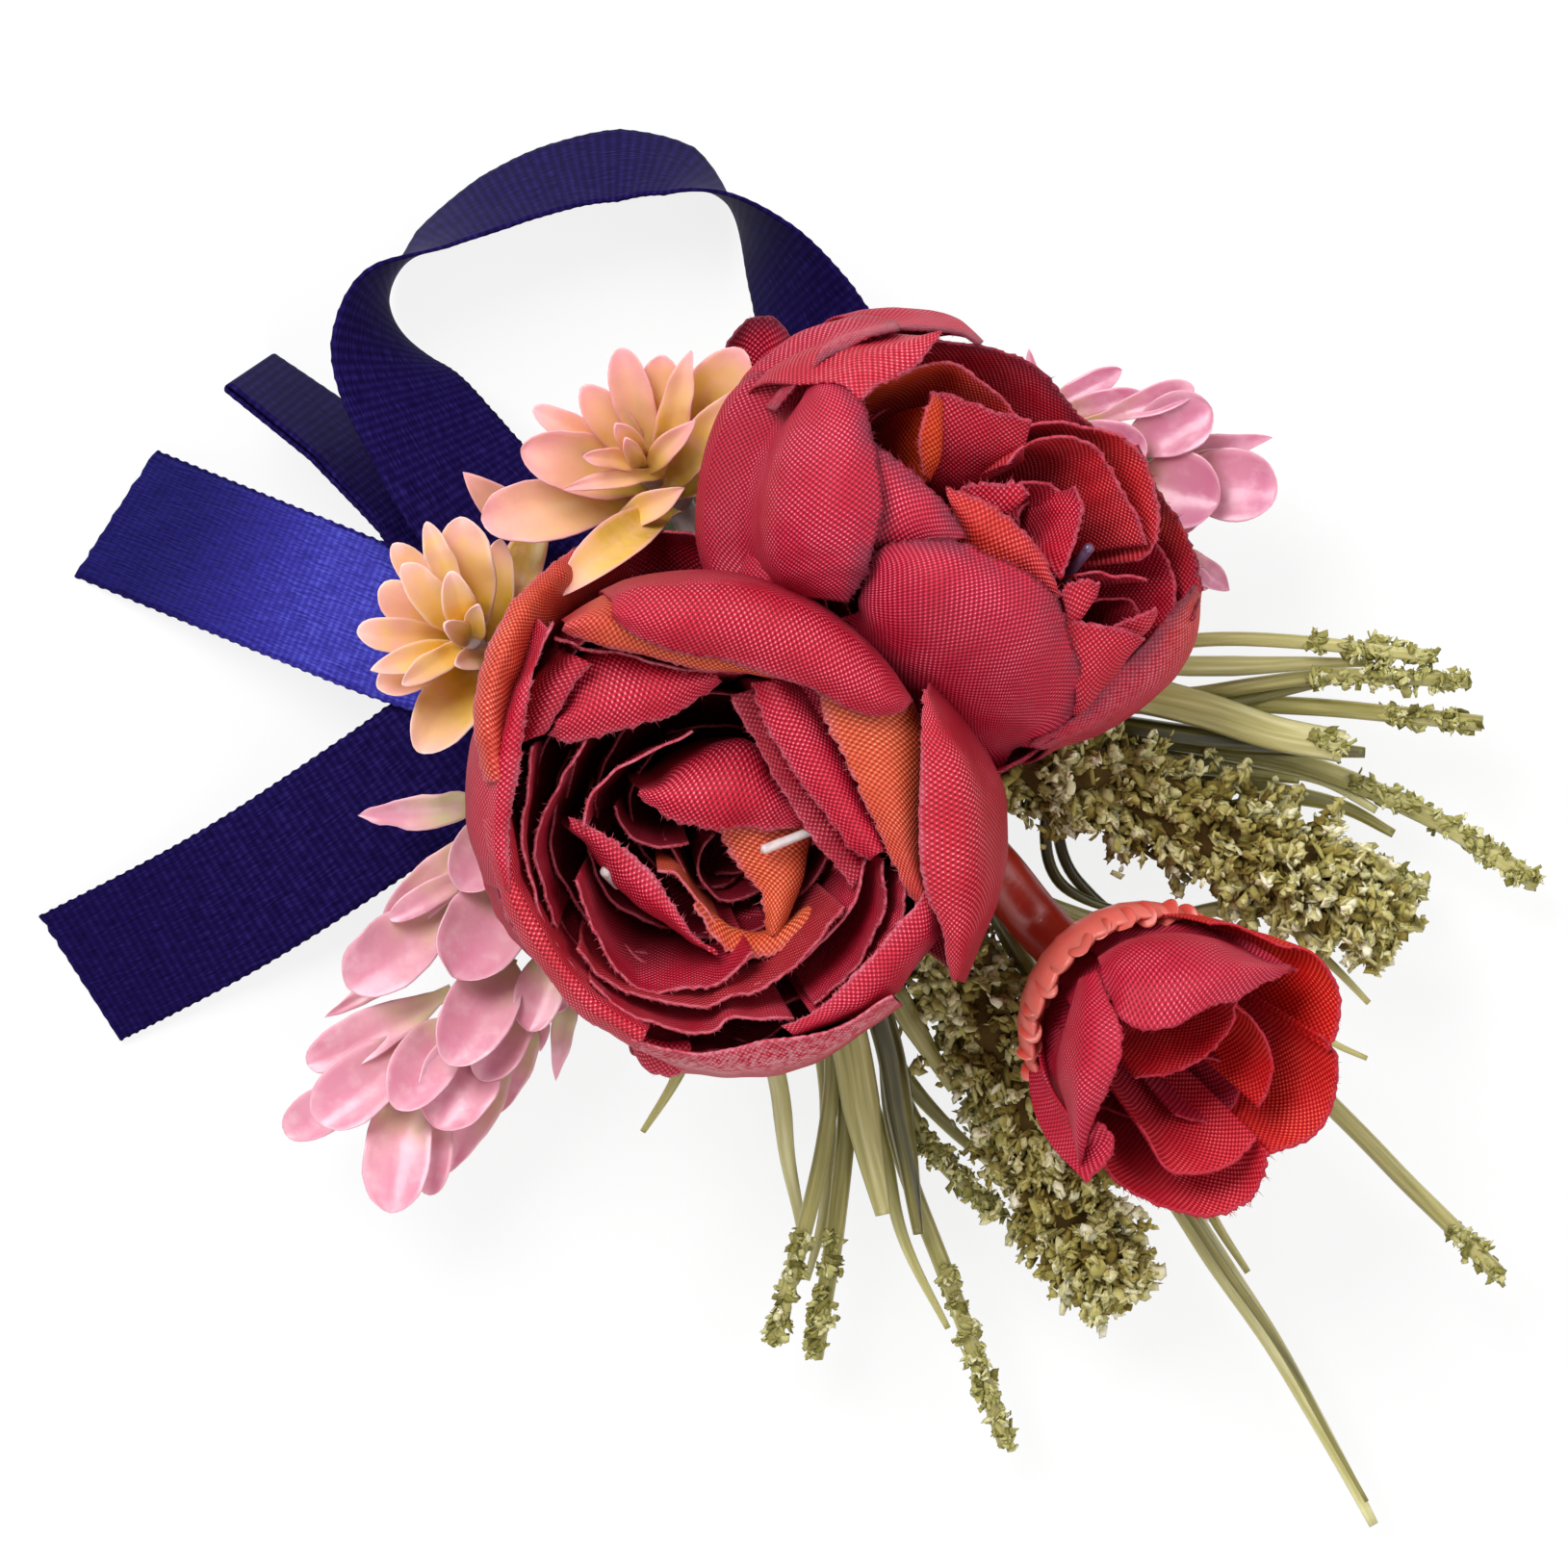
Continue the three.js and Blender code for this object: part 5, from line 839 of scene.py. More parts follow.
crimson = petal_cloth(
    "polyester_taffeta_crimson",
    [(0.05, "560010"), (0.36, "AE0C26"), (0.76, "C4183A"), (0.98, "F898AC")],
    [(0.05, "84200C"), (0.38, "C24428"), (0.78, "D45E3A"), (0.98, "FBBE90")],
    "CE7484", "B84C60", 0.9, 0.3)
plum_edged = petal_cloth(
    "polyester_taffeta_plum_edged",
    [(0.05, "560214"), (0.36, "AE102C"), (0.76, "C01C40"), (0.98, "F898B0")],
    [(0.05, "8A1606"), (0.38, "C43410"), (0.78, "D24C1C"), (0.98, "F49A58")],
    "5E2230", "641E32", 2.2, 0.8)
ripe_red = petal_cloth(
    "polyester_taffeta_ripe_red",
    [(0.05, "5C0210"), (0.36, "B20E26"), (0.76, "C81A38"), (0.98, "FA9AAC")],
    [(0.05, "8A1606"), (0.38, "C4300E"), (0.78, "D6481C"), (0.98, "F8A060")],
    "B85468", "8A2038", 0.9, 0.4)
bud_red = petal_cloth(
    "polyester_taffeta_scarlet",
    [(0.05, "640214"), (0.38, "AE142E"), (0.78, "BE203E"), (0.98, "F08AA0")],
    [(0.05, "840202"), (0.38, "BC0A04"), (0.78, "CC1C0A"), (0.98, "F4804A")],
    "A8283C", "B03046", 0.6, 0.3)


def layered(flower, petals, layers, rings, cloths, slots):
    """One object for each packed layer of a flower: its petals and its ring of plain outer ones, with more
    painted shade the deeper the layer. A ring is its count, radius, rise, sweep, turn and share of painted
    shade."""
    for k, (layer, cloth, slot_name) in enumerate(zip(layers, cloths, slots), start=1):
        piece = Piece()
        # painted shade: the deeper the layer, the darker and the sooner
        gloom = (min(0.35 + 0.12 * k, 0.85) * flower["gloom"], max(10 - 1.6 * k, 3.6))
        for n, (at, how, rows) in enumerate(petals):
            if at == k:
                petal(piece, flower, rows, gloom, 31 * n + 7 * k, **how)
        if k in rings:
            count, radius, rise, sweep, turn, deep = rings[k]
            ring(piece, flower, count, radius, rise, sweep, turn, 11 * k, deep)
        piece.make(layer.replace("petals", "cloth"), cloth, slot_name, layer)


def numbered(stem, count):
    """Node names that end in 1 to count."""
    return [f"{stem}_{k}" for k in range(1, count + 1)]


layered(ROSE_A, ROSE_A_PETALS, numbered("rose_a_petals", 6) + ["rose_a_heart"], {
    1: (6, 19.0, 16.5, 104, 0.2, 0.3),
    2: (5, 16.2, 15.5, 94, 0.9, 0.5),
    3: (5, 13.4, 14.5, 88, 1.6, 0.6),
    4: (5, 10.4, 13.0, 84, 0.5, 0.7),
    6: (4, 6.6, 10.0, 80, 1.1, 0.7),
}, [crimson] * 7, ["rose_cloth"] * 4 + ["orange_cloth"] * 3)
layered(ROSE_B, ROSE_B_PETALS, numbered("rose_b_petals", 5) + ["rose_b_heart"], {
    1: (6, 16.6, 15.0, 108, 0.4, 0.2),
    2: (5, 14.2, 14.5, 94, 1.1, 0.4),
    3: (5, 11.8, 13.5, 88, 0.3, 0.5),
    4: (4, 9.0, 12.5, 84, 0.8, 0.5),
    6: (3, 5.6, 9.5, 80, 0.1, 0.7),
}, [plum_edged] + [ripe_red] * 5, ["rose_cloth"] * 6)
layered(BUD, BUD_PETALS, numbered("bud_petals", 2) + ["bud_heart"], {
    1: (4, 7.2, 11.0, 90, 0.3, 0.3),
    2: (4, 6.0, 10.0, 84, 0.9, 0.5),
}, [bud_red] * 3, ["bud_cloth"] * 3)


# Leaves: how high the middle line arches as a share of the length, and the waves of the margin in mm,
# with how far they lift and shift it
ARCH_SHARE = 0.08
MARGIN_WAVE = 3.2
MARGIN_LIFT, MARGIN_SHIFT = 0.22, 0.1


def leaf(piece, a, b, width, thick, widest=0.6, blunt=0.45, cup=0.45, roll=0.0, tint=0.5, count=20,
         around=18):
    """Closed moulded leaf between two places in mm: its half width follows a power of the way along times
    a power of the way left, so that it is widest at the given share; its skin is a thin ellipse round each
    place; its middle line arches, its sides lift by the square of their distance out, and its margin
    waves a little."""
    way = b - a
    length = np.linalg.norm(way)
    side = unit(np.cross(UP, way))
    top = np.cross(way / length, side)
    spin = math.radians(roll)
    side, top = side * math.cos(spin) + top * math.sin(spin), top * math.cos(spin) - side * math.sin(spin)
    t = 0.5 - 0.5 * np.cos(np.linspace(0.02, math.pi - 0.02, count))
    power = blunt * widest / (1 - widest)
    full = t**power * (1 - t) ** blunt
    half = full / (widest**power * (1 - widest) ** blunt) * width / 2
    half = np.maximum(half, thick * 0.6 * (1 - t) ** 0.5 * (t < widest))
    deep = thick / 2 * np.sqrt(np.clip(half / half.max(), 0.02, 1)) * (1 - 0.5 * t)
    c, s = circle(around)
    middle = a + t[:, None] * way + top * (ARCH_SHARE * length * 4 * t * (1 - t))[:, None]
    groove = 0.25 * thick * np.exp(-((c / 0.3) ** 2))
    lift = deep[:, None] * (s - groove * (s > 0)) + cup * half[:, None] * (c**2 - 0.3)
    rings = middle[:, None] + side * (half[:, None] * c)[..., None] + top * lift[..., None]
    waves = ripple(rings, MARGIN_WAVE, int(tint * 977) + int(width * 31))
    rings = rings + (top * MARGIN_LIFT + side * MARGIN_SHIFT) * (waves * (0.3 + c**2))[..., None]
    rim = np.maximum(np.abs(c)[None] ** 5, (t[:, None] ** 9))
    vein = np.exp(-((c / 0.22) ** 2))[None] * np.sin(math.pi * t[:, None] ** 0.8)
    piece.tube(rings, together(rim, t[:, None], vein, tint))


def plastic_leaf(name, along, rim_tone, rim_hold, blush, vein_tone, soft, lean, start):
    """Injection-moulded soft polyethylene, airbrushed: dyed through at the root, sprayed with other tones
    towards the tip, each leaf further or less far by its own share times the lean, with a rim tone on the
    thin rim that is partly the rim's own sprayed colour and partly painted light through the thin
    plastic, blotched where the spray lay unevenly, with faint flow lines along the leaf and a waxy skin."""
    material, tree = fresh(name)
    spots = node(tree, "TexCoord", out="Object")
    rim, reach, vein, own = (node(tree, "Attribute", out="Fac", attribute_name=m) for m in MARKS)
    cloud, blot, flow = (
        node(tree, "TexNoise", {"Vector": spots, "Scale": per_mm / MM, "Detail": detail}, "Fac")
        for per_mm, detail in ((0.3, 3.0), (0.7, 4.0), (1.4, 3.0)))
    place = reach
    for part, share in ((cloud, 0.6), (own, lean)):
        place = node(tree, "Math", {0: part, 1: share, 2: place}, operation="MULTIPLY_ADD")
    place = node(tree, "Math", {0: place, 1: start}, operation="ADD")
    shade = node(tree, "ValToRGB", {"Fac": place}, stops=along)
    blot = node(tree, "MapRange", {"Value": blot, "From Min": 0.48, "From Max": 0.72, "To Max": 0.6})
    line_hold = node(tree, "Math", {0: vein, 1: 0.45}, operation="MULTIPLY")
    # rim tone: partly the rim's own colour, partly painted light through the thin rim
    thin = {"Value": rim, "From Min": 0.25, "From Max": 0.9, "To Max": rim_hold}
    thin = node(tree, "MapRange", thin, interpolation_type="SMOOTHSTEP")
    for share, over in ((blot, blush), (line_hold, vein_tone), (thin, rim_tone)):
        shade = node(tree, "Mix", {0: share, 6: shade, 7: dye(over)}, 2, data_type="RGBA")
    bump = node(tree, "Bump", {"Height": flow, "Distance": 0.08 * MM, "Strength": 0.4})
    node(tree, "OutputMaterial", {"Surface": node(tree, "BsdfPrincipled", {
        "Base Color": shade, "Roughness": 0.34, "IOR": 1.5, "Normal": bump, "Subsurface Weight": soft,
        "Subsurface Radius": (1.0, 0.5, 0.35), "Subsurface Scale": 0.9 * MM, "Coat Weight": 0.2,
        "Coat Roughness": 0.22})})
    return material


# Leaves read off the photograph: tier or whorl, root, tip (px, py, height), width in px, and what sets
# each apart
SUCCULENT_LARGE = [
    (1, (690, 512, 18.5), (500, 540, 24), 66, dict(widest=0.72, tint=0.35)),
    (1, (690, 505, 19), (541, 466, 28), 66, dict(widest=0.66, tint=0.3)),
    (1, (690, 500, 19.5), (554, 424, 27), 32, dict(widest=0.7, tint=0.2)),
    (1, (700, 505, 18.5), (770, 363, 30), 78, dict(widest=0.62, tint=0.95, cup=0.3)),
    (1, (690, 520, 17.5), (796, 462, 27), 52, dict(widest=0.6, tint=0.9, blunt=0.8, cup=0.5, roll=-20)),
    (1, (700, 530, 21), (578, 621, 36), 50, dict(widest=0.55, tint=0.85, blunt=0.8, cup=0.6, roll=18)),
    (1, (560, 545, 17), (522, 644, 19), 44, dict(widest=0.5, tint=0.8)),
    (1, (560, 560, 15), (481, 492, 20.5), 42, dict(widest=0.5, blunt=0.9, tint=0.1)),
    (2, (680, 495, 20), (605, 402, 28.5), 44, dict(widest=0.68, tint=0.4)),
    (2, (680, 490, 21), (643, 362, 29.5), 44, dict(widest=0.7, tint=0.1)),
    (2, (680, 490, 20.5), (688, 369, 28.5), 50, dict(widest=0.68, tint=0.8, cup=0.4)),
    (2, (685, 495, 22), (717, 365, 31), 34, dict(widest=0.6, blunt=0.7, tint=0.55, cup=0.5)),
    (2, (690, 515, 22), (762, 406, 30.5), 40, dict(widest=0.55, blunt=0.8, tint=0.85, cup=0.5)),
    (2, (640, 545, 23), (712, 507, 29), 32, dict(widest=0.5, blunt=0.8, tint=0.5, cup=0.6)),
    (3, (668, 492, 24), (722, 436, 31), 26, dict(widest=0.55, blunt=0.8, tint=0.2, cup=0.6)),
    (3, (690, 490, 24), (584, 508, 29), 20, dict(widest=0.55, blunt=0.8, tint=0.0, cup=0.6)),
    (3, (672, 480, 24.5), (606, 474, 30), 24, dict(widest=0.6, tint=0.25)),
    (3, (668, 478, 25), (640, 440, 31), 26, dict(widest=0.6, tint=0.6)),
    (3, (665, 485, 25), (650, 455, 31), 20, dict(widest=0.6, tint=0.7)),
]
SUCCULENT_SMALL = [
    (1, (492, 662, 21), (478, 537, 29), 62, dict(widest=0.62, tint=0.6, cup=0.35)),
    (1, (492, 668, 20), (408, 565, 27), 34, dict(widest=0.72, tint=0.05)),
    (1, (490, 668, 19), (394, 612, 26), 48, dict(widest=0.75, tint=0.1)),
    (1, (488, 668, 20), (371, 656, 28), 38, dict(widest=0.72, tint=0.1)),
    (1, (488, 672, 20), (392, 714, 27), 42, dict(widest=0.74, tint=0.15)),
    (1, (505, 680, 18), (435, 781, 25), 66, dict(widest=0.58, tint=0.75, cup=0.5)),
    (1, (512, 668, 18), (520, 560, 22), 40, dict(widest=0.5, tint=0.8)),
    (2, (488, 660, 22), (443, 542, 30), 30, dict(widest=0.6, tint=0.5, cup=0.6)),
    (2, (488, 665, 22), (418, 586, 29.5), 38, dict(widest=0.62, tint=0.6, cup=0.4)),
    (2, (485, 668, 22), (386, 697, 29), 30, dict(widest=0.6, blunt=0.8, tint=0.5, cup=0.5)),
    (2, (488, 668, 22.5), (418, 711, 29.5), 28, dict(widest=0.6, tint=0.6, cup=0.5)),
    (2, (505, 680, 21), (473, 690, 27), 26, dict(widest=0.6, tint=0.1)),
    (3, (490, 664, 24), (468, 594, 30.5), 36, dict(widest=0.6, tint=0.7, cup=0.4)),
    (3, (490, 664, 24), (462, 648, 30), 26, dict(widest=0.6, tint=0.9)),
    (3, (492, 664, 24), (497, 628, 30), 26, dict(widest=0.6, tint=1.0)),
]
SPRIG_LEFT = [
    (1, (500, 832, 13), (372, 846, 13), 40, dict(widest=0.4, blunt=0.9, tint=0.2, roll=-20)),
    (1, (525, 850, 12), (478, 925, 17), 66, dict(widest=0.6, tint=0.2)),
    (1, (510, 860, 11), (402, 966, 12), 50, dict(widest=0.62, tint=0.0)),
    (1, (500, 900, 12.5), (404, 955, 15), 30, dict(widest=0.6, tint=0.35)),
    (1, (575, 985, 12), (548, 1072, 15), 52, dict(widest=0.6, tint=0.1)),
    (2, (530, 925, 12.5), (470, 1015, 18), 90, dict(widest=0.55, tint=0.65)),
    (2, (470, 940, 11.5), (361, 1026, 15), 76, dict(widest=0.62, tint=0.55)),
    (2, (420, 1010, 9), (337, 1057, 9), 20, dict(widest=0.4, blunt=0.9, tint=0.3)),
    (2, (540, 1020, 10), (590, 1045, 12), 34, dict(widest=0.6, tint=0.1)),
    (2, (560, 1040, 9), (562, 1092, 10), 22, dict(widest=0.5, blunt=0.8, tint=0.0)),
    (2, (590, 1035, 10), (577, 1123, 9), 26, dict(widest=0.3, blunt=0.9, tint=0.15)),
    (3, (530, 995, 12), (466, 1106, 17.5), 76, dict(widest=0.58, tint=0.6)),
    (3, (470, 1030, 11), (319, 1106, 13), 52, dict(widest=0.66, tint=0.45)),
    (3, (550, 1030, 11), (498, 1122, 14), 56, dict(widest=0.6, tint=0.25)),
    (3, (550, 1060, 9.5), (520, 1156, 9), 40, dict(widest=0.35, blunt=0.9, tint=0.15)),
    (4, (470, 1060, 11.5), (411, 1152, 16.5), 68, dict(widest=0.58, tint=0.65)),
    (4, (440, 1070, 11), (328, 1165, 14.5), 70, dict(widest=0.66, tint=0.6)),
    (4, (420, 1100, 9.5), (296, 1178, 10), 50, dict(widest=0.7, tint=0.5)),
    (4, (510, 1060, 10.5), (452, 1172, 15), 84, dict(widest=0.62, tint=0.5)),
    (4, (520, 1090, 9), (466, 1219, 9), 54, dict(widest=0.35, blunt=0.9, tint=0.2)),
    (5, (425, 1120, 10), (405, 1260, 14), 72, dict(widest=0.62, tint=0.35)),
    (5, (460, 1130, 9), (446, 1242, 11.5), 40, dict(widest=0.65, tint=0.5)),
]
SPRIG_RIGHT = [
    (1, (1085, 425, 11), (1166, 385, 12), 30, dict(widest=0.55, blunt=0.6, tint=0.7)),
    (1, (1100, 430, 12), (1188, 410, 14), 28, dict(widest=0.6, tint=0.6)),
    (1, (1120, 445, 13), (1240, 402, 16), 32, dict(widest=0.75, tint=0.3)),
    (1, (1075, 400, 9), (1069, 362, 10), 13, dict(widest=0.4, blunt=0.8, tint=0.3)),
    (1, (1070, 405, 9), (1082, 385, 10), 22, dict(widest=0.6, tint=0.4)),
    (2, (1110, 455, 14), (1192, 468, 16.5), 52, dict(widest=0.6, tint=0.75)),
    (2, (1160, 470, 13), (1259, 424, 16), 66, dict(widest=0.7, tint=0.55)),
    (2, (1180, 480, 10), (1322, 455, 11), 28, dict(widest=0.5, blunt=0.8, tint=0.35)),
    (3, (1180, 495, 13), (1266, 524, 16), 84, dict(widest=0.6, tint=0.6)),
    (3, (1225, 485, 11), (1300, 480, 12.5), 34, dict(widest=0.6, tint=0.15)),
    (3, (1180, 520, 10), (1245, 545, 13), 46, dict(widest=0.6, tint=0.4)),
    (4, (1215, 500, 11.5), (1327, 507, 14.5), 78, dict(widest=0.64, tint=0.45)),
    (4, (1215, 570, 9), (1278, 613, 8), 34, dict(widest=0.45, blunt=0.8, tint=0.3)),
    (4, (1215, 575, 9), (1256, 611, 9), 26, dict(widest=0.6, tint=0.3)),
]

peach = plastic_leaf("airbrushed_polyethylene_peach",
                     [(0.08, "C2A032"), (0.3, "E8C05C"), (0.55, "F0BC8E"), (0.9, "EFA8A2")],
                     "F2A8B0", 0.75, "F4BAA0", "F0C480", 0.2, -0.45, -0.22)
honey = plastic_leaf("airbrushed_polyethylene_honey",
                     [(0.1, "CC9C18"), (0.3, "EEC03C"), (0.55, "F4C684"), (0.9, "F4BCAA")],
                     "F8CAC4", 0.7, "F2CC70", "F2C454", 0.2, -0.3, -0.2)
rose_pink = plastic_leaf("airbrushed_polyethylene_rose",
                         [(0.1, "CFC496"), (0.3, "D9AE9C"), (0.5, "DA98A6"), (0.85, "D6889F")],
                         "E6AEBE", 0.6, "E4B4BE", "BE6C86", 0.16, 0.4, -0.5)
# a darker copy of the sprig plastic for the right sprig, which lies under rose B: painted shade
shaded_pink = plastic_leaf("airbrushed_polyethylene_rose_shaded",
                          [(0.1, "C2A06E"), (0.3, "C8928E"), (0.5, "CC859A"), (0.85, "C27290")],
                          "E2A8BA", 0.6, "DCA8B8", "B05C82", 0.16, 0.4, -0.5)

# One object for each tier or whorl of leaves, whose places and widths are in pixels
for leaves, stem, groups, material, slot_name, thick in [
        (SUCCULENT_LARGE, "succulent_large_tier", 3, peach, "peach_plastic", 1.1),
        (SUCCULENT_SMALL, "succulent_small_tier", 3, honey, "yellow_plastic", 1.0),
        (SPRIG_LEFT, "pink_sprig_left_whorl", 5, rose_pink, "pink_plastic", 1.1),
        (SPRIG_RIGHT, "pink_sprig_right_whorl", 4, shaded_pink, "pink_plastic", 1.0)]:
    for k, group in enumerate(numbered(stem, groups), start=1):
        piece = Piece()
        for at, root, tip, width, how in leaves:
            if at == k:
                leaf(piece, *spot([root, tip]), width / PX_PER_MM, thick, **how)
        piece.make(group.replace("tier", "leaves").replace("whorl", "leaves"), material, slot_name, group)


# How long the wanderings of a stem are, and how far apart two stems lie on their own grain, in mm
STEM_WANDER = 14.0
GRAIN_APART = 3.7


def rod(piece, p, wide, high, around=10, seed=0, tint=0.5, ends=(1.0, 0.55), groove=0.0, wander=0.0):
    """Stem or blade along a line of places in mm: an ellipse of the given width and height round each
    place, drawn in towards its ends, with its top pinched as a moulded groove, and wandering a little."""
    _, side, top = bearings(p)
    s = np.linspace(0, 1, len(p))
    size = np.interp(s, [0, 0.12, 0.6, 1], [ends[0] * 0.8, 1, 1, ends[1]])
    c, v = circle(around)
    w = wide / 2 * size[:, None] * c
    h = high / 2 * size[:, None] * v * (1 - groove * np.exp(-((c / 0.4) ** 2)) * (v > 0))
    rings = p[:, None] + side[:, None] * w[..., None] + top[:, None] * h[..., None]
    rings = rings + (side * ripple(p, STEM_WANDER, seed)[:, None] * wander)[:, None]
    marks = together(np.abs(c)[None], s[:, None], v[None], tint)
    piece.tube(rings, marks, together(travel(p)[:, None], w + h + seed * GRAIN_APART))


def crumbs(piece, centres, size, seed, out, flatness, pale):
    """Torn foam crumbs: twelve-pointed grains, each turned, stretched and dented at random, that stand a
    little along the way out."""
    rng = np.random.default_rng(seed)
    g = (1 + 5**0.5) / 2
    ball = unit(np.array([(-1, g, 0), (1, g, 0), (-1, -g, 0), (1, -g, 0), (0, -1, g), (0, 1, g),
                          (0, -1, -g), (0, 1, -g), (g, 0, -1), (g, 0, 1), (-g, 0, -1), (-g, 0, 1)], float))
    faces = np.array([(0, 11, 5), (0, 5, 1), (0, 1, 7), (0, 7, 10), (0, 10, 11), (1, 5, 9), (5, 11, 4),
                      (11, 10, 2), (10, 7, 6), (7, 1, 8), (3, 9, 4), (3, 4, 2), (3, 2, 6), (3, 6, 8),
                      (3, 8, 9), (4, 9, 5), (2, 4, 11), (6, 2, 10), (8, 6, 7), (9, 8, 1)])
    n = len(centres)
    a = unit(rng.normal(size=(n, 3)) + out * 1.2)
    b = unit(np.cross(a, rng.normal(size=(n, 3))))
    scale = size * rng.uniform(0.5, 1.4, (n, 1))
    dents = rng.uniform(0.3, 1.5, (n, 12, 1))
    points = ball[None] * dents
    grown = [points[..., k, None] * way[:, None] * (scale * stretch)[:, None]
             for k, (way, stretch) in enumerate(((a, 1.3), (b, 0.85), (np.cross(a, b), flatness)))]
    tris = (faces[None] + (np.arange(n) * 12)[:, None, None]).reshape(-1, 3)
    own = rng.uniform(size=(n, 1))
    marks = together(dents[..., 0], own, np.reshape(pale, (-1, 1)), own)
    points = (centres[:, None] + (grown[0] + grown[1] + grown[2])).reshape(-1, 3)
    piece.add(points, tris=tris, marks=marks.reshape(-1, 4))


def tufts(piece, p, radius, count, each, size, seed, start, flatness):
    """Tufts of crumbs round a line of places from a share of it on: each tuft is a spike of crumbs that
    stands out at a random angle and distance, and narrows towards its point, where its crumbs are painted
    paler (painted light)."""
    rng = np.random.default_rng(seed)
    s = rng.uniform(start, 1, count) * (len(p) - 1)
    i = np.minimum(s.astype(int), len(p) - 2)
    mid = p[i] + (p[i + 1] - p[i]) * (s - i)[:, None]
    way = unit(p[i + 1] - p[i])
    side = unit(np.cross(UP, way))
    angle = rng.uniform(0, FULL_TURN, count)
    out = side * np.cos(angle)[:, None] + np.cross(way, side) * np.sin(angle)[:, None] * 0.85
    lean = unit(out + way * rng.uniform(0.0, 1.3, (count, 1)) + rng.normal(size=(count, 3)) * 0.25)
    far = np.broadcast_to(radius, (len(p),))[i] * rng.uniform(0.62, 1.18, count)
    step = rng.uniform(0, 1, (count, each)) ** 0.8
    spread = rng.normal(size=(count, each, 3)) * (0.14 + 0.5 * (1 - step))[..., None] * size * 1.2
    at = mid[:, None] + out[:, None] * (far * 0.35)[:, None, None]
    at = at + lean[:, None] * (far[:, None] * 0.65 * step)[..., None] + spread
    # painted light: crumbs paler towards the point of the tuft, darker at its root
    pale = np.clip(step * 0.7 + rng.uniform(-0.2, 0.4, (count, 1)), 0, 1)
    scale = (size * (1.2 - 0.6 * step)).reshape(-1, 1)
    crumbs(piece, at.reshape(-1, 3), scale, seed + 1, np.repeat(lean, each, 0), flatness, pale.reshape(-1))


def moulded_stem(name, tones):
    """Injection-moulded polyethylene grass: waxy olive and a little see-through, painted paler on its thin
    sides (painted light through the thin plastic), with dark and pale ribs along it, browner near the bunch."""
    material, tree = fresh(name)
    flat = node(tree, "UVMap", uv_map="flat_mm")
    along = node(tree, "Mapping", {"Vector": flat, "Scale": (0.05, 1.0, 1.0)})
    streak = node(tree, "TexNoise", {"Vector": along, "Scale": 1.9, "Detail": 3.0}, "Fac")
    rim, reach, shift = (
        node(tree, "Attribute", out="Fac", attribute_name=m) for m in ("rim", "glow", "own"))
    for part, share in ((streak, 0.9), (reach, 0.25)):
        shift = node(tree, "Math", {0: part, 1: share, 2: shift}, operation="MULTIPLY_ADD")
    shift = node(tree, "Math", {0: shift, 1: 0.62}, operation="MULTIPLY")
    shade = node(tree, "ValToRGB", {"Fac": shift}, stops=tones)
    # painted light: paler on the thin sides
    thin = node(tree, "MapRange", {"Value": rim, "From Min": 0.75, "From Max": 1.0, "To Max": 0.5})
    shade = node(tree, "Mix", {0: thin, 6: shade, 7: dye("D4CE9C")}, 2, data_type="RGBA")
    bump = node(tree, "Bump", {"Height": streak, "Distance": 0.12 * MM, "Strength": 0.6})
    node(tree, "OutputMaterial", {"Surface": node(tree, "BsdfPrincipled", {
        "Base Color": shade, "Roughness": 0.34, "IOR": 1.5, "Normal": bump, "Subsurface Weight": 0.12,
        "Subsurface Radius": (0.8, 0.8, 0.3), "Subsurface Scale": 0.8 * MM})})
    return material


def torn_foam(name, tones):
    """Shredded, dyed polyurethane foam: matt and open-celled, each crumb its own tone, painted darker in the
    dents of its crumbs and on the plume's core (painted shade) and paler where a torn point stands up
    (painted light)."""
    material, tree = fresh(name)
    spots = node(tree, "TexCoord", out="Object")
    dent, tone, own = (
        node(tree, "Attribute", out="Fac", attribute_name=m) for m in ("rim", "deep", "own"))
    cells = node(tree, "TexNoise", {"Vector": spots, "Scale": 2.2 / MM, "Detail": 3.0}, "Fac")
    # painted shade in the dents and on the core, painted light towards the tuft points
    for part, share in ((own, 0.5), (dent, 0.25), (cells, 0.4)):
        tone = node(tree, "Math", {0: part, 1: share, 2: tone}, operation="MULTIPLY_ADD")
    tone = node(tree, "Math", {0: tone, 1: 0.5}, operation="MULTIPLY")
    shade = node(tree, "ValToRGB", {"Fac": tone}, stops=tones)
    bump = node(tree, "Bump", {"Height": cells, "Distance": 0.2 * MM, "Strength": 0.8})
    node(tree, "OutputMaterial", {"Surface": node(tree, "BsdfPrincipled", {
        "Base Color": shade, "Roughness": 0.88, "Specular IOR Level": 0.2, "Normal": bump})})
    return material


olive = moulded_stem("moulded_polyethylene_olive", [
    (0.42, "3A3614"), (0.62, "7E7636"), (0.85, "B4AC6C"), (1.0, "D6D0A0")])
foam_pale = torn_foam("shredded_foam_pale_olive", [
    (0.2, "4E4A1C"), (0.45, "8A8444"), (0.7, "BDB878"), (0.92, "E4E0BC")])
foam_green = torn_foam("shredded_foam_moss", [
    (0.2, "4E3A16"), (0.42, "857434"), (0.62, "B0A660"), (0.8, "D6D0A0"), (0.95, "EFEAD2")])

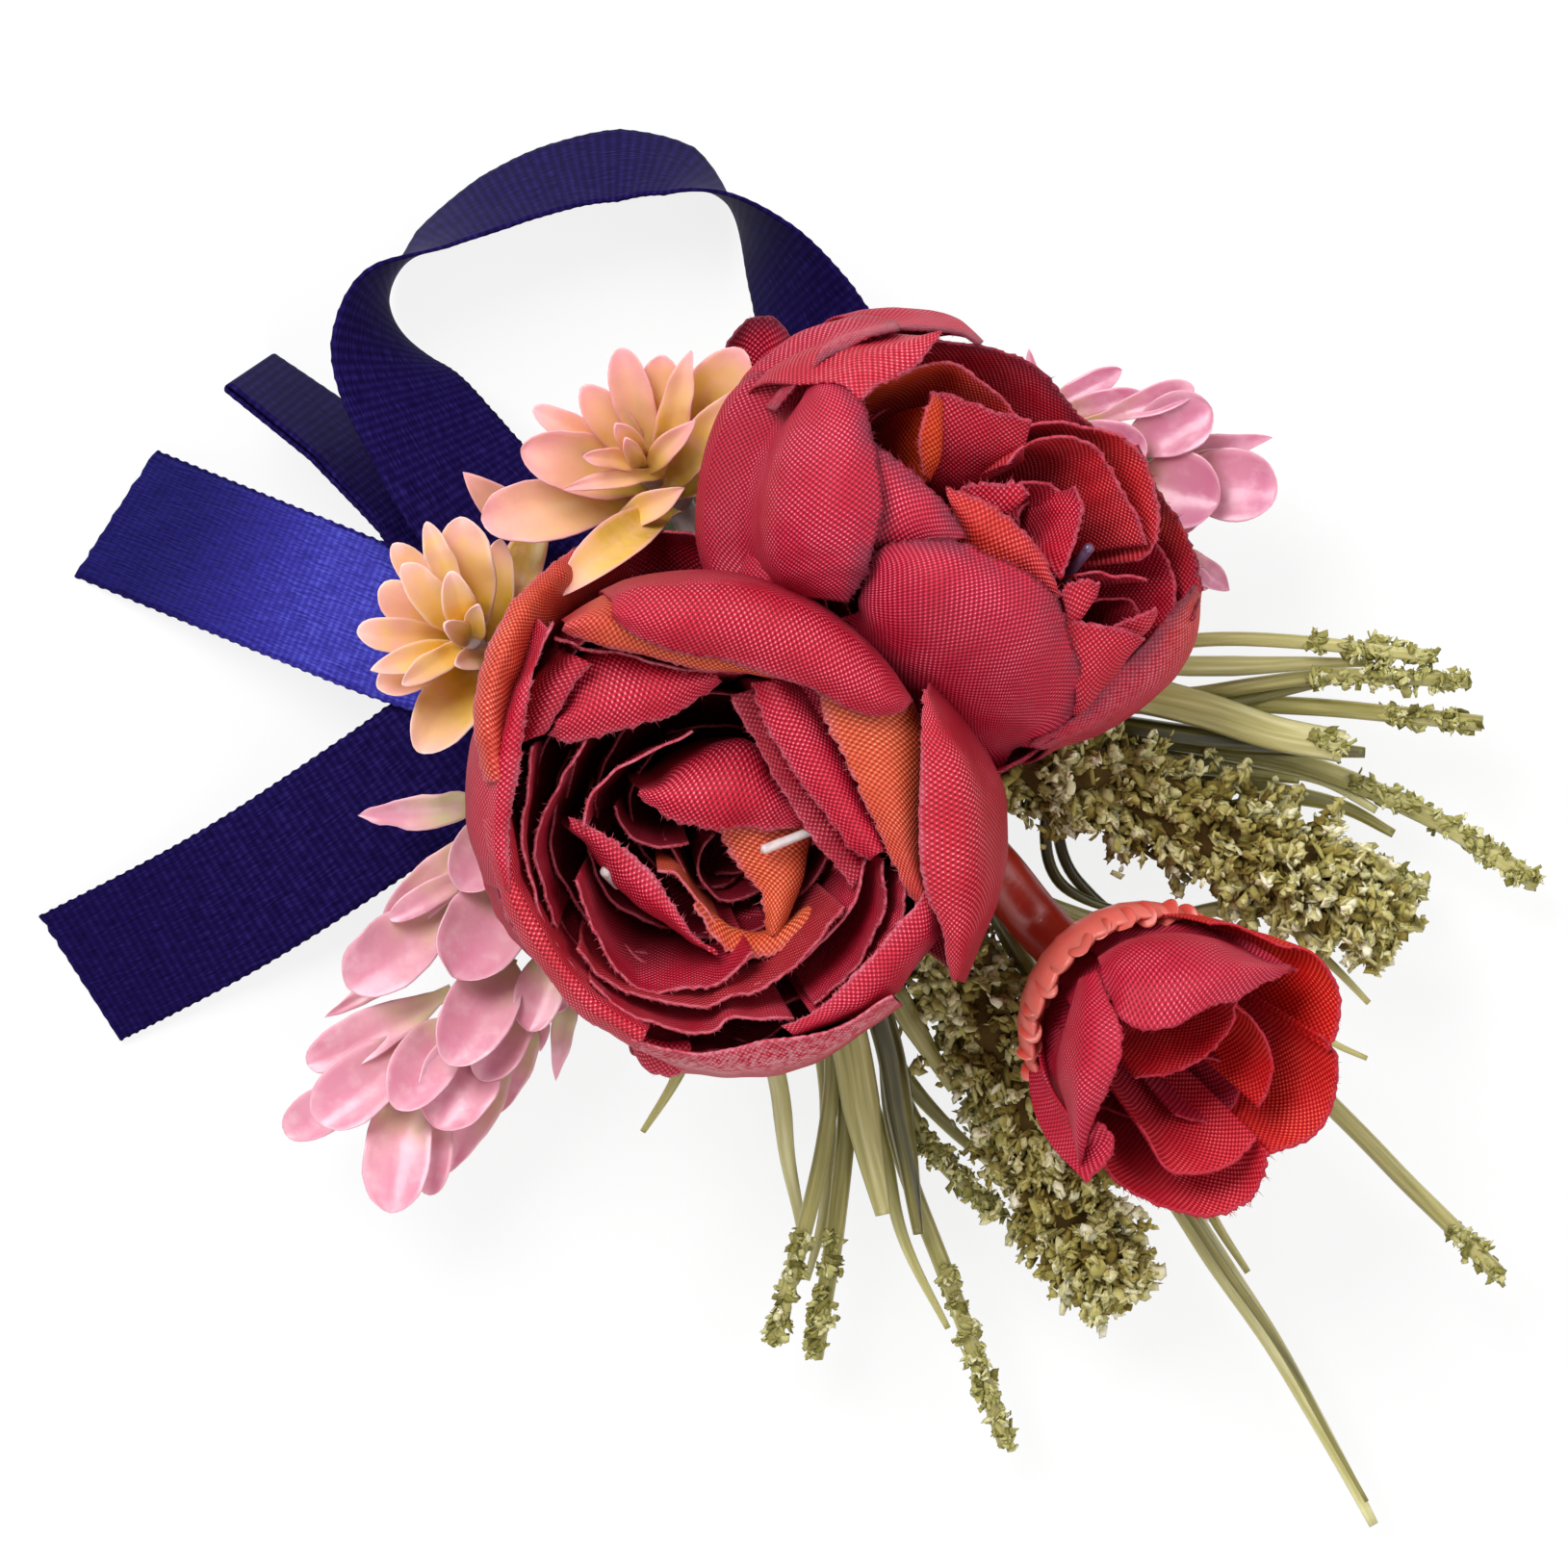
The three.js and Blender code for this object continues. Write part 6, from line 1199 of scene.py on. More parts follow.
# The grasses: each bunch's collar as shares of SPREAD and its height in mm, then its stems and blades as
# (px, py, height) places, width and height in mm, tint (0 dark olive to 1 pale cream), and the share from
# which crumbs cover it (BARE for none)
BARE = 2
SPREAD = 60.0
HUB_MIDDLE = (np.array(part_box("stem_hub")).mean(0)) / MM
GRASS_RIGHT = dict(collar_shares=(0.38, 0.15), level=12.0, stems=[
    ([(1130, 690, 12), (1240, 665, 12), (1360, 668, 12.5), (1490, 682, 13)], 1.2, 1.0, 0.7, 0.7),
    ([(1130, 700, 11.5), (1240, 692, 11), (1330, 690, 11), (1420, 688, 11)], 1.7, 0.8, 0.8, BARE),
    ([(1130, 720, 12), (1240, 722, 12.5), (1300, 712, 13), (1370, 704, 13), (1525, 708, 13.5)],
     1.3, 1.2, 0.45, 0.62),
    ([(1130, 712, 11), (1250, 726, 11.5), (1400, 738, 11.5), (1540, 752, 11.5)], 1.5, 1.1, 0.5, 0.76),
    ([(1120, 715, 12.5), (1180, 722, 13), (1250, 738, 13.6), (1330, 762, 13.6), (1395, 776, 13)],
     3.0, 1.2, 0.75, 0.86),
    ([(1110, 745, 11), (1200, 762, 11.4), (1320, 776, 11.2), (1418, 782, 10.8)], 2.3, 1.9, 0.15, BARE),
    ([(1110, 762, 10.5), (1200, 786, 10.4), (1350, 810, 10)], 1.8, 1.2, 0.25, BARE),
    ([(1130, 745, 9), (1240, 772, 8.5), (1340, 790, 8), (1480, 846, 7), (1598, 918, 6)], 1.7, 1.2, 0.6, 0.6),
    ([(1150, 760, 7.5), (1240, 800, 7), (1320, 822, 6.5), (1400, 840, 6), (1448, 866, 5.8)],
     1.9, 1.0, 0.35, BARE),
    ([(1150, 770, 6.5), (1260, 830, 6), (1360, 868, 5.2), (1482, 926, 4.6)], 1.1, 0.9, 0.5, 0.74),
    ([(1150, 735, 11.8), (1280, 732, 12), (1340, 716, 12), (1390, 704, 12)], 1.4, 0.8, 0.3, BARE),
    ([(1110, 925, 8.5), (1150, 942, 7.6), (1190, 946, 7.6), (1215, 940, 8)], 1.0, 0.8, 0.05, BARE),
    ([(1120, 915, 8), (1170, 955, 7), (1210, 958, 7), (1250, 950, 7.4)], 1.0, 0.8, 0.05, BARE),
    ([(1130, 760, 8), (1260, 792, 7.6), (1380, 812, 7.2), (1430, 842, 7)], 1.6, 0.7, 0.8, BARE),
])
GRASS_LOWER = dict(collar_shares=(0.06, -0.16), level=11.0, stems=[
    ([(735, 1040, 9.5), (712, 1100, 8), (668, 1176, 6.4)], 1.3, 0.8, 0.55, BARE),
    ([(790, 1040, 10), (806, 1115, 8.8), (820, 1210, 7.4), (836, 1302, 6)], 1.6, 0.7, 0.85, BARE),
    ([(850, 1030, 11), (864, 1095, 10.4), (842, 1250, 9.4), (805, 1392, 9)], 1.4, 1.2, 0.5, 0.72),
    ([(862, 1030, 10), (880, 1130, 9.4), (868, 1270, 8.4), (846, 1410, 7.6)], 1.6, 1.1, 0.4, 0.7),
    ([(868, 1020, 12), (882, 1080, 12), (900, 1180, 11.4), (918, 1262, 10.8)], 3.2, 1.0, 0.7, BARE),
    ([(895, 1010, 11), (920, 1080, 11), (940, 1190, 10.4), (955, 1282, 10)], 2.3, 1.9, 0.15, BARE),
    ([(905, 1030, 9), (932, 1180, 8), (985, 1330, 7), (1046, 1502, 6.4)], 1.5, 1.2, 0.5, 0.66),
    ([(905, 1030, 10), (938, 1140, 9.6), (990, 1220, 9), (1040, 1262, 8.6)], 1.4, 1.1, 0.4, 0.6),
    ([(905, 1020, 8), (930, 1100, 7), (985, 1170, 6), (1042, 1222, 5.4)], 1.4, 0.7, 0.75, BARE),
    ([(915, 1010, 11.4), (945, 1060, 11.4), (990, 1132, 11)], 2.0, 0.9, 0.5, BARE),
    ([(850, 1050, 8), (860, 1150, 7), (856, 1260, 6), (838, 1330, 5.6)], 1.4, 0.7, 0.8, BARE),
    ([(880, 1060, 7.6), (915, 1180, 6.8), (936, 1280, 6), (985, 1380, 5.4)], 1.3, 0.6, 0.75, BARE),
])
GRASS_CORNER = dict(collar_shares=(0.26, -0.07), level=10.7, stems=[
    ([(1200, 1010, 9.5), (1340, 1110, 10.6), (1400, 1165, 10.6), (1470, 1236, 10), (1556, 1322, 9.6)],
     1.6, 1.2, 0.55, 0.9),
    ([(1100, 1050, 6.4), (1180, 1180, 6), (1235, 1265, 5.6), (1330, 1410, 4.6), (1428, 1584, 4)],
     2.1, 0.8, 0.8, BARE),
    ([(1110, 1060, 7), (1195, 1200, 7), (1262, 1300, 7), (1345, 1425, 6), (1420, 1560, 5)],
     0.9, 0.6, 0.3, BARE),
    ([(1120, 1080, 7), (1240, 1230, 7), (1268, 1280, 7), (1296, 1322, 6.8)], 1.4, 0.8, 0.4, BARE),
    ([(1160, 960, 8), (1320, 950, 8.6), (1370, 990, 9), (1422, 1042, 8.4)], 1.3, 0.8, 0.6, BARE),
    ([(1180, 980, 7), (1330, 1030, 8), (1380, 1080, 8), (1420, 1100, 7.6)], 1.1, 0.6, 0.7, BARE),
])


# Crumbs in mm: a bunch's own stem, the crumbs of its tips, how thick they lie at the start, middle and
# end of a tip, and how many tufts stand on a mm; then a plume's crumbs, tufts and the lumps of its core
BUNCH_WIDE = 2.6
TIP_CRUMB = 0.42
TIP_GIRTHS = (0.75, 1.35, 0.7)
TUFTS_PER_MM = 4.6
PLUME_CRUMB = 0.66
PLUME_TUFTS = 620
PLUME_SWELL, PLUME_LUMP, LUMP_HEIGHT = 11.0, 4.0, 0.6


def grass(name, bunch, seed):
    """One bunch: a stem from the hub to its collar, the stems and blades that fan out from there, and tufts
    of crumbs over the tips that have them."""
    across, along = bunch["collar_shares"]
    collar = np.array([across * SPREAD, along * SPREAD, bunch["level"]]) + SETTLE
    piece, tips = Piece(), Piece()
    rod(piece, line([HUB_MIDDLE, (HUB_MIDDLE + collar) / 2, collar + unit(collar - HUB_MIDDLE)], 12),
        BUNCH_WIDE, BUNCH_WIDE, seed=seed, tint=0.1)
    for k, (places, wide, high, tint, dusty) in enumerate(bunch["stems"]):
        p = line(np.concatenate([[collar], spot(places)]), 46)
        ends = (0.5, 0.9 if dusty < BARE else 0.4)
        rod(piece, p, wide, high, seed=seed + k, tint=tint, ends=ends, groove=0.35, wander=0.15)
        if dusty < BARE:
            count = int(length_of(p) * (1 - dusty) * TUFTS_PER_MM)
            girth = np.interp(np.linspace(0, 1, len(p)), [dusty, (1 + dusty) / 2, 1], TIP_GIRTHS)
            tufts(tips, p, girth, count, 7, TIP_CRUMB, seed + 40 + k, dusty, 0.35)
    piece.make(name + "_stems", olive, "olive_plastic", name)
    tips.make(name + "_crumbs", foam_pale, "foam_crumb")


def plume(name, places, girth, seed):
    """Foam plume: a thin lumpy core round the route, under tufts that stand out from it."""
    piece = Piece()
    p = line(spot(places), 60)
    s = np.linspace(0, 1, 60)
    taper = np.interp(s, [0, 0.12, 0.7, 0.95, 1], [0.5, 0.85, 1, 0.75, 0.45]) * girth
    taper = taper * (1 + 0.24 * ripple(s[:, None] * len(s), PLUME_SWELL, seed))
    _, side, top = bearings(p)
    c, v = (turned[None, :, None] for turned in circle(20))
    ray = side[:, None] * c + top[:, None] * v * 0.85
    rings = p[:, None] + ray * (taper * 0.5)[:, None, None]
    rings = rings + ray * (ripple(rings, PLUME_LUMP, seed) * LUMP_HEIGHT)[..., None]
    piece.tube(rings)
    tufts(piece, p, taper * 1.12, PLUME_TUFTS, 13, PLUME_CRUMB, seed + 3, 0.0, 0.32)
    piece.make(name + "_crumbs", foam_green, "foam_crumb", name)


grass("grass_right", GRASS_RIGHT, 300)
grass("grass_lower", GRASS_LOWER, 400)
grass("grass_corner", GRASS_CORNER, 500)
plume("plume_right", [(975, 790, 13), (1040, 782, 13.5), (1100, 796, 14), (1180, 824, 13.6),
                      (1290, 880, 13.2), (1390, 930, 12.8), (1446, 972, 12.4)], 6.0, 610)
plume("plume_lower", [(945, 905, 11.5), (985, 985, 10.8), (1020, 1060, 10.2), (1050, 1130, 9.8),
                      (1085, 1220, 9.4), (1125, 1290, 9.2), (1165, 1345, 9)], 5.4, 620)

# Ribbons: half-inch satin, navy. Rows are shares of SPREAD in plan and of the ribbon's own level in
# height, with the roll of the strip about its run in degrees
RIBBON_WIDTH = 12.4
RIBBON_WALL = 0.3
SATIN_RIB = 0.62
BACK_RIB = 0.75
PICOT_STEP = 1.0
PICOT_REACH = 0.1
SELVEDGE_SHARE = 0.93
BOW, WRINKLE = 16.0, 5.0
FRAY_STEP, FRAY_DEPTH, FRAY_FADE = 0.9, 0.12, 0.3
CUT_FADE = 8
FOLD_GAP = 0.9
TAIL_LOWER = dict(level=10.0, shares=[
    (-1.01, -0.235, 0.03, 0), (-0.77, -0.11, 0.26, 0), (-0.55, 0.03, 0.7, 0), (-0.39, 0.14, 0.98, 0),
    (-0.27, 0.195, 1, 0), (-0.15, 0.235, 1, 0)])
TAIL_UPPER = dict(level=11.0, shares=[
    (-0.93, 0.43, 0.03, 0), (-0.82, 0.385, 0.22, 0), (-0.66, 0.32, 0.6, 0), (-0.51, 0.262, 0.86, 0),
    (-0.35, 0.218, 0.98, 0), (-0.15, 0.2, 1, 0)])
LOOP = dict(level=14.0, shares=[
    (0.11, 0.37, 0.9, 176), (0.12, 0.47, 0.86, 168), (0.095, 0.58, 0.76, 145), (0.04, 0.69, 0.64, 136),
    (-0.01, 0.78, 0.54, 116), (-0.07, 0.86, 0.47, 90), (-0.14, 0.905, 0.44, 66),
    (-0.225, 0.915, 0.42, 58), (-0.31, 0.9, 0.42, 60), (-0.395, 0.865, 0.43, 64),
    (-0.485, 0.81, 0.45, 74), (-0.55, 0.74, 0.52, 96), (-0.55, 0.65, 0.66, 126),
    (-0.49, 0.545, 0.86, 144), (-0.41, 0.435, 1, 160), (-0.28, 0.31, 1, 176), (-0.15, 0.23, 1, 180)])
FOLD = dict(level=12.5, shares=[
    (-0.15, 0.215, 1, 0), (-0.36, 0.335, 1, 10), (-0.49, 0.445, 0.66, 48), (-0.61, 0.53, 0.53, 66),
    (-0.735, 0.622, 0.49, 70)])


def strip_frame(ribbon, count):
    """Middle line of a ribbon, and the directions across it and out of its face: across is level and
    square to the run at a roll of 0, and upright at 90."""
    rows = np.array(ribbon["shares"], float)
    places = rows[:, :3] * (SPREAD, SPREAD, ribbon["level"]) + SETTLE
    t = np.concatenate([[0], np.cumsum(np.linalg.norm(np.diff(places, axis=0), axis=1) ** 0.5)])
    s = np.linspace(0, t[-1], count)
    p = glide(places, t, s)
    roll = np.radians(np.interp(s, t, rows[:, 3]))
    way, level, _ = bearings(p)
    across = level * np.cos(roll)[:, None] + UP * np.sin(roll)[:, None]
    across = unit(across - way * (across * way).sum(-1, keepdims=True))
    return p, across, np.cross(way, across), way


def ribbon_strip(name, material, middle, across, out, way, seed, wave_mm=0.16, cut=(0, 0)):
    """Strip of ribbon: its middle line carried across its width, bowed and rippled a little along its
    normals, with thread loops (picots) past each selvedge. Its first end is cut aslant: moved along the
    run by the cut's two lengths in mm, an even one and one that grows from side to side, which fade."""
    run = travel(middle)
    w = np.linspace(-1, 1, 26)
    half = RIBBON_WIDTH / 2
    picot = np.maximum(np.sin(run * FULL_TURN / PICOT_STEP), 0) ** 0.6 * PICOT_REACH
    edge = np.clip((np.abs(w) - SELVEDGE_SHARE) / (1 - SELVEDGE_SHARE), 0, 1) * np.sign(w)
    reach = (w * half)[None] + picot[:, None] * edge[None]
    flat = together(run[:, None], w[None] * half)
    wave = ripple(together(flat[..., 0], flat[..., 1] * 0.4), BOW, seed) * wave_mm
    wave += ripple(flat, WRINKLE, seed + 1) * wave_mm * 0.2
    frayed = ripple(flat[0, :, 1:], FRAY_STEP, seed + 2) * FRAY_DEPTH
    ends = np.exp(-(run / FRAY_FADE)) - np.exp(-((run[-1] - run) / FRAY_FADE))
    grid = middle[:, None] + across[:, None] * reach[..., None] + out[:, None] * wave[..., None]
    slant = np.exp(-run / CUT_FADE)[:, None] * (cut[0] + cut[1] * w)[None]
    grid = grid + way[:, None] * (ends[:, None] * frayed[None] + slant)[..., None]
    marks = together((1 - np.abs(w))[None] * half, run[:, None] / run[-1], 0, 0)
    piece = Piece()
    piece.shell(grid, RIBBON_WALL, flat, marks)
    strip = piece.make(name + "_satin", material, "navy_satin", name)


def woven_satin(name, tones, rib_mm, rib_depth, rough, gloss, gleam, dull):
    """Polyester satin ribbon, woven and dyed navy: long floats run along it, so its shine is drawn out
    across them, over fine crosswise ribs that also shade its tone a little (painted shade); at the slubs a
    few threads are painted bright (painted glints); towards the first end its tone and its shine are
    turned down to a given share (painted shade), so that its highlight lies further along."""
    material, tree = fresh(name)
    flat = node(tree, "UVMap", uv_map="flat_mm")
    x = node(tree, "SeparateXYZ", {0: flat}, "X")
    ribs = node(tree, "Math", {0: x, 1: FULL_TURN / rib_mm}, operation="MULTIPLY")
    ribs = node(tree, "Math", {0: ribs}, operation="SINE")
    long_way = node(tree, "Mapping", {"Vector": flat, "Scale": (0.12, 1.0, 1.0)})
    threads = node(tree, "TexNoise", {"Vector": long_way, "Scale": 5.0, "Detail": 2.0}, "Fac")
    cross_way = node(tree, "Mapping", {"Vector": flat, "Scale": (1.0, 0.1, 1.0)})
    cross = node(tree, "TexNoise", {"Vector": cross_way, "Scale": 2.4, "Detail": 2.0}, "Fac")
    slub = node(tree, "TexNoise", {"Vector": flat, "Scale": 0.5, "Detail": 3.0}, "Fac")
    glint = node(tree, "MapRange", {"Value": cross, "From Min": 0.55, "From Max": 0.8, "To Max": 0.2})
    patch = node(tree, "MapRange", {"Value": slub, "From Min": 0.4, "From Max": 0.7})
    glint = node(tree, "Math", {0: glint, 1: patch}, operation="MULTIPLY")
    # painted light on the threads: the ribs shade the tone a little, the glints at the slubs brighten it
    tone = node(tree, "Math", {0: ribs, 1: 0.1, 2: threads}, operation="MULTIPLY_ADD")
    tone = node(tree, "Math", {0: tone, 1: glint}, operation="ADD")
    # painted highlight and shade along the ribbon: darker and less shiny towards its first end
    along_share = node(tree, "Attribute", out="Fac", attribute_name="glow")
    lit_share = {"Value": along_share, "From Min": 0.08, "From Max": 0.42, "To Min": dull, "To Max": 1.0}
    lit_share = node(tree, "MapRange", lit_share, interpolation_type="SMOOTHSTEP")
    tone = node(tree, "Math", {0: tone, 1: lit_share}, operation="MULTIPLY")
    shade = node(tree, "ValToRGB", {"Fac": tone}, stops=tones)
    shine = node(tree, "Math", {0: lit_share, 1: gloss}, operation="MULTIPLY")
    height = node(tree, "Math", {0: ribs, 1: rib_depth, 2: threads}, operation="MULTIPLY_ADD")
    bump = node(tree, "Bump", {"Height": height, "Distance": 0.06 * MM, "Strength": 0.7})
    along = node(tree, "Tangent", direction_type="UV_MAP", uv_map="flat_mm")
    node(tree, "OutputMaterial", {"Surface": node(tree, "BsdfPrincipled", {
        "Base Color": shade, "Roughness": rough, "Specular IOR Level": shine, "Specular Tint": dye(gleam),
        "Anisotropic": 0.6, "Tangent": along, "Normal": bump})})
    return material


navy_satin = woven_satin("woven_satin_navy_face", [(0.1, "0E0832"), (0.5, "281E7A"), (0.95, "5458BC")],
                         SATIN_RIB, 0.25, 0.4, 0.75, "7078FF", 0.3)
navy_back = woven_satin("woven_satin_navy_back", [(0.1, "080418"), (0.5, "170E40"), (0.95, "2E2468")],
                        BACK_RIB, 0.4, 0.7, 0.05, "9088FF", 0.85)

for name, ribbon, material, seed, held, cut in [
        ("ribbon_tail_lower", TAIL_LOWER, navy_back, 71, "laid", (1.9, -0.6)),
        ("ribbon_tail_upper", TAIL_UPPER, navy_satin, 72, "laid", (-0.2, 1.25)),
        ("ribbon_loop", LOOP, navy_back, 73, "folded", (0, 0))]:
    middle, across, out, way = strip_frame(ribbon, 420)
    ribbon_strip(name, material, middle, across, out, way, seed, cut=cut)

# The fold: two strands of one ribbon, half a gap to each side of the middle line, joined at the far end
# by a half turn of that radius
middle, across, out, way = strip_frame(FOLD, 110)
turn = np.linspace(math.pi / 2, -math.pi / 2, 13)[1:-1, None]
face = out[-1] * np.sin(turn) + way[-1] * np.cos(turn)
doubled = np.concatenate([middle + out * FOLD_GAP / 2, middle[-1] + face * FOLD_GAP / 2,
                          (middle - out * FOLD_GAP / 2)[::-1]])
sideways = np.concatenate([across, np.repeat(across[-1:], len(face), 0), across[::-1]])
ribbon_strip("ribbon_fold", navy_back, doubled, sideways, np.concatenate([out, face, -out[::-1]]),
             unit(np.gradient(doubled, axis=0)), 74, 0.0)

# The bud's cup in mm: how far up the bud's axis its rim lies, its height, its radius at the tube and at
# the rim, its wall, and the tabs round the rim
CUP_RIM = 6.4
CUP_RISE = 7.6
CUP_FOOT = 3.0
CUP_RADIUS = 8.8
CUP_WALL = 0.45
CUP_TABS = 26
TAB_THICK = 0.35
COLLAR_WIDE = 6.6


def cup_calyx(piece, flower, seed):
    """Moulded cup: its radius swells by a sine from the tube to its rim, which rises and falls in round
    scallops. A fringe of small round tabs, each a thin leaf, overlaps the rim. A flange ends the tube."""
    axis, x, y = (flower[way] for way in ("axis", "x", "y"))
    a = np.linspace(0, FULL_TURN, 241)
    s = np.linspace(0, 1, 26)
    scallop = np.abs(np.sin(a * CUP_TABS / 2 + 0.4))
    top = CUP_RISE * (0.93 + 0.07 * scallop**0.6)
    swell = np.sin(s[:, None] * math.pi * 0.56) ** 1.3
    r = CUP_FOOT + (CUP_RADIUS - CUP_FOOT) * swell * (1 + 0.02 * scallop[None])
    h = top[None] * s[:, None] ** 1.15
    base = flower["root"] + axis * (CUP_RIM - CUP_RISE)
    p = base + axis * h[..., None] + x * (r * np.cos(a))[..., None] + y * (r * np.sin(a))[..., None]
    marks = together((1 - s)[:, None] * CUP_RISE, s[:, None], 0, scallop[None])
    piece.shell(p, CUP_WALL, together(a[None] * r, h), marks)
    rng = np.random.default_rng(seed)
    for turn in (np.arange(CUP_TABS) + 0.5) * FULL_TURN / CUP_TABS:
        ray = x * math.cos(turn) + y * math.sin(turn)
        low = base + axis * CUP_RISE * 0.7 + ray * (CUP_RADIUS * 0.99)
        high = base + axis * CUP_RISE * rng.uniform(0.96, 1.1)
        high = high + ray * (CUP_RADIUS * rng.uniform(1.0, 1.05))
        leaf(piece, low, high, rng.uniform(1.7, 2.6), TAB_THICK, blunt=0.5, cup=0.1, tint=rng.uniform(),
             count=12, around=12)
    ends = base + axis * np.array([-0.7, 0.5])[:, None]
    rod(piece, line(ends, 8), COLLAR_WIDE, COLLAR_WIDE, around=28, ends=(1.0, 1.0))


def moulded_coral(name, tones, thin, clear):
    """Soft polyethylene, moulded in coral: light passes its thin tabs and rims, its tone is cloudy, and it
    is waxy and wet-looking."""
    material, tree = fresh(name)
    spots = node(tree, "TexCoord", out="Object")
    reach = node(tree, "Attribute", out="Fac", attribute_name="glow")
    cloud = node(tree, "TexNoise", {"Vector": spots, "Scale": 0.4 / MM, "Detail": 3.0}, "Fac")
    shade = node(tree, "ValToRGB", {"Fac": cloud}, stops=tones)
    tip = node(tree, "MapRange", {"Value": reach, "From Min": 0.45, "From Max": 1.0, "To Max": 0.75})
    shade = node(tree, "Mix", {0: tip, 6: shade, 7: dye(thin)}, 2, data_type="RGBA")
    pits = node(tree, "TexNoise", {"Vector": spots, "Scale": 1.7 / MM, "Detail": 3.0}, "Fac")
    bump = node(tree, "Bump", {"Height": pits, "Distance": 0.07 * MM, "Strength": 0.5})
    node(tree, "OutputMaterial", {"Surface": node(tree, "BsdfPrincipled", {
        "Base Color": shade, "Roughness": 0.36, "IOR": 1.45, "Normal": bump, "Subsurface Weight": clear,
        "Subsurface Radius": (1.0, 0.35, 0.25), "Subsurface Scale": 1.2 * MM, "Coat Weight": 0.08,
        "Coat Roughness": 0.2})})
    return material


coral = moulded_coral("moulded_polyethylene_coral", [(0.3, "C03A30"), (0.7, "D0564A")], "DC7468", 0.3)
# a darker copy of the coral plastic for the tube under the bud: painted shade
coral_tube_shaded = moulded_coral("extruded_polyethylene_coral_tube", [(0.3, "7C1408"), (0.7, "9A2212")],
                           "A02818", 0.12)
cup = Piece()
cup_calyx(cup, BUD, 77)
cup.make("bud_cup", coral, "coral_plastic", "bud_calyx")
TUBE_WIDE = 4.6
tube = Piece()
tube_foot = BUD["root"] - BUD["axis"] * 3.4
tube_bend = tube_foot * (0.7, 0.7, 0.0) + (1.2, 3.4, 14.8)
rod(tube, line([HUB_MIDDLE, tube_bend, tube_foot + (-2.4, 2.4, -1.0), BUD["root"]], 40), TUBE_WIDE,
    TUBE_WIDE, around=24, ends=(1.0, 1.0))
tube.make("bud_tube", coral_tube_shaded, "coral_plastic", "bud_stem")


def cloudy_plastic(name, tones):
    """Unpigmented polyethylene, moulded: cloudy and half clear, with faint swirls and a smooth skin."""
    material, tree = fresh(name)
    spots = node(tree, "TexCoord", out="Object")
    swirl = node(tree, "TexNoise", {"Vector": spots, "Scale": 1.2 / MM, "Detail": 2.0}, "Fac")
    shade = node(tree, "ValToRGB", {"Fac": swirl}, stops=tones)
    bump = node(tree, "Bump", {"Height": swirl, "Distance": 0.05 * MM, "Strength": 0.3})
    node(tree, "OutputMaterial", {"Surface": node(tree, "BsdfPrincipled", {
        "Base Color": shade, "Roughness": 0.28, "IOR": 1.5, "Normal": bump, "Transmission Weight": 0.3,
        "Subsurface Weight": 0.2, "Subsurface Scale": 1.0 * MM})})
    return material


def peg(piece, a, b, thick):
    """Plastic peg between two places in mm: a round rod that swells to its tip, whose end is a half
    ball."""
    way = unit(b - a)
    side = unit(np.cross(way, [0.3, 0.2, 1.0]))
    s = np.linspace(0, 1, 24)
    ball = np.clip((1 - s) * np.linalg.norm(b - a) / (thick / 2), 0, 1)
    r = thick / 2 * np.sqrt(np.maximum(1 - (1 - ball) ** 2, 0.01)) * (0.86 + 0.14 * s)
    c, v = (turned[None, :, None] for turned in circle(14))
    piece.tube(a + s[:, None, None] * (b - a) + r[:, None, None] * (c * side + v * np.cross(way, side)))


clear = cloudy_plastic("moulded_clear_polyethylene", [(0.3, "D8C4C4"), (0.7, "EFE8E6")])
# a darker, plum-tinted copy of the clear plastic for rose B's peg tip among the petals: painted shade
shaded_clear = cloudy_plastic("moulded_clear_polyethylene_plum_shaded", [(0.3, "5A3A5C"), (0.7, "7A5A78")])

# The peg tips that show between petals: both ends as (px, py, height), and thickness in mm
for name, material, tips in [
        ("rose_a_pegs", clear, [([(846, 862, 31.5), (790, 884, 32.5)], 0.85),
                                ([(642, 919, 31.0), (627, 903, 33.5)], 1.0)]),
        ("rose_b_peg_tip", shaded_clear, [([(1106, 602, 34.0), (1134, 566, 37.0)], 0.95)])]:
    piece = Piece()
    for places, thick in tips:
        peg(piece, *spot(places), thick)
    piece.make(name, material, "clear_peg")

# Rosette pegs in mm: their width, how far below the seat their bend lies, and the flange that the leaves
# rest on, its width and its two faces below the seat; then for each its seat, the way it stands and its
# length
PEG_WIDE = 2.4
PEG_BEND = 2.6
BEND_SAG = 0.6
FLANGE_WIDE = 4.2
FLANGE_LOW, FLANGE_HIGH = 1.9, 1.3
for name, seat, way, length in [
        ("succulent_large_peg", (-9.54, 27.48, 18.6), (-0.266, 0.240, 0.934), 6.6),
        ("succulent_small_peg", (-25.26, 14.64, 19.6), (0.0, 0.087, 0.996), 6.0)]:
    seat = np.array(seat) + SETTLE
    way = np.array(way)
    foot = seat - way * PEG_BEND
    bend = foot * (0.5, 0.5, 1) + HUB_MIDDLE * (0.5, 0.5, 0) - UP * BEND_SAG
    piece = Piece()
    rod(piece, line([HUB_MIDDLE, bend, foot, seat, seat + way * length], 44), PEG_WIDE, PEG_WIDE,
        around=20, ends=(1.0, 0.9))
    rod(piece, line([seat - way * FLANGE_LOW, seat - way * FLANGE_HIGH], 6), FLANGE_WIDE, FLANGE_WIDE,
        around=24, ends=(1.1, 1.0))
    piece.make(name + "_moulded", clear, "clear_peg", name)


# Felt in mm: how far its edge is rounded in, and the length and height of its fuzz
FELT_EDGE = 0.8
FUZZ, FUZZ_HEIGHT = 1.1, 0.08


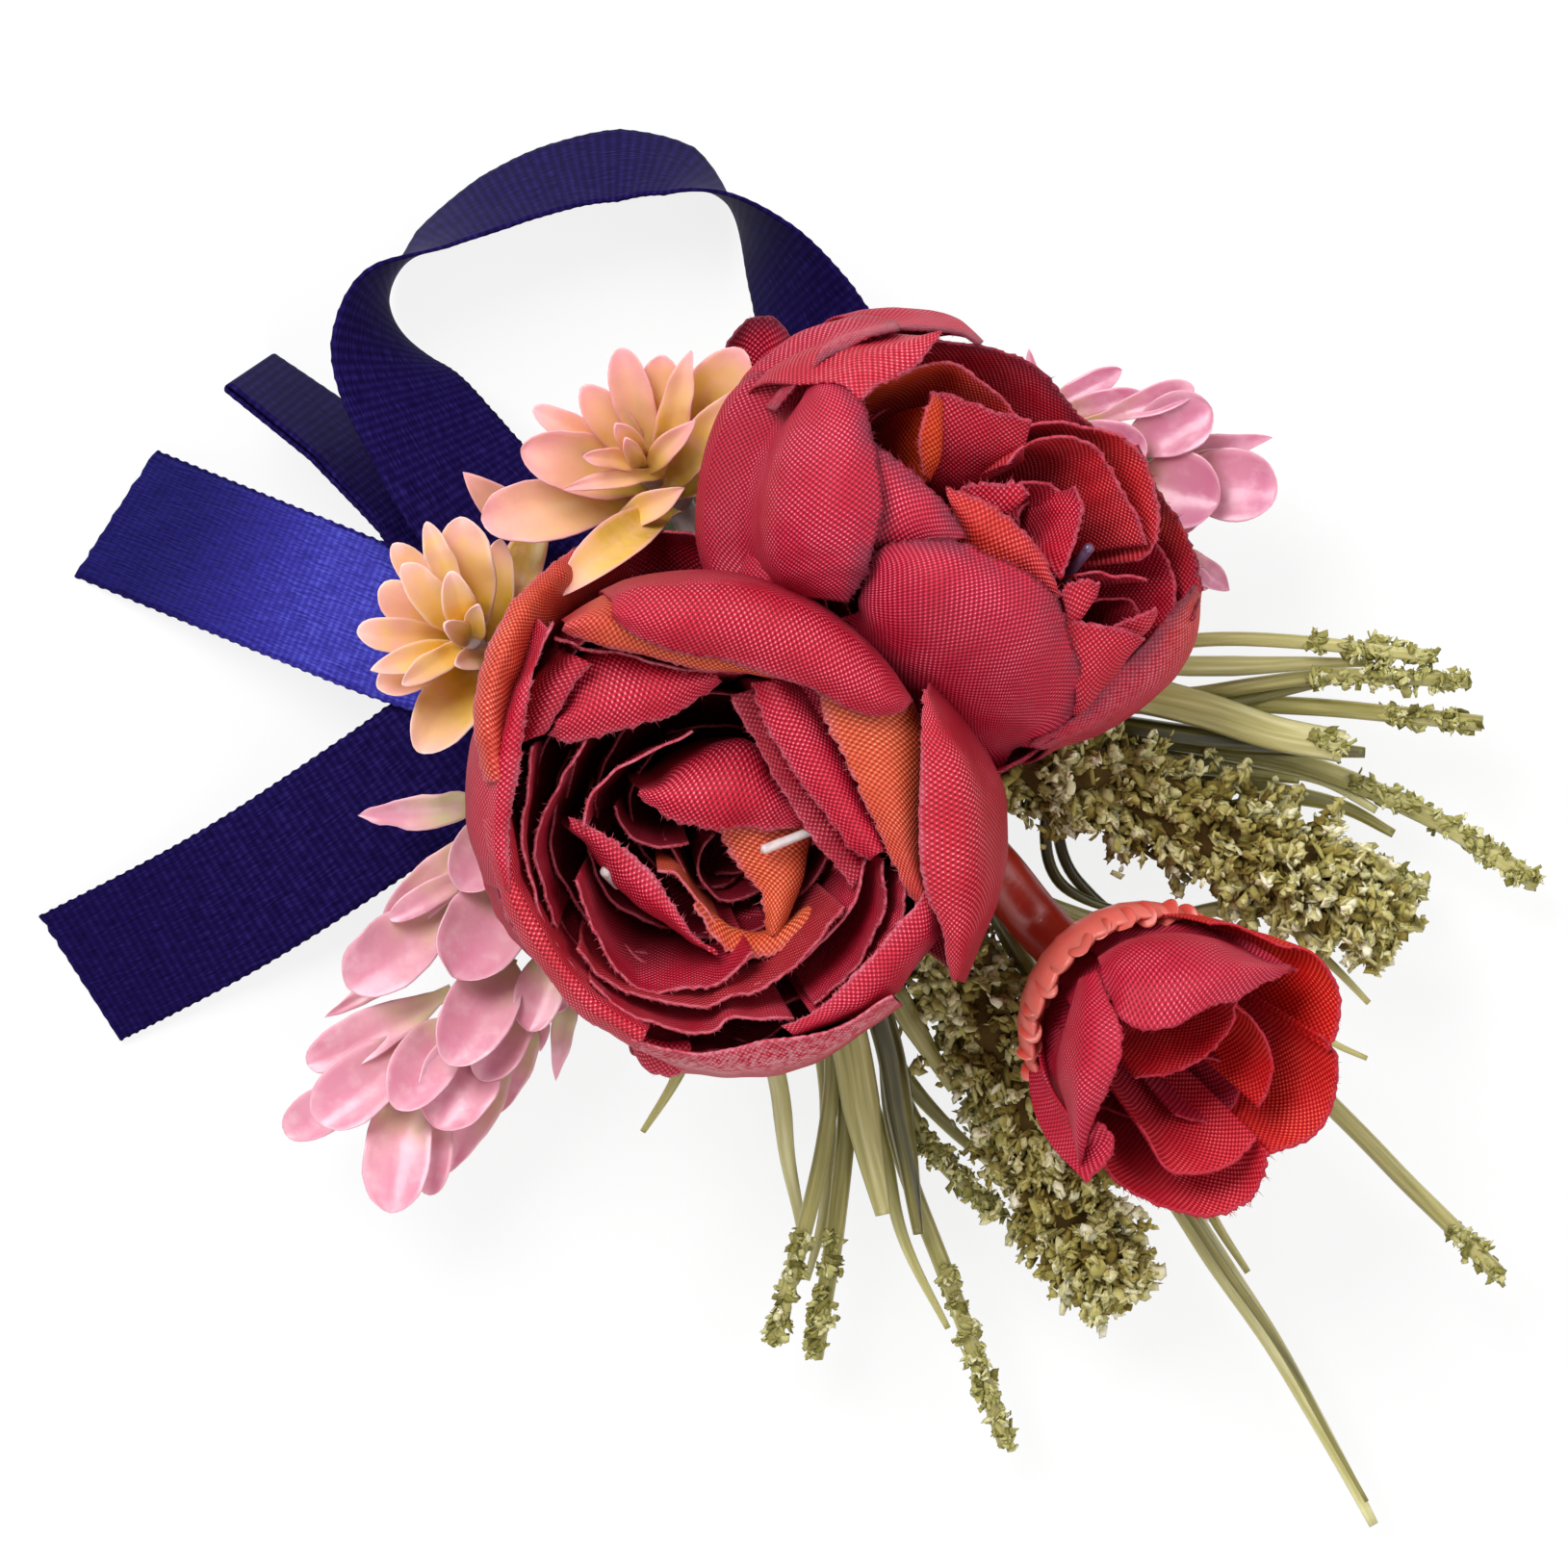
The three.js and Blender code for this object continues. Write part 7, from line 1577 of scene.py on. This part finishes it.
def felt_disc(piece, low, high, seed):
    """Felt pad: ellipses from near the middle of the underside out to the rim, round its edge by a half
    circle and back over the top, with a fuzzy relief on the edge."""
    middle, half = (low + high) / 2, (high - low) / 2
    bend = np.linspace(-math.pi / 2, math.pi / 2, 9)
    inset = np.concatenate([half[1] * np.array([0.98, 0.5]), FELT_EDGE * (1 - np.cos(bend)),
                            half[1] * np.array([0.5, 0.98])])[:, None]
    rise = np.concatenate([[-half[2]] * 2, half[2] * np.sin(bend), [half[2]] * 2])[:, None]
    c, s = (turned[None] for turned in circle(160))
    p = together((half[0] - inset) * c, (half[1] - inset) * s, rise)
    p[2:-2] += unit(p[2:-2]) * (ripple(p[2:-2], FUZZ, seed) * FUZZ_HEIGHT)[..., None]
    piece.tube(p + middle)


def backing(name, grain_mm, stretch, tones, depth_mm, dullest, sockets):
    """Materials of the back, each mottled by a noise. Felt is needle-punched polyester, matt and tangled
    with a fuzz; steel is nickel-plated drawn wire and strip, bright under faint lengthwise lines and dull
    smears; green is injection-moulded polyethylene with flow lines; tape is crepe, wound with laps."""
    material, tree = fresh(name)
    spots = node(tree, "TexCoord", out="Object")
    drawn = node(tree, "Mapping", {"Vector": spots, "Scale": stretch})
    grain = node(tree, "TexNoise", {"Vector": drawn, "Scale": 1 / (grain_mm * MM), "Detail": 4.0}, "Fac")
    slow = node(tree, "TexNoise", {"Vector": spots, "Scale": 0.3 / MM, "Detail": 2.0}, "Fac")
    tone = node(tree, "Math", {0: slow, 1: 0.4, 2: grain}, operation="MULTIPLY_ADD")
    tone = node(tree, "Math", {0: tone, 1: 0.2}, operation="SUBTRACT")
    shade = node(tree, "ValToRGB", {"Fac": tone}, stops=tones)
    rough = {"Value": slow, "From Min": 0.3, "From Max": 0.7, "To Min": dullest[0], "To Max": dullest[1]}
    rough = node(tree, "MapRange", rough)
    bump = node(tree, "Bump", {"Height": grain, "Distance": depth_mm * MM, "Strength": 0.8})
    own = {**sockets, "Base Color": shade, "Roughness": rough, "Normal": bump}
    node(tree, "OutputMaterial", {"Surface": node(tree, "BsdfPrincipled", own)})
    return material


felted = backing("needled_polyester_felt_olive", 0.35, (1, 1, 1), [(0.35, "252C18"), (0.65, "4A5430")],
                 0.15, (0.9, 1.0),
                 {"Specular IOR Level": 0.15, "Sheen Weight": 0.35, "Sheen Roughness": 0.6})
steel = backing("nickel_plated_steel_drawn", 0.12, (0.06, 1, 1), [(0.3, "B4B1A9"), (0.7, "DAD8D2")],
                0.01, (0.2, 0.34), {"Metallic": 1.0})
green = backing("moulded_polyethylene_green", 0.9, (1, 1, 0.3), [(0.3, "2E4A22"), (0.7, "4E6E34")],
                0.04, (0.36, 0.5), {"IOR": 1.5})
tape = backing("crepe_floral_tape_green", 0.35, (0.4, 1, 1), [(0.3, "24381A"), (0.7, "587840")],
               0.12, (0.5, 0.7), {"Specular IOR Level": 0.35})
felt = Piece()
felt_disc(felt, felt_low, felt_high, 91)
felt.make("felt_pad", felted, "felt", "felt_backing")

# CAD solids that are shown as they are
for material, names in [
        (steel, ["pin_bar", "pin_rivet", "pin_arm", "catch_rotor"]),
        (green, ["rose_a_calyx", "rose_b_calyx", "pink_sprig_left_stem", "pink_sprig_right_stem"]),
        (tape, ["stem_hub"]),
        (clear, ["rose_a_peg", "rose_b_peg"])]:
    for name in names:
        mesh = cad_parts[name].data
        mesh.materials.clear()
        mesh.materials.append(material)


def seen(tree):
    """1 for rays that show the background: from the camera, in a mirror or through clear plastic."""
    camera_ray = node(tree, "LightPath", out="Is Camera Ray")
    path = camera_ray.node.outputs
    both = node(tree, "Math", {0: camera_ray, 1: path["Is Glossy Ray"]}, operation="MAXIMUM")
    return node(tree, "Math", {0: both, 1: path["Is Transmission Ray"]}, operation="MAXIMUM")


# A pale sweep: white where it is seen, while a part of the lamps' shadow stays on it
FLOOR_HALF = 1.6
FLOOR_DROP = 0.02
SEEN_WHITE = 0.84
sweep_mesh = bpy.data.meshes.new("pale_sweep")
corners = ((-1, -1), (1, -1), (1, 1), (-1, 1))
sweep_mesh.from_pydata([(x * FLOOR_HALF, y * FLOOR_HALF, -FLOOR_DROP * MM) for x, y in corners], [],
                       [(0, 1, 2, 3)])
put("pale_sweep", sweep_mesh)
paper, tree = fresh("matt_white_paper")
lit = node(tree, "BsdfDiffuse", {"Color": dye("EEEEEE")})
white = node(tree, "Emission", {"Color": (1, 1, 1, 1), "Strength": 1.0})
share = node(tree, "Math", {0: seen(tree), 1: SEEN_WHITE}, operation="MULTIPLY")
node(tree, "OutputMaterial", {"Surface": node(tree, "MixShader", {0: share, 1: lit, 2: white})})
sweep_mesh.materials.append(paper)

world = bpy.data.worlds.new("studio")
bpy.context.scene.world = world
world.use_nodes = True
tree = world.node_tree
tree.nodes.clear()
soft = node(tree, "Background", {"Color": (1, 1, 1, 1), "Strength": 0.3})
blank = node(tree, "Background", {"Color": (1, 1, 1, 1), "Strength": 1.0})
node(tree, "OutputWorld", {"Surface": node(tree, "MixShader", {0: seen(tree), 1: soft, 2: blank})})

# Soft boxes, aimed at the corsage: name, place and size in metres, and power in watts
AIM = np.array([0.0, 0.0, 0.02])
for name, place, size, power in [
        ("key_box", (-0.35, 0.45, 0.75), 0.5, 8.6),
        ("fill_box", (0.55, 0.1, 0.6), 0.6, 2.8),
        ("front_box", (0.0, -0.6, 0.55), 0.6, 2.0)]:
    lamp = bpy.data.lights.new(name, "AREA")
    lamp.shape = "SQUARE"
    lamp.size = size
    lamp.energy = power
    box = put(name, lamp)
    box.location = place
    box.rotation_euler = Vector(AIM - np.array(place)).to_track_quat("-Z", "Y").to_euler()

bpy.context.scene.view_settings.view_transform = "Standard"
